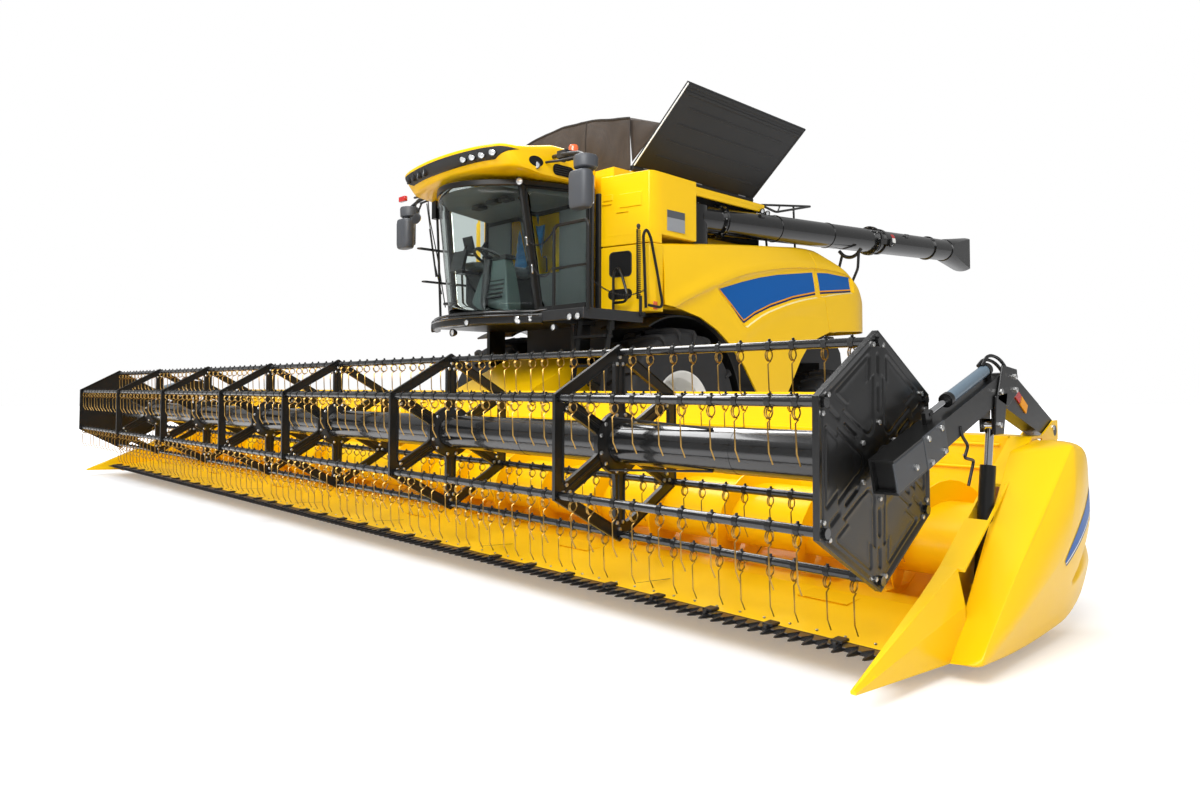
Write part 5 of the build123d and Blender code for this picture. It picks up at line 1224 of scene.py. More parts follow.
def hoodPart():
    # stations along the side and round the back, each a section up one side, over the top and down again;
    # the opening over the engine deck stays free
    plan = roundedRoute([(1.80, 1.40), (1.80, 2.30), (1.63, 2.87), (1.40, 3.24), (.75, 3.37), (0, 3.42)],
                        .5, 14)
    length = lengthAlong(plan)
    stations = np.concatenate([np.linspace(0, .79, 60), np.linspace(.80, 1.55, 50),
                               np.linspace(1.57, length[-1], 60)])
    px, py = np.interp(stations, length, plan[:, 0]), np.interp(stations, length, plan[:, 1])
    z = sideRows(py, np.interp(np.maximum(py, 1.70), *np.array(side["low"]).T),
                 along(side["top"], np.maximum(py, 1.394)))
    seam = np.interp(z, *np.array(side["seam"]).T)
    y = py[None] + (seam - 1.40 + .004) * (1 - smoothStep(py, 1.40, 1.95))[None]
    own, limit, ease = sideX(y, z), np.broadcast_to(px[None], z.shape), .05
    gap = np.clip(.5 + .5 * (limit - own) / ease, 0, 1)
    x = limit * (1 - gap) + own * gap - ease * gap * (1 - gap)
    x = np.maximum(roundedTop(x, z, z[-1:], .05), .004)
    left = np.stack([x, y, z], -1)
    edge = left[-1]
    opening = 1.30
    inner = np.minimum(edge[:, 0] * .98, opening)
    shares = [edge[:, 0] + (inner - edge[:, 0]) * t for t in (.33, .66, 1.0)]
    shares += [inner * t for t in np.linspace(1, -1, 20)[1:-1]]
    shares += [-row for row in shares[2::-1]]
    top = [np.stack([row, edge[:, 1], edge[:, 2] + .018 * np.clip(edge[:, 0], 0, 1)
                     * (1 - (row / np.maximum(edge[:, 0], .01)) ** 2)], -1) for row in shares]
    whole = np.concatenate([left, np.array(top), left[::-1] * (-1, 1, 1)])
    faces = gridFaces(whole.shape[0], whole.shape[1])[:, ::-1]
    middle = whole.reshape(-1, 3)[faces].mean(1)
    above = (faces[:, 0] // whole.shape[1] >= len(left)) & (faces[:, 0] // whole.shape[1] < len(left)
                                                            + len(top) - 1)
    free = above & (np.abs(middle[:, 0]) < opening - .002) & (middle[:, 1] < 2.19)
    return whole.reshape(-1, 3), faces[~free]


def bandOnSide(span, low, high, lift, rows=9):
    # a decal: between two curves of height over y, laid on the side's surface
    y = np.linspace(span[0], span[1], int(abs(span[1] - span[0]) / .02) + 2)
    s = np.linspace(0, 1, rows)[:, None]
    z = low(y)[None] * (1 - s) + high(y)[None] * s
    grid = np.broadcast_to(y[None], z.shape)
    return np.stack([sideX(grid, z) + lift, grid, z], -1).reshape(-1, 3), gridFaces(rows, len(y))


bandTop = [(-.880, 2.525), (-.645, 2.590), (-.375, 2.664), (.02, 2.758), (.45, 2.838), (1.32, 2.957),
           (1.75, 2.99), (2.36, 2.985)]
bandLow = [(-.880, 2.522), (-.60, 2.335), (-.334, 2.150), (-.10, 2.268), (.24, 2.395), (.77, 2.540),
           (1.44, 2.668), (2.36, 2.770)]


def bandLine(table, shift=0.0):
    table = np.asarray(table, float)
    return lambda y: np.interp(y, table[:, 0], table[:, 1]) + shift


def troughLine(shift):
    return lambda y: along(side["trough"], y) + shift


def buildSides():
    top = bandLine(bandTop)
    bands = [  # name, finish, lower edge, upper edge, front end, lift
        ("Blue", bandBlue, lambda y: np.minimum(bandLine(bandLow, .034)(y), top(y) - .001), top, -.878, .003),
        ("Orange", bandOrange, lambda y: np.minimum(bandLine(bandLow, .014)(y), top(y) - .001),
         lambda y: np.minimum(bandLine(bandLow, .033)(y), top(y)), -.86, .0034),
        ("Navy", bandNavy, bandLine(bandLow, -.012), bandLine(bandLow, .013), -.60, .003),
        # the pale strip along the trough's lower wall is a painted highlight on the bevel, not a decal
        ("Bevel", paintedHighlightPale, troughLine(-.004), troughLine(.014), -.87, .0025)]
    points, faces = shieldSidePart()
    shieldSkin, hood = (points, [face[::-1] for face in faces]), hoodPart()
    for sign, word in ((1, "left"), (-1, "right")):
        body = f"{word}_side_shield"
        piece = addMesh(f"{word}SideShield", *onSide(shieldSkin, sign), yellowPaint, body, smooth=40)
        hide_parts(f"{word}_side_shield")
        thicken(piece, .004)
        for label, finish, low, high, front, lift in bands:
            for part, span, rides in (("Front", (front, 1.345), body), ("Rear", (1.475, 2.352), "machine")):
                points, faces = bandOnSide(span, low, high, lift)
                band = onSide((points, faces[:, ::-1]), sign)
                addMesh(f"{word}Band{label}{part}", *band, finish, rides)
    piece = addMesh("rearHoodSkin", *hood, yellowPaint, "machine", smooth=40)
    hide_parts("rear_hood")
    thicken(piece, .005)


def faceY(x):
    # the boxes' front face leans back towards its outer edge
    return -2.2 + (x - 1.03) * (.13 / .66)


def onFace(x, z, out=.002):
    return np.array([x, faceY(x) - out, z])


def buildBoxes():
    parts = []
    rounds = []
    for sign in (1, -1):
        outline = [(1.03, -2.2), (1.69, -2.07), (1.735, -2.01), (1.735, -1.886), (1.08, -1.886),
                   (1.08, -2.17)]
        upper = [(1.03, -2.2), (1.69, -2.07), (1.72, -2.01), (1.72, -1.886), (1.70, -1.25), (1.2003, -1.25),
                 (1.2003, -2.15), (1.03, -2.18)]
        waist = upper[:4] + [(1.2003, -1.886), (1.2003, -2.15), (1.03, -2.18)]
        for shape, low, high in ((outline, 2.18, 2.955), (upper, 3.07, 3.79), (waist, 2.965, 3.08)):
            parts.append(onSide(slabPart(shape, low, high, 2), sign))
        rounds.append(turned([(2.262, .17), (2.262, .18), (2.945, .18), (2.945, .17)],
                             (1.39 * sign, -.93, 0), 2, 40))
        low, high = sorted((sign * 1.2003, sign * 1.54))
        parts.append(blockPart((low, -1.25, 3.74), (high, .38, 3.80)))
        low, high = sorted((sign * 1.50, sign * 1.54))
        parts.append(blockPart((low, -1.25, 3.69), (high, .38, 3.76)))
        low, high = sorted((sign * 1.2103, sign * 1.56))
        parts.append(blockPart((low, -1.84, 2.24), (high, 1.4, 2.28)))
    piece = addParts("bodyBoxes", parts, yellowPaint, smooth=30, soft=.014, steps=3)
    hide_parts("body_shell")
    addParts("columnFeet", rounds, blackPaint)

    # what stands on the boxes: pressed panels, service window, grip slot, the blank plate, seals and rails
    for sign, word in ((1, "Left"), (-1, "Right")):
        def put(name, part, finish, soft=0.0):
            addParts(name + word, [onSide(part, sign)], finish, soft=soft)

        # pressed panels and ribs on the slanted face
        def pressed(x0, x1, z0, z1, radius, rise, inset):
            outer = roundRect((x0, z0), (x1, z1), radius)
            middle = np.array([(x0 + x1) / 2, (z0 + z1) / 2])
            half = np.array([(x1 - x0) / 2, (z1 - z0) / 2])
            inner = middle + (outer - middle) * (half - inset) / half
            points = [onFace(x, z, -.002) for x, z in outer] + [onFace(x, z, rise) for x, z in inner]
            count = len(outer)
            faces = gridFaces(2, count, False, True)[:, ::-1].tolist()
            return np.array(points), faces + [list(range(count, 2 * count))]

        panels = [pressed(*limits, .012, .014, .010) for limits in (
            (1.29, 1.60, 3.39, 3.56), (1.065, 1.205, 3.49, 3.575), (1.05, 1.19, 3.445, 3.458),
            (1.25, 1.42, 3.335, 3.350))]
        put("boxPanels", joinParts(panels), yellowPaint)
        # the window is a flat near-black face, painted shade of its inside, in a dark frame
        window = roundRect((1.16, 2.60), (1.455, 2.885), .05)
        count = len(window)
        put("serviceWindow", (np.array([onFace(x, z, .0015) for x, z in window]), [list(range(count))]),
            paintedShadeBlack)
        put("windowFrame", alongPath([onFace(x, z, .004) for x, z in window], circleProfile(.007, 6),
                                     closed=True, up=(0, 1, 0)), blackPlastic)
        # the grip slot is a flat near-black face: painted shade of its hollow
        slot = [onFace(x, z, .0015) for x, z in roundRect((1.135, 2.335), (1.465, 2.455), .058)]
        put("gripSlot", (np.array(slot), [list(range(len(slot)))]), paintedShadeBlack)
        plate = slabPart([(-1.80, 3.13), (-1.49, 3.13), (-1.49, 3.37), (-1.80, 3.37)], 1.7195, 1.7225)
        if sign > 0:
            put("blankPlate", plate, plateGrey)
            put("blankPlateHead", slabPart([(-1.80, 3.285), (-1.49, 3.285), (-1.49, 3.37), (-1.80, 3.37)],
                                           1.722, 1.7235), plateDark)
        put("sideMarker", slabPart([(-2.055, 2.20), (-1.99, 2.20), (-1.99, 2.29), (-2.055, 2.29)],
                                   1.734, 1.745),
            amberLens, .004)
        # dark seal between the cab and the box
        put("boxSeal", slabPart([(-2.235, 2.16), (-2.17, 2.16), (-2.17, 3.60), (-2.235, 3.60)], .975, 1.040),
            blackPlastic, .006)
        # handrail loops and the post with its coiled sleeve
        rails = [tubePart([(1.775, -2.215, 2.20), (1.775, -2.235, 2.62), (1.775, -2.255, 3.02),
                           (1.775, -2.205, 3.085),
                           (1.775, -2.135, 3.00), (1.775, -2.03, 2.62), (1.775, -1.945, 2.28),
                           (1.775, -1.97, 2.22), (1.775, -2.17, 2.235)], .0165, .05, 10, up=(1, 0, 0)),
                 tubePart([(1.265, -2.22, 2.155), (1.265, -2.22, 2.62), (1.335, -2.22, 2.71),
                           (1.41, -2.225, 2.60),
                           (1.50, -2.23, 2.37), (1.475, -2.23, 2.29), (1.265, -2.22, 2.29)], .0165, .06, 10,
                           up=(0, 1, 0)),
                 tubePart([(1.705, -2.26, 2.16), (1.705, -2.26, 3.10)], .013, sides=10)]
        put("handRails", joinParts(rails), blackPaint)
        t = np.linspace(0, 1, 420)
        coil = np.stack([1.705 + .021 * np.cos(t * 2 * math.pi * 34),
                         -2.26 + .021 * np.sin(t * 2 * math.pi * 34), 2.30 + .78 * t], -1)
        if sign > 0:
            put("coilSleeve", alongPath(coil, circleProfile(.0075, 5), up=(0, 0, 1)), hoseRubber)
        knob = turned([(3.09, .0), (3.09, .014), (3.105, .022), (3.125, .022), (3.14, .012), (3.142, .0)],
                      (1.705, -2.26, 0), 2, 16)
        put("postKnob", knob, blackPlastic)


plateDark = finishOf("plateDark", linear(84, 88, 94), {"Roughness": .35})

buildSides()
buildBoxes()
print("body ready")


# the cab: roof, frame, glass, inside, lights, mirrors

consoleGreen = finishOf("consoleGreen", linear(72, 88, 86), {"Scale": 420, "Gloss": .5}, grain, .4, .0006)
linerGrey = finishOf("linerGrey", linear(96, 102, 102), {"Scale": 300, "Gloss": .6}, grain, .3, .0006)
matDark = finishOf("matDark", linear(38, 41, 42), {"Scale": 200, "Gloss": .7}, grain, .6, .001)
greyDark = finishOf("greyDark", linear(74, 77, 82), {"Scale": 420, "Gloss": .45}, grain, .3, .0005)
seatGrey = finishOf("seatGrey", linear(74, 82, 88), {"Roughness": .9, "Threads": 900, "Sheen Weight": .4},
                    weave, .4, .0006)

roof = {"half": 1.06, "front": -3.745, "back": -2.20, "bow": .11, "columns": 160, "corner": 10,
        "top": [(-3.745, 3.950), (-3.66, 3.925), (-3.45, 3.910), (-3.2, 3.955), (-2.95, 4.015),
                (-2.75, 4.015), (-2.2, 3.865)],
        "low": [(-3.62, 3.742), (-3.5, 3.70), (-3.3, 3.68), (-3.1, 3.655), (-2.2, 3.65)],
        # each ring: how far in from the side, front and back edges, share of the height, lift
        "rings": [(.40, .78, .30, 0, .01), (.12, .24, .06, 0, .01), (.035, .155, .012, 0, 0),
                  (.012, .138, 0, .03, 0),
                  (.002, .125, 0, .12, 0), (0, .10, 0, .24, 0), (0, .062, 0, .42, 0), (0, .032, 0, .60, 0),
                  (0, .010, 0, .78, 0), (0, .001, 0, .87, 0), (.006, .004, .004, .94, 0),
                  (.026, .022, .02, 1, 0),
                  (.07, .07, .06, 1, .014), (.2, .2, .15, 1, .03), (.42, .45, .35, 1, .042),
                  (.7, .6, .6, 1, .046)]}


def readGrid(grid, row, column):
    # bilinear reading of a grid of points that closes on itself along its columns
    row, column = np.broadcast_arrays(np.clip(row, 0, len(grid) - 1.001), np.asarray(column, float))
    i, j = np.floor(row).astype(int), np.floor(column).astype(int)
    s, t = (row - i)[..., None], (column - j)[..., None]
    j, j2 = j % grid.shape[1], (j + 1) % grid.shape[1]
    return ((grid[i, j] * (1 - s) + grid[i + 1, j] * s) * (1 - t)
            + (grid[i, j2] * (1 - s) + grid[i + 1, j2] * s) * t)


def roofGrid():
    # a superellipse plan |u|^n + |v|^n = 1, evenly spaced, drawn in ring by ring; its front edge bows
    a = np.linspace(0, 2 * math.pi, 4001) + math.pi / 2
    power = 2 / roof["corner"]
    u = np.sign(np.cos(a)) * np.abs(np.cos(a)) ** power
    v = np.sign(np.sin(a)) * np.abs(np.sin(a)) ** power
    reach = np.concatenate([[0], np.cumsum(np.hypot(np.diff(u) * 1.06, np.diff(v) * .78))])
    even = np.linspace(0, reach[-1], roof["columns"], endpoint=False)
    u, v = np.interp(even, reach, u), np.interp(even, reach, v)
    rings = np.array(roof["rings"])
    side, front, back, share, lift = (rings[:, k:k + 1] for k in range(5))
    x = u * (roof["half"] - side)
    first, last = roof["front"] + front, roof["back"] - back
    y = first + (last - first) * (v + 1) / 2 + roof["bow"] * u ** 2 * (1 - v) / 2
    low, high = (np.interp(y, *np.array(roof[key]).T) for key in ("low", "top"))
    z = low + (high - low) * share + lift
    z[0], z[-1] = 3.665, 4.035
    return np.stack([x, y, z], -1)


def aimPart(part, centre, aim):
    # a part built along +X at the origin, turned so that +X points along aim and moved to centre
    aim = np.asarray(aim, float) / np.linalg.norm(aim)
    side = np.cross(aim, (0, 0, 1)) if abs(aim[2]) < .9 else np.cross(aim, (0, 1, 0))
    side /= np.linalg.norm(side)
    points = np.asarray(part[0], float)
    return points @ np.stack([aim, side, np.cross(aim, side)]) + centre, part[1]


def roundLamp(centre, aim, radius, deep=.05):
    # a round work light: a turned housing with a rolled rim, and a domed lens in it
    housing = turned([(-deep, 0), (-deep, .55 * radius), (-.02, .92 * radius), (0, radius), (.012, radius),
                      (.015, .93 * radius), (.010, .86 * radius), (-.012, .80 * radius), (-.012, 0)],
                      (0, 0, 0), 0, 24)
    lens = turned([(-.010, 0), (-.010, .82 * radius), (.004, .80 * radius), (.010, .5 * radius), (.012, 0)],
                  (0, 0, 0), 0, 24)
    return aimPart(housing, centre, aim), aimPart(lens, centre, aim)


def bothSides(parts):
    return list(parts) + [mirrorPart(part) for part in parts]


def buildRoof():
    grid = roofGrid()
    rows, columns = grid.shape[:2]
    faces = gridFaces(rows, columns, False, True)[:, ::-1].tolist()
    faces += [list(range(columns))[::-1], [(rows - 1) * columns + k for k in range(columns)]]
    piece = addMesh("cabRoofSkin", grid.reshape(-1, 3), faces, yellowPaint, "machine", smooth=40)
    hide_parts("cab_roof")

    # the black visor band in the roof's front, drawn to a slanted point at each end
    middle = columns / 2
    def columnAt(row, x):
        # the column where a ring passes x, near the middle of the front
        reach = np.linspace(-44, 44, 177)
        return middle + np.interp(x, readGrid(grid, row, middle + reach)[:, 0], reach)
    rise = np.array([5.0, 5.15, 5.6, 6.2, 6.8, 7.4, 7.9, 8.15, 8.25])
    ends = np.array([18.6, 19.4, 20.4, 21.8, 23.3, 24.9, 26.5, 27.5, 27.8])  # columns from the middle
    push = np.array([-.002, .006, .008, .008, .008, .008, .008, .006, -.002])
    across = np.linspace(-1, 1, 91)
    places = middle + np.outer(ends, across)
    band = readGrid(grid, rise[:, None], places)
    step = readGrid(grid, rise[:, None] + .3, places) - band
    along = np.gradient(band, axis=1)
    out = np.cross(step, along)
    out /= np.maximum(np.linalg.norm(out, axis=2), 1e-9)[..., None]
    out *= np.sign(-out[..., 1].mean())
    edge = np.minimum(1, (1 - np.abs(across)) / .012)[None, :, None]
    band = band + out * (push[:, None, None] * edge + -.002 * (1 - edge))
    addMesh("roofVisor", band.reshape(-1, 3), gridFaces(len(rise), 91)[:, ::-1], blackPlastic, "machine",
            smooth=50)

    # round lights in the visor and the side recess, and the pillar lamps
    rims, lenses = [], []
    for x, row in ((.40, 6.5), (.55, 6.5), (.70, 6.5), (.86, 6.7)):
        place = readGrid(grid, row, columnAt(row, x))
        rims.append(roundLamp(place + (0, -.012, 0), (.25 + .3 * x, -1, -.05), .050))
    for place, aim, radius in (((1.052, -3.19, 3.745), (1, -.75, -.05), .046),
                               ((.815, -3.235, 3.60), (.7, -1, 0), .046),
                               ((1.2, -2.925, 3.843), (.5, -1, 0), .045)):
        rims.append(roundLamp(place, aim, radius))
    lenses = bothSides([lens for rim, lens in rims])
    rims = bothSides([rim for rim, lens in rims])
    addParts("roofLampRims", rims, blackPlastic, smooth=40)
    addParts("roofLampLenses", lenses, lensGlass, smooth=40)

    # flat near-black faces in the pressed recess behind the side light and in the oval vent of the side face:
    # painted shade of their hollows
    parts = []
    a = np.linspace(0, 2 * math.pi, 32, endpoint=False)
    recess = np.stack([1.058 + 0 * a, -3.195 + .10 * np.cos(a), 3.785 + .058 * np.sin(a)], 1)
    vent = roundRect((-2.96, 3.685), (-2.65, 3.81), .055, 7)
    for loop in (recess, np.stack([1.0615 + 0 * vent[:, 0], vent[:, 0], vent[:, 1]], 1)):
        parts.append((loop + (.003, 0, 0), [list(range(len(loop)))]))
    addParts("roofVents", bothSides(parts), paintedShadeBlack, smooth=0)
    slats = [slabPart([(-2.93, z), (-2.68, z + .006), (-2.68, z + .014), (-2.93, z + .008)], 1.062, 1.069)
             for z in (3.705, 3.73, 3.755, 3.78)]
    addParts("roofVentSlats", bothSides(slats), blackPlastic, smooth=0)


cab = {"halfTop": .757, "halfLow": .835, "endTop": -3.165, "endLow": -2.975, "midTop": -3.63, "midLow": -3.43,
       "low": 2.175, "high": 3.595, "back": -2.36}


def frontAt(x, z, out=0.0):
    # the windscreen: a bow in plan, y = middle + (end - middle)(x / half)^2, leaning forward with height
    t = (z - cab["low"]) / (cab["high"] - cab["low"])
    half = cab["halfLow"] + (cab["halfTop"] - cab["halfLow"]) * t
    end = cab["endLow"] + (cab["endTop"] - cab["endLow"]) * t
    middle = cab["midLow"] + (cab["midTop"] - cab["midLow"]) * t
    return np.stack(np.broadcast_arrays(x * half, middle + (end - middle) * x ** 2 - out, z), -1)


def sidePane(first, last, out):
    # the side between pillar and hinge line: a bilinear patch of four corners, cut from first to last
    corners = np.array([[(.838, -2.965, 2.19), (1.022, -2.405, 2.19)],
                        [(.762, -3.15, 3.585), (1.022, -2.405, 3.585)]])
    t, s = np.linspace(0, 1, 13)[:, None, None], np.linspace(first, last, 9)[None, :, None]
    low, high = (row[0] * (1 - s) + row[1] * s for row in corners)
    points = low * (1 - t) + high * t + np.array([.94, -.33, 0]) * out
    return points.reshape(-1, 3), gridFaces(13, 9)[:, ::-1].tolist()


def buildCabFrame():
    bow = np.linspace(-1, 1, 25)
    bar = []
    upright = np.linspace(cab["low"] - .03, cab["high"] + .03, 10)
    for sign in (1, -1):
        bar.append(alongPath(frontAt(sign * 1.0, upright), boxProfile(.05, .075, .012), up=(0, 1, 0)))
        bar.append(alongPath([(sign * .995, cab["back"], 2.14), (sign * 1.005, cab["back"], 3.64)],
                             boxProfile(.07, .05, .012), up=(0, 1, 0)))
        bar.append(alongPath([(sign * .757, -3.165, 3.61), (sign * .90, -2.75, 3.615),
                              (sign * 1.0, -2.35, 3.615)],
                             boxProfile(.05, .07, .012)))
        bar.append(alongPath([(sign * .835, -2.975, 2.165), (sign * .92, -2.65, 2.165),
                              (sign * .995, -2.35, 2.165)],
                             boxProfile(.05, .06, .012)))
    bar.append(alongPath(frontAt(bow, cab["high"] + .015, -.01), boxProfile(.05, .075, .012)))
    bar.append(alongPath(frontAt(bow, cab["low"] - .005, -.01), boxProfile(.05, .05, .012)))
    bar.append(blockPart((-.97, -2.375, 2.15), (.97, -2.345, 2.30)))
    bar.append(blockPart((-.97, -2.375, 3.45), (.97, -2.345, 3.62)))
    frameBars = addParts("cabFrame", bar, blackPaint, smooth=40)
    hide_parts("cab_shell")

    # the bowed windscreen, the right side's pane and the rear panel with its window
    z = np.linspace(cab["low"], cab["high"], 13)
    x = np.linspace(-1, 1, 33)
    points = frontAt(x[None, :], z[:, None], .012).reshape(-1, 3)
    piece = addMesh("windscreen", points, gridFaces(13, 33)[:, ::-1], cabGlass, "machine")
    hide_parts("cab_glass")
    thicken(piece, .006)
    piece = addMesh("farPane", *mirrorPart(sidePane(0, 1, .0)), cabGlass, "machine")
    thicken(piece, .006)
    rear = [blockPart((-.97, -2.37, 2.28), (-.48, -2.352, 3.47)),
            blockPart((.48, -2.37, 2.28), (.97, -2.352, 3.47)),
            blockPart((-.49, -2.37, 2.28), (.49, -2.352, 2.72))]
    addParts("rearPanel", rear, linerGrey, smooth=0)
    addMesh("rearWindow", *blockPart((-.48, -2.364, 2.72), (.48, -2.358, 3.45)), cabGlass, "machine",
            smooth=0)

    # the door: a slim loop with its pane, hinged at the rear
    loop = roundedRoute([(.858, -2.945, 2.2), (.785, -3.125, 3.565), (1.030, -2.42, 3.565),
                         (1.030, -2.42, 2.2), (.858, -2.945, 2.2), (.855, -2.955, 2.3)], .05, 6)[:-1]
    door = alongPath(loop[1:], boxProfile(.020, .026, .006), closed=True, up=(.94, -.33, 0))
    handle = tubePart([(.90, -2.92, 2.62), (.93, -2.93, 2.62), (.93, -2.94, 2.78), (.89, -2.95, 2.78)], .010,
                      .02, 8)
    piece = addParts("doorFrame", [door, handle], blackPaint, "cab_door", smooth=40)
    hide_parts("cab_door")
    piece = addMesh("doorPane", *sidePane(.05, .99, .006), cabGlass, "cab_door")
    thicken(piece, .006)
    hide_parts("door_glass")
    seal = alongPath([(1.035, -2.343, 2.16), (1.045, -2.343, 3.63)], boxProfile(.05, .030, .008),
                     up=(0, 1, 0))
    addMesh("doorSeal", *seal, blackPlastic, "machine", smooth=30)
    print("cab frame, glass and door done")


def cushionPart(centre, half, pull=.05, channels=(), rows=29):
    # a crowned closed form: two crowns (1 - v^n)^.5 (1 - w^n)^.5 blended on both faces, sides drawn in between
    # the corners by pull, sewn channels pressed in along v; half is (across, deep, thick), thick along Z
    u = np.sin(np.linspace(-math.pi / 2, math.pi / 2, rows))
    v, w = np.meshgrid(u, u, indexing="ij")
    soft, firm = (np.sqrt(np.maximum((1 - v ** n) * (1 - w ** n), 0)) for n in (4, 8))
    crown = soft * .85 + .15 * firm
    for place in channels:
        crown = crown * (1 - .22 * np.exp(-((w - place) / .035) ** 2))
    across = v * half[0] * (1 - pull * (1 - w ** 2))
    deep = w * half[1] * (1 - pull * (1 - v ** 2))
    top = np.stack([across, deep, crown * half[2]], -1).reshape(-1, 3)
    low = np.stack([across, deep, -crown * half[2]], -1).reshape(-1, 3)
    faces = gridFaces(rows, rows).tolist()
    inner = np.arange(rows * rows).reshape(rows, rows)
    rim = np.zeros((rows, rows), bool)
    rim[0], rim[-1], rim[:, 0], rim[:, -1] = True, True, True, True
    place = np.full(rows * rows, -1)
    place[inner[~rim]] = rows * rows + np.arange((~rim).sum())
    place[inner[rim]] = inner[rim]
    points = np.concatenate([top, low[inner[~rim]]])
    faces += [[int(place[k]) for k in face[::-1]] for face in faces]
    return points + np.asarray(centre, float), faces


def buildSeat():
    # base, back and head cushions with piped seams
    seat = {"base": ((0, -2.66, 2.70), (.255, .245, .075), 0),
            "back": ((0, -2.445, 3.02), (.25, .30, .06), 1.42),
            "head": ((0, -2.42, 3.37), (.13, .085, .05), 1.42)}
    for name, (centre, half, lean) in seat.items():
        channels = (-.45, 0, .45) if name != "head" else ()
        part = turnPart(cushionPart((0, 0, 0), half, .05, channels), lean, 0)
        part = (part[0] + centre, part[1])
        piece = addMesh(name + "Cushion", *part, seatCloth if name != "base" else seatGrey, "machine",
                        smooth=60)
        if name == "base":
            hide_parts("operator_seat")
        a = np.linspace(0, 2 * math.pi, 72, endpoint=False)
        circle = np.stack([np.cos(a), np.sin(a)], 1)
        edge = np.sign(circle) * np.abs(circle) ** .12
        x = edge[:, 0] * half[0] * (1 - .05 * (1 - edge[:, 1] ** 2))
        y = edge[:, 1] * half[1] * (1 - .05 * (1 - edge[:, 0] ** 2))
        piping = turnPart((np.stack([x, y, 0 * x], 1), []), lean, 0)[0] + centre
        addMesh(name + "Piping", *alongPath(piping, circleProfile(.0065, 6), closed=True,
                                            up=(0, math.sin(-lean), math.cos(lean))),
                seatGrey, "machine")
    frameParts = [slabPart(roundRect((-2.86, 2.16), (-2.44, 2.30), .04), -.20, .20),
                  slabPart([(-2.80, 2.30), (-2.5, 2.30), (-2.46, 2.63), (-2.86, 2.63)], -.15, .15),
                  alongPath([(0, -2.41, 3.28), (0, -2.40, 3.34)], boxProfile(.12, .014, .003), up=(0, 1, 0))]
    addParts("seatPedestal", frameParts, blackPlastic, smooth=30, soft=.008)


def buildInside():
    # floor mat, headliner, front column housing, armrest, controls and display
    bow = np.linspace(-.97, .97, 21)
    floorEdge = frontAt(bow, 2.17, -.03)[:, :2]
    outline = [tuple(p) for p in floorEdge] + [(.95, -2.36), (-.95, -2.36)]
    addMesh("floorMat", *slabPart(outline, 2.152, 2.172, 2), matDark, "machine", smooth=0)
    linerEdge = frontAt(bow, 3.56, -.04)[:, :2]
    under = np.array([(x, y, 3.60 - .10 * smoothStep(y, -3.5, -3.0)) for x, y in linerEdge]
                     + [(.95, -2.37, 3.50), (-.95, -2.37, 3.50)])
    upper = under * (1, 1, 0) + (0, 0, 3.63)
    count = len(under)
    faces = gridFaces(2, count, False, True)[:, ::-1].tolist() + [list(range(count))[::-1],
                                                                  list(range(count, 2 * count))]
    addMesh("headLiner", np.concatenate([under, upper]), faces, linerGrey, "machine", smooth=0)
    vents = [blockPart((x, y, 3.47), (x + .17, y + .12, 3.515))
             for x, y in ((.08, -3.17), (.30, -3.15), (-.3, -3.1))]
    addParts("linerVents", vents, matDark, smooth=30, soft=.008)

    low = np.array([(-.36, -3.12), (.46, -3.12), (.42, -2.86), (-.32, -2.86)])
    high = np.array([(-.06, -3.03), (.28, -3.03), (.27, -2.90), (-.05, -2.90)])
    rows = []
    for t in np.linspace(0, 1, 12):
        ring = low + (high - low) * np.interp(t, [0, .7, 1], [0, .62, 1])
        rows.append(np.column_stack([ring, np.full(4, 2.17 + .66 * t)]))
    points = np.concatenate(rows)
    faces = gridFaces(12, 4, False, True)[:, ::-1].tolist() + [[3, 2, 1, 0], [44, 45, 46, 47]]
    softEdges(addMesh("frontHousing", points, faces, consoleGreen, "machine", smooth=30), .02, 3)
    slats = [slabPart([(-3.135 + .014 * k, z), (-3.10 + .014 * k, z), (-3.10 + .014 * k, z + .022),
                       (-3.128 + .014 * k, z + .022)], .02, .33)
             for k, z in enumerate((2.36, 2.41, 2.46, 2.51, 2.56))]
    pad = blockPart((-.10, -3.04, 2.82), (.32, -2.90, 2.87))
    addParts("housingSlats", slats + [pad], matDark, smooth=30, soft=.006)

    arm = [slabPart([(-3.03, 2.86), (-2.42, 2.90), (-2.42, 2.80), (-2.62, 2.76), (-2.98, 2.79)][::-1],
                    -.64, -.36)]
    addParts("armRest", arm, linerGrey, smooth=30, soft=.02, steps=3)
    stems = [tubePart([(-.5, -2.89, 2.5), (-.5, -3.05, 2.7), (-.5, -3.09, 2.95), (-.5, -3.03, 3.07)],
                      .014, .1, 8),
             tubePart([(-.42, -2.83, 2.88), (-.42, -2.84, 3.0), (-.42, -2.80, 3.06)], .017, .05, 10),
             tubePart([(-.42, -2.84, 3.05), (-.42, -2.79, 3.12)], .028, 0, 12),
             tubePart([(-.62, -3.2, 2.17), (-.62, -3.2, 2.34)], .012, 0, 8),
             tubePart([(-.5, -2.7, 2.17), (-.5, -2.7, 2.8)], .03, 0, 10),
             blockPart((-.67, -3.25, 2.33), (-.55, -3.15, 2.36))]
    addParts("cabControls", stems, blackPlastic, smooth=40, soft=.004)
    screen = turnPart(blockPart((-.60, -.014, -.105), (-.41, .014, .105)), .28, 0)
    screen = (screen[0] + (0, -2.99, 3.08), screen[1])
    addParts("cabDisplay", [screen], blackPlastic, smooth=30, soft=.008)
    face = turnPart(blockPart((-.585, .0142, -.085), (-.425, .0152, .085)), .28, 0)
    addMesh("displayFace", face[0] + (0, -2.99, 3.08), face[1], plateDark, "machine", smooth=0)
    print("cab inside done")


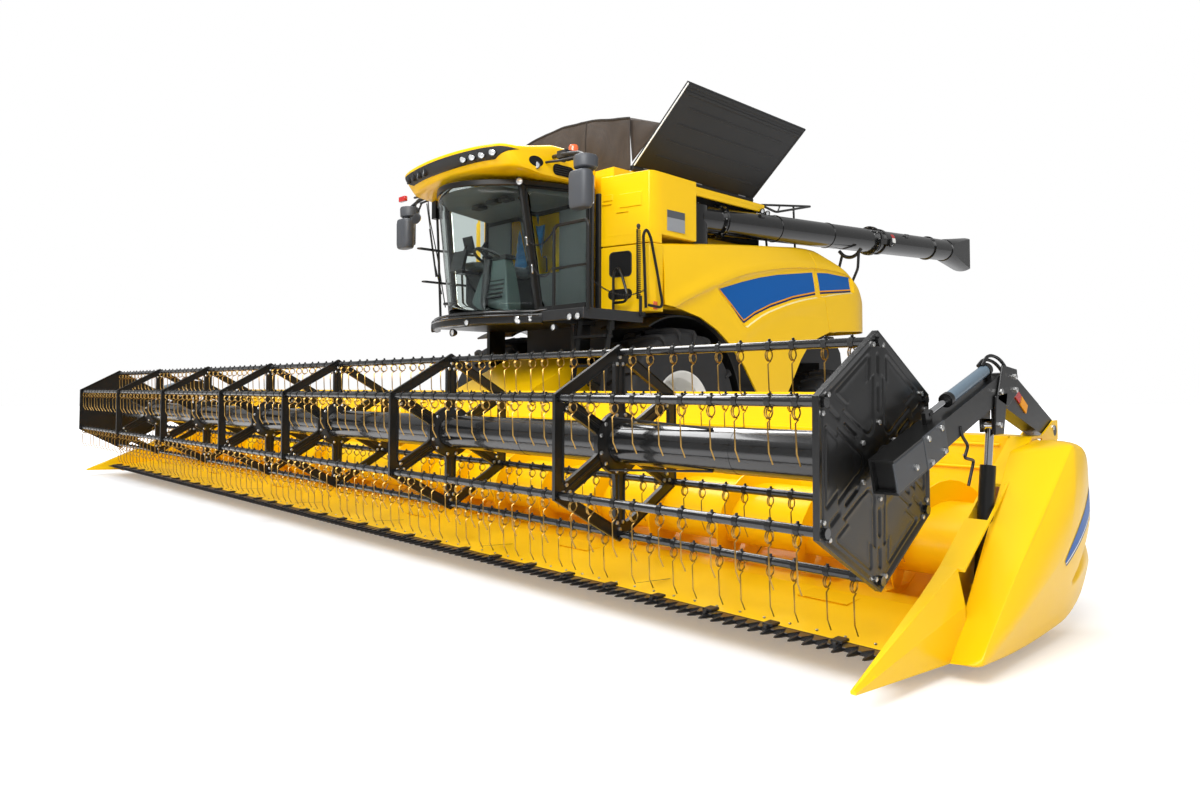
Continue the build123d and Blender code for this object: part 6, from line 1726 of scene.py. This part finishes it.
bumper = {"end": -3.13, "middle": -3.47, "lamps": [(-.90, 2.06, .055), (.22, 2.05, .04), (.86, 2.065, .055),
          (.99, 2.08, .055)]}


def bumperAt(x, z, out=0.0):
    return np.stack(np.broadcast_arrays(x, bumper["middle"] - out
                                        + (bumper["end"] - bumper["middle"]) * x ** 2, z), -1)


def buildBumper():
    # two tube rails and a dark body on one bow below the windscreen
    bow = np.linspace(-1.06, 1.06, 33)
    body = alongPath(bumperAt(bow, 2.075), np.array([(-.045, .05), (-.02, .062), (.05, .05), (.06, 0),
                                                     (.05, -.05),
                                                     (0, -.06), (-.045, -.045)])[::-1], up=(0, 0, 1))
    addMesh("bumperBody", *body, blackPaint, "machine", smooth=50)
    rails = [tubePart(bumperAt(bow, 2.150, .028), .017), tubePart(bumperAt(bow, 2.108, .062), .013),
             tubePart(bumperAt(bow, 2.035, .045), .011)]
    for sign in (1, -1):
        rails.append(tubePart([(sign * 1.02, -3.17, 2.15), (sign * 1.12, -3.09, 2.17),
                               (sign * 1.2, -3.07, 2.15)], .015, .05))
    addParts("bumperRails", rails, tubePaint, smooth=60)
    fascia = [blockPart((.965, -3.13, 2.035), (1.76, -3.095, 2.152)),
              blockPart((1.725, -3.1, 2.035), (1.76, -2.24, 2.152))]
    addParts("platformFascia", fascia, blackPlastic, smooth=30, soft=.012, steps=3)
    lamps = [roundLamp(bumperAt(x, z, .055), (x * .9, -1, 0), r) for x, z, r in bumper["lamps"]]
    lamps += [roundLamp((x, -3.14, z), (.1, -1, 0), .042) for x, z in ((1.555, 2.06), (1.68, 2.062))]
    lamps += [roundLamp((1.27, -3.12, 1.965), (.1, -1, 0), .038),
              roundLamp((-.12, -3.47, 1.955), (0, -1, 0), .045)]
    addParts("bumperLampRims", [rim for rim, lens in lamps], blackPlastic, smooth=40)
    addParts("bumperLampLenses", [lens for rim, lens in lamps], lensGlass, smooth=40)


def chainPart(first, last, sag, link=.030, thick=.0032):
    # oval links along a parabola of that sag, each turned a quarter from the last
    first, last = np.array(first, float), np.array(last, float)
    t = np.linspace(0, 1, 200)
    path = first + (last - first) * t[:, None] - np.outer(4 * sag * t * (1 - t), (0, 0, 1))
    reach = lengthAlong(path)
    count = max(4, int(reach[-1] / (link * .72)))
    parts = []
    a = np.linspace(0, 2 * math.pi, 10, endpoint=False)
    for k, at in enumerate(np.linspace(0, reach[-1], count)):
        centre = np.array([np.interp(at, reach, path[:, c]) for c in range(3)])
        ahead = np.array([np.interp(min(at + .01, reach[-1]), reach, path[:, c]) for c in range(3)])
        behind = np.array([np.interp(max(at - .01, 0), reach, path[:, c]) for c in range(3)])
        t0 = (ahead - behind) / np.linalg.norm(ahead - behind)
        s0 = np.cross(t0, (0, 0, 1))
        s0 /= np.linalg.norm(s0)
        u0 = np.cross(s0, t0)
        wide = s0 if k % 2 else u0
        loop = centre + np.outer(np.cos(a), t0) * link / 2 + np.outer(np.sin(a), wide) * link * .28
        parts.append(alongPath(loop, circleProfile(thick, 5), closed=True, up=np.cross(t0, wide)))
    return joinParts(parts)


def buildMirrors():
    # left and right mirror: a drum over a tall rounded housing, glass to the rear, on a bent arm from the roof
    housing, glasses, arms = [], [], []
    for sign in (1, -1):
        plan = roundRect((1.60, -3.235), (1.885, -3.075), .07, 6)
        rings = [(3.165, .80), (3.185, .93), (3.23, 1.0), (3.50, 1.02), (3.545, .96), (3.56, .82)]
        points = np.concatenate([np.column_stack([(plan - (1.7425, -3.155)) * grow + (1.7425, -3.155),
                                                  np.full(len(plan), z)]) for z, grow in rings])
        count = len(plan)
        faces = gridFaces(6, count, False, True)[:, ::-1].tolist() + [list(range(count))[::-1],
                                                                      list(range(5 * count, 6 * count))]
        drum = turned([(3.585, 0), (3.585, .10), (3.60, .125), (3.70, .13), (3.725, .12), (3.73, .0)],
                      (1.745, -3.09, 0), 2, 32)
        face = slabPart(roundRect((3.21, 1.635), (3.52, 1.85), .03), -3.078, -3.066, 1)
        arm = joinParts([tubePart([(1.05, -2.95, 3.88), (1.25, -3.0, 3.86), (1.6, -3.05, 3.80),
                                   (1.745, -3.09, 3.72)], .022, .06),
                         tubePart([(1.04, -3.06, 3.80), (1.3, -3.03, 3.78), (1.55, -3.05, 3.76)], .014, .05),
                         tubePart([(1.745, -3.10, 3.60), (1.745, -3.15, 3.54)], .03),
                         blockPart((1.20, -3.02, 3.82), (1.34, -2.86, 3.90)),
                         tubePart([(1.55, -3.03, 3.77), (1.66, -3.03, 3.64), (1.68, -3.06, 3.56)],
                                  .012, .03)])
        for store, p in ((housing, (points, faces)), (housing, drum), (glasses, face), (arms, arm)):
            store.append(onSide(p, sign))
    piece = addParts("mirrorHousings", housing, greyDark, smooth=50, soft=.006)
    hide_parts("mirrors")
    addParts("mirrorGlasses", glasses, chrome, smooth=0)
    # wide-angle oval mirror on its stalk at the right side
    dome = turned([(-.02, 0), (-.018, .5), (-.008, .9), (0, 1), (.006, .97), (.008, 0)], (0, 0, 0), 0, 32)
    oval = aimPart(dome, (0, 0, 0), (0, 1, 0))
    oval = (oval[0] * (.105, 1, .07) + (-1.30, -3.26, 3.49), oval[1])
    arms.append(oval)
    arms.append(tubePart([(-1.05, -3.2, 3.76), (-1.28, -3.24, 3.74), (-1.30, -3.27, 3.70),
                          (-1.30, -3.265, 3.50)], .011, .03))
    arms.append(tubePart([(-1.05, -3.25, 3.70), (-1.25, -3.15, 3.80), (-1.7, -3.05, 3.86)], .015, .05))
    addParts("mirrorArms", arms, blackPlastic, smooth=50)
    addMesh("ovalMirrorGlass", oval[0] * (.92, 1, .92) + (-1.30 * .08, .0088, 3.49 * .08), oval[1], chrome,
            "machine", smooth=40)

    # beacons and marker lamps
    base, glow = [], []
    for sign in (1, -1):
        x = sign * 1.27
        base.append(turned([(3.85, 0), (3.85, .05), (3.88, .062), (3.905, .062), (3.915, .055), (3.915, 0)],
                           (x, -2.84, 0), 2, 24))
        glow.append(turned([(3.913, .0), (3.913, .052), (3.965, .055), (3.99, .045), (4.0, .02), (4.002, 0)],
                           (x, -2.84, 0), 2, 24))
        base.append(tubePart([(sign * 1.05, -2.86, 3.90), (x, -2.84, 3.84)], .018))
    addParts("beaconBases", base, blackPlastic, smooth=40)
    addParts("beaconLenses", glow, amberLens, smooth=40)
    addParts("armMarkers", [blockPart((-1.86, -3.20, 3.80), (-1.70, -3.15, 3.87))], redLens, smooth=30,
             soft=.012, steps=3)
    print("mirrors and beacons done")


def buildRodsAndWipers():
    # at the right front corner: the long rod with its foot, wiper arms with a blade and two grab loops; then
    # the gate chains with their hooks, and the antenna
    rods = [tubePart([(-.985, -3.16, 3.72), (-1.0, -3.12, 3.2), (-1.0, -3.075, 2.19)], .016, .2, 10),
            tubePart([(-1.14, -3.0, 2.19), (-.95, -3.14, 2.185)], .014),
            blockPart((-1.03, -3.2, 3.45), (-.94, -3.12, 3.70)),
            tubePart([(-1.0, -3.27, 3.66), (-1.01, -3.24, 3.45), (-.96, -3.15, 2.95), (-.90, -3.07, 2.33)],
                     .007, .05, 8),
            tubePart([(-.95, -3.32, 3.62), (-.99, -3.24, 3.3), (-1.0, -3.17, 2.9), (-.955, -3.09, 2.5)],
                     .007, .05, 8),
            tubePart([(-1.01, -3.235, 3.32), (-1.005, -3.14, 2.72)], .012, 0, 6)]
    for z, first in ((3.06, -3.37), (2.65, -3.30)):
        loop = roundedRoute([(-1.0, first, z), (-1.06, first - .02, z), (-1.06, -2.56, z), (-1.0, -2.56, z),
                             (-1.0, first, z), (-1.02, first, z)], .03, 5)[1:-1]
        rods.append(alongPath(loop, circleProfile(.011, 8), closed=True))
    addParts("cabRods", rods, blackPaint, smooth=60)
    chains = [chainPart((.83, -3.11, 2.95), (1.23, -3.10, 3.0), .09),
              chainPart((.86, -3.05, 2.64), (1.23, -3.10, 2.61), .09)]
    chains.append(chainPart((1.79, -3.08, 2.46), (1.70, -2.14, 2.42), .12))
    addParts("gateChains", chains, knifeSteel, smooth=60)
    hooks = [tubePart([(.79, -3.08, 2.90), (.83, -3.13, 2.90), (.82, -3.14, 3.0), (.78, -3.10, 3.0)], .010,
                      .02, 8),
             tubePart([(.81, -3.03, 2.59), (.85, -3.07, 2.59), (.85, -3.08, 2.69), (.80, -3.05, 2.69)], .010,
                      .02, 8)]
    addParts("chainHooks", hooks, chrome, smooth=60)
    mast = [tubePart([(.662, -2.5, 3.99), (.662, -2.5, 4.73)], .009, 0, 8),
            turned([(3.97, 0), (3.97, .05), (4.0, .045), (4.02, .02), (4.06, .012), (4.06, 0)],
                   (.662, -2.5, 0), 2, 20)]
    addParts("antenna", mast, blackPlastic, smooth=40)


buildRoof()
buildCabFrame()
buildSeat()
buildInside()
buildBumper()
buildMirrors()
buildRodsAndWipers()


# the tank top, the unloading tube, rails

top = {"hinge": (1.22, 3.9344), "angle": math.radians(42), "front": -1.87, "rear": .52,
       "ribs": (.24, .47, .70, .92)}
tube = {"pivot": (1.39, -.93, 3.44), "rise": math.radians(2.6), "yaw": math.radians(4.654)}
coverSheet = finishOf("coverSheet", linear(44, 45, 46), {
    "Gloss": .42, "Drift": .2, "Dust": .08, "Specular IOR Level": .3}, paintFlow, .2, .0008)
clothBrown = finishOf("clothBrown", linear(50, 38, 28), {
    "Roughness": .6, "Threads": 700, "Contrast": .1, "Sheen Weight": .15}, weave, .3, .0008)
clothSeam = finishOf("clothSeam", linear(30, 23, 18), {"Roughness": .7, "Threads": 700}, weave, .3, .0006)


def onCover(across, y, out=0.0):
    # a place on the open left cover's outer face: across from the hinge line, y along it, out of the face
    c, s = math.cos(top["angle"]), math.sin(top["angle"])
    return np.stack(np.broadcast_arrays(top["hinge"][0] + across * c + out * s, y,
                                        top["hinge"][1] + across * s - out * c), -1)


def coverBar(first, last, width, rise, ends=.012):
    # a low pressed bar on the cover's face between two (across, y) places, its ends and sides sloping in
    first, last = np.array(first, float), np.array(last, float)
    t = np.array([0, ends, 1 - ends, 1])[:, None]
    line = first + (last - first) * t
    side = np.array([-(last - first)[1], (last - first)[0]]) / np.linalg.norm(last - first)
    rows = []
    for shift, up in ((-.5, -.001), (-.32, rise), (.32, rise), (.5, -.001)):
        place = line + side * width * shift
        lift = np.array([-.001, up, up, -.001])
        rows.append(onCover(place[:, 0], place[:, 1], lift))
    return np.concatenate(rows), gridFaces(4, 4).tolist()


def buildCovers():
    bars = [coverBar((across, top["front"] + .22), (across, top["rear"] - .22), .030, .007, .02)
            for across in top["ribs"]]
    bars += [coverBar((1.165, top["front"] + .01), (1.165, top["rear"] - .01), .05, .014, .004),
             coverBar((1.085, top["front"] + .03), (1.085, top["rear"] - .03), .05, .009, .008),
             coverBar((.05, top["front"] + .02), (1.15, top["front"] + .02), .035, .008),
             coverBar((.05, top["rear"] - .02), (1.15, top["rear"] - .02), .035, .008)]
    points, faces = joinParts(bars)
    edge = coverBar((.04, top["front"] + .004), (1.19, top["front"] + .004), .014, .011, .004)
    hinge = joinParts([turned([(y, .0), (y, .018), (y + .16, .018), (y + .16, 0)], (1.235, 0, 3.952), 1, 14)
                       for y in (-1.70, -.76, .18)])
    for sign, word in ((1, "left"), (-1, "right")):
        for name, part, finish, body in (("CoverRibs", (points, faces), coverSheet, f"{word}_tank_cover"),
                                         ("CoverEdge", edge, bandWhite, f"{word}_tank_cover"),
                                         ("CoverHinges", hinge, zinc, "machine")):
            piece = addMesh(word + name, *onSide(part, sign), finish, body, smooth=25)
            if name != "CoverHinges":
                towards = piece.data.polygons[4].normal.z
                if towards > 0:
                    piece.data.flip_normals()
        for slot in bpy.data.objects[f"{word}_tank_cover"].material_slots:
            slot.material = coverSheet


def clothPoints(u, v, first, lean, edge):
    outward = -1 if lean < 0 else 1
    # u is the place across in metres and v runs 0-1 from the tank's rim to the hem; the sheet leans with
    # height, bellies out between its seams and carries soft creases that run up from the corners
    hem = np.interp(np.abs(u), *np.array(edge).T)
    z = 3.905 + (hem - 3.905) * v
    belly = .028 * np.sin(np.pi * v) * np.cos(np.clip(u / 1.22, -1, 1) * np.pi / 2) ** .5
    crease = .010 * np.sin(9.0 * u + 3.2 * v) * np.sin(np.pi * v)
    crease = crease + .006 * np.sin(23 * u - 5 * v) * v * (1 - v) * 2.4
    droop = .012 * (1 - np.cos(u * 2 * np.pi / .61)) / 2 * v ** 2
    return np.stack([u, first + lean * v + outward * (belly + crease), z - droop], -1)


def buildCloths():
    # front and rear end sheets in three parts: a middle one on the machine itself, and two corners that stay
    # with their covers
    edge = [(0, 4.70), (.35, 4.69), (.66, 4.645), (1.0, 4.59), (1.22, 4.54), (1.70, 4.366)]
    addParts("tankFrontDeck", [blockPart((-1.19, -2.14, 3.885), (1.19, -1.885, 3.903))], yellowPaint,
             smooth=30, soft=.006)
    for word, first, lean in (("front", -1.888, -.004), ("rear", .545, .004)):
        outward = -1 if lean < 0 else 1
        u, v = np.meshgrid(np.linspace(-1.215, 1.215, 81), np.linspace(0, 1, 31), indexing="ij")
        points = clothPoints(u, v, first, lean, edge).reshape(-1, 3)
        faces = gridFaces(81, 31)
        faces = faces if lean < 0 else faces[:, ::-1]
        piece = addMesh(word + "Cloth", points, faces, clothBrown, "machine", smooth=60)
        if word == "front":
            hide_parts("tank_cloths")
        thicken(piece, .003, 0)
        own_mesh(piece)
        seams = []
        for across in (-.70, .45):
            t = np.linspace(.01, .99, 24)
            line = clothPoints(np.full(24, across), t, first, lean, edge) + (0, .004 * outward, 0)
            seams.append(alongPath(line, boxProfile(.018, .004, .001), up=(0, 1, 0)))
        line = clothPoints(np.linspace(-1.21, 1.21, 60), np.full(60, .985), first, lean,
                           edge) + (0, .004 * outward, 0)
        seams.append(alongPath(line, boxProfile(.004, .03, .001), up=(0, 0, 1)))
        piece = addParts(word + "ClothSeams", seams, clothSeam, smooth=50)
        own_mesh(piece)
        # the corner sheet: from the tank's rim line at x 1.22 to the line where it meets the open cover
        for sign, side in ((1, "left"), (-1, "right")):
            s, t = np.meshgrid(np.linspace(0, 1, 17), np.linspace(0, 1, 17), indexing="ij")
            start = 1.216 - .05 * t
            x = start + (1.70 - start) * s
            cover = 4.012 + (4.366 - 4.012) * s
            hem = np.maximum(np.interp(x, *np.array(edge).T), cover + .004)
            z = cover + (hem - cover) * t
            belly = outward * .012 * np.sin(np.pi * s) * np.sin(np.pi * t)
            y = first - .028 * outward + lean * t * .9 + belly
            points = np.stack([x * sign, y, z], -1).reshape(-1, 3)
            faces = gridFaces(17, 17)
            faces = faces if (lean < 0) == (sign > 0) else faces[:, ::-1]
            piece = addMesh(f"{word}Cloth{side.capitalize()}", points, faces, clothBrown,
                            f"{side}_tank_cover", smooth=60)
            thicken(piece, .003, 0)
    print("covers and cloths done")


def tubeAt(reach, out=0.0, turn=0.0):
    # a place at reach along the tube, out from its centre line at an angle turn from straight up, towards +X
    c, s = math.cos(tube["rise"]), math.sin(tube["rise"])
    along = np.array([math.sin(tube["yaw"]) * c, math.cos(tube["yaw"]) * c, s])
    side = np.array([math.cos(tube["yaw"]), -math.sin(tube["yaw"]), 0])
    lift = np.cross(side, along)
    return np.array(tube["pivot"]) + along * reach + out * (side * math.sin(turn)
                                                            + lift * math.cos(turn)), along


def tubeRing(first, last, radius, sides=48, low=.175):
    # a ring about the tube between two reaches, with its inner edge at low
    part = turned([(0, low), (0, radius), (last - first, radius), (last - first, low)], (0, 0, 0), 0, sides)
    place, along = tubeAt(first)
    return aimPart(part, place, along)


def tubeBlock(reach, turn, size, out):
    # a small block on the tube: size is along, across and high, its foot at out from the centre line
    place, along = tubeAt(reach, out, turn)
    up = (tubeAt(reach, 1, turn)[0] - tubeAt(reach, 0, turn)[0])
    side = np.cross(up, along)
    corners = np.array([(a, b, c) for a in (-.5, .5) for b in (-.5, .5) for c in (0, 1)]) * size
    points = place + corners[:, :1] * along + corners[:, 1:2] * side + corners[:, 2:] * up
    return points, [[0, 1, 3, 2], [4, 6, 7, 5], [0, 4, 5, 1], [2, 3, 7, 6], [0, 2, 6, 4], [1, 5, 7, 3]]


def buildTube():
    rings = [tubeRing(.40, .415, .215), tubeRing(.445, .46, .215), tubeRing(3.86, 3.875, .225),
             tubeRing(3.90, 3.915, .225),
             tubeRing(5.60, 5.625, .20), tubeRing(1.55, 1.562, .188), tubeRing(2.75, 2.762, .188)]
    for turn in np.arange(0, 2 * math.pi, math.pi / 4):
        rings.append(tubeBlock(.43, turn, (.07, .03, .035), .175))
        rings.append(tubeBlock(3.888, turn + .2, (.08, .035, .05), .175))
    rings += [tubeBlock(3.98, 1.75, (.24, .07, .06), .175), tubeBlock(4.10, 1.75, (.05, .11, .09), .175),
              tubeBlock(1.15, .9, (.09, .05, .03), .175), tubeBlock(4.75, .9, (.12, .05, .035), .175)]
    addParts("tubeFlanges", rings, tubePaint, "unloading_auger", smooth=35)
    bolts = []
    for reach, radius in ((.398, .20), (3.858, .207)):
        for turn in np.arange(0, 2 * math.pi, math.pi / 6):
            place, along = tubeAt(reach, radius, turn)
            head = turned([(-.012, 0), (-.012, .009), (.003, .010), (.003, 0)], (0, 0, 0), 0, 6)
            bolts.append(aimPart(head, place, along))
    addParts("tubeBolts", bolts, zinc, "unloading_auger", smooth=30)
    for name, turns, finish in (("tubeBandRed", (.9, 1.3), redLens),
                                ("tubeBandWhite", (1.31, 1.71), bandWhite)):
        a = np.linspace(*turns, 8)
        points = np.array([tubeAt(r, .1815, t)[0] for r in (4.27, 4.36) for t in a])
        addMesh(name, points, gridFaces(2, 8)[:, ::-1], finish, "unloading_auger", smooth=60)
    place, along = tubeAt(4.16, .245, 1.9)
    rim, lens = roundLamp(place, (.5, .2, -1), .045)
    addMesh("tubeLampRim", *rim, blackPlastic, "unloading_auger", smooth=40)
    addMesh("tubeLampLens", *lens, lensGlass, "unloading_auger", smooth=40)
    # the elbow: eight flat sides with a bolted foot ring and a bolted top
    rise = [(2.97, .185), (3.02, .185), (3.03, .172), (3.40, .172), (3.52, .16), (3.62, .10), (3.62, 0)]
    foot = np.array(tube["pivot"]) * (1, 1, 0)
    elbow = [turned([(2.97, 0)] + rise, foot, 2, 10),
             turned([(2.955, 0), (2.955, .215), (2.985, .215), (2.985, 0)], foot, 2, 40)]
    bolts = []
    for low, high, reach, step in ((2.985, 2.998, .2, math.pi / 6), (3.62, 3.632, .07, math.pi / 3)):
        head = [(low, 0), (low, .011), (high, .011), (high, 0)]
        bolts += [turned(head, foot + (reach * math.cos(a), reach * math.sin(a), 0), 2, 6)
                  for a in np.arange(0, 6.2, step)]
    addParts("elbowShell", elbow, blackPaint, "unloading_auger", smooth=20)
    addParts("elbowBolts", bolts, zinc, "unloading_auger", smooth=30)


def buildDeckTrim():
    # rails beside the engine deck, the tube's cradle, near-black blocks under the tube whose colour is painted
    # shade over the machinery there, and the lamps there
    rails = []
    for sign in (1, -1):
        rails += [alongPath(roundedRoute([(sign * 1.40, .48, 3.84), (sign * 1.40, 1.76, 4.02),
                                          (sign * 1.60, .56, 3.72),
                                          (sign * 1.40, .48, 3.84), (sign * 1.40, .9, 3.9)], .05, 5)[1:-1],
                            circleProfile(.016, 8), closed=True),
                  tubePart([(sign * 1.40, .95, 3.90), (sign * 1.60, .60, 3.73)], .012, 0, 8),
                  tubePart([(sign * 1.42, .60, 3.25), (sign * 1.42, .50, 3.84)], .016, 0, 8),
                  tubePart([(sign * 1.42, 1.30, 3.25), (sign * 1.41, 1.28, 3.94)], .016, 0, 8)]
    rails += [tubePart([(1.24, 2.45, 2.95), (1.45, 2.45, 3.12), (1.52, 2.45, 3.36)], .022, .05, 8),
              tubePart([(1.66, 2.45, 2.88), (1.78, 2.45, 3.12), (1.80, 2.45, 3.40)], .022, .05, 8),
              tubePart([(1.47, 2.45, 3.42), (1.55, 2.45, 3.33), (1.66, 2.45, 3.30), (1.76, 2.45, 3.33),
                        (1.84, 2.45, 3.42)],
                       .028, .06, 8)]
    addParts("deckRails", rails, blackPaint, smooth=60)
    # blocks for the machinery under the tube, near black as painted shade
    strip = [blockPart((1.21, -1.15, 3.60), (1.42, .45, 3.735)),
             blockPart((1.21, -.55, 3.28), (1.36, .50, 3.56))]
    strip += [blockPart((1.36, y, 3.32), (1.40, y + .10, 3.5)) for y in (-.5, -.32, -.14, .04, .22)]
    strip = bothSides(strip)
    addParts("underTubePaintedShade", strip, paintedShadeBlack, smooth=30, soft=.01)
    lamps = [roundLamp(place, (1, -.3, -.1), .035) for place in ((1.56, .30, 3.70), (1.56, .42, 3.69))]
    addParts("gutterLampRims", [rim for rim, lens in lamps], blackPlastic, smooth=40)
    addParts("gutterLampLenses", [lens for rim, lens in lamps], lensGlass, smooth=40)
    print("tube, deck rails and lamps done")


buildCovers()
buildCloths()
buildTube()
buildDeckTrim()
# wheels: tyres with bar treads, wheel bolts and hub caps

# x and y are the middle of the left tyre, lugs the number of pairs, faceX where the wheel bolts stand
wheels = [
    {"axle": "front", "x": 1.375, "y": -1.485, "radius": 1.02, "width": .75, "bead": .5, "lugs": 21,
     "height": .048, "boltCircle": .212, "bolts": 12, "hubRadius": .135, "hubStart": 1.398, "hubEnd": 1.47,
     "faceX": 1.375},
    {"axle": "rear", "x": 1.28, "y": 2.15, "radius": .80, "width": .6, "bead": .38, "lugs": 19,
     "height": .038, "boltCircle": .135, "bolts": 8, "hubRadius": .062, "hubStart": 1.345, "hubEnd": 1.40,
     "faceX": 1.30},
]


def tyreCurve(wheel):
    # half of the carcass from the middle of the tread to the bead: crown, round shoulder, bulged side
    half, bead = wheel["width"] / 2, wheel["bead"]
    tread = wheel["radius"] - wheel["height"]
    t = np.linspace(0, 1, 7)
    crown = np.stack([t * half * .80, tread - .022 * t * t], 1)
    a = np.linspace(0, math.pi / 2, 6)[1:]
    shoulder = np.stack([half * .80 + half * .17 * np.sin(a), tread - .022 - half * .20 * (1 - np.cos(a))], 1)
    low = shoulder[-1, 1]
    t = np.linspace(0, 1, 9)[1:]
    sideWall = np.stack([half * (.97 + .055 * np.sin(t * math.pi) - .17 * t ** 2.2),
                         low + (bead + .012 - low) * t], 1)
    return np.concatenate([crown, shoulder, sideWall, [[half * .80, bead + .001]]])


def tyrePart(wheel):
    curve = tyreCurve(wheel)
    # two raised rings on the side
    for place, rise in ((.62, .006), (.30, .008)):
        level = wheel["bead"] + (wheel["radius"] - wheel["bead"]) * place
        curve[:, 0] += rise * np.exp(-((curve[:, 1]
                                        - level) / .014) ** 2) * (curve[:, 1] < wheel["radius"] * .93)
    profile = np.concatenate([curve[::-1] * (-1, 1), curve[1:]])
    carcass = turned(profile, (0, 0, 0), 0, 104)
    carcass = (carcass[0], carcass[1][:-2])
    length = lengthAlong(curve)
    shoulderEnd = length[11]
    s = np.linspace(-.018, shoulderEnd + .045, 12)
    x = np.interp(np.abs(s), length, curve[:, 0]) * np.sign(s)
    r = np.interp(np.abs(s), length, curve[:, 1])
    turn = (.80 * s - .42 * s * s / shoulderEnd) / wheel["radius"]
    path = np.stack([x, r * np.sin(turn), r * np.cos(turn)], -1)
    wide, high = wheel["height"] * .68, wheel["height"]
    bar = [(wide, -.012), (wide * .72, high), (-wide * .72, high), (-wide, -.012)]
    size = np.interp(s, [-.018, shoulderEnd - .06, shoulderEnd + .045], [1, 1, .35])
    lug = alongPath(path, bar, up=(0, 0, 1), scale=size)
    parts = [carcass]
    for k in range(wheel["lugs"]):
        for side in (1, -1):
            parts.append(turnPart(onSide(lug, side), 2 * math.pi
                                  * (k + (0 if side > 0 else .5)) / wheel["lugs"], 0))
    return joinParts(parts)


def buildWheels():
    for wheel in wheels:
        part = tyrePart(wheel)
        for sign, word in ((1, "left"), (-1, "right")):
            name = f"{wheel['axle']}_{word}"
            body = f"{name}_wheel"
            label = wheel["axle"] + word.capitalize()
            centre = np.array([wheel["x"] * sign, wheel["y"], wheel["radius"]])
            tyre = addMesh(label + "Tread", np.array(part[0]) + centre, part[1],
                           tyreRubber, body, smooth=38)
            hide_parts(f"{name}_tyre")
            angles = np.linspace(0, 2 * math.pi, wheel["bolts"], endpoint=False)
            places = [centre + (sign * (wheel["faceX"] - wheel["x"]), wheel["boltCircle"] * math.cos(a),
                                wheel["boltCircle"] * math.sin(a)) for a in angles]
            bolts = boltPart(places, [(sign, 0, 0)] * len(places), .016, .02, 6)
            addMesh(label + "WheelBolts", *bolts, zinc, body)
            start, end, hub = wheel["hubStart"], wheel["hubEnd"], wheel["hubRadius"]
            cap = [(start, hub), (end - .02, hub), (end - .008, hub - .006), (end, hub - .02),
                   (end, hub * .5), (end - .008, hub * .46), (end - .008, .001)]
            cap = onSide(turned(cap, (0, wheel["y"], wheel["radius"]), 0, 40), sign)
            addMesh(label + "HubCap", *cap, framePaint, body)
            rims = []
            for along in (.30, -.30):
                ring = [(along * wheel["width"] + dx, wheel["bead"] - .078 - rise) for dx, rise in
                        ((-.02, 0), (-.012, .008), (.012, .008), (.02, 0))]
                rims.append(turned(ring, centre, 0, 72))
            addParts(label + "RimBeads", [(r[0], r[1][:-2]) for r in rims], whiteRim, body)


buildWheels()
print("wheels ready")
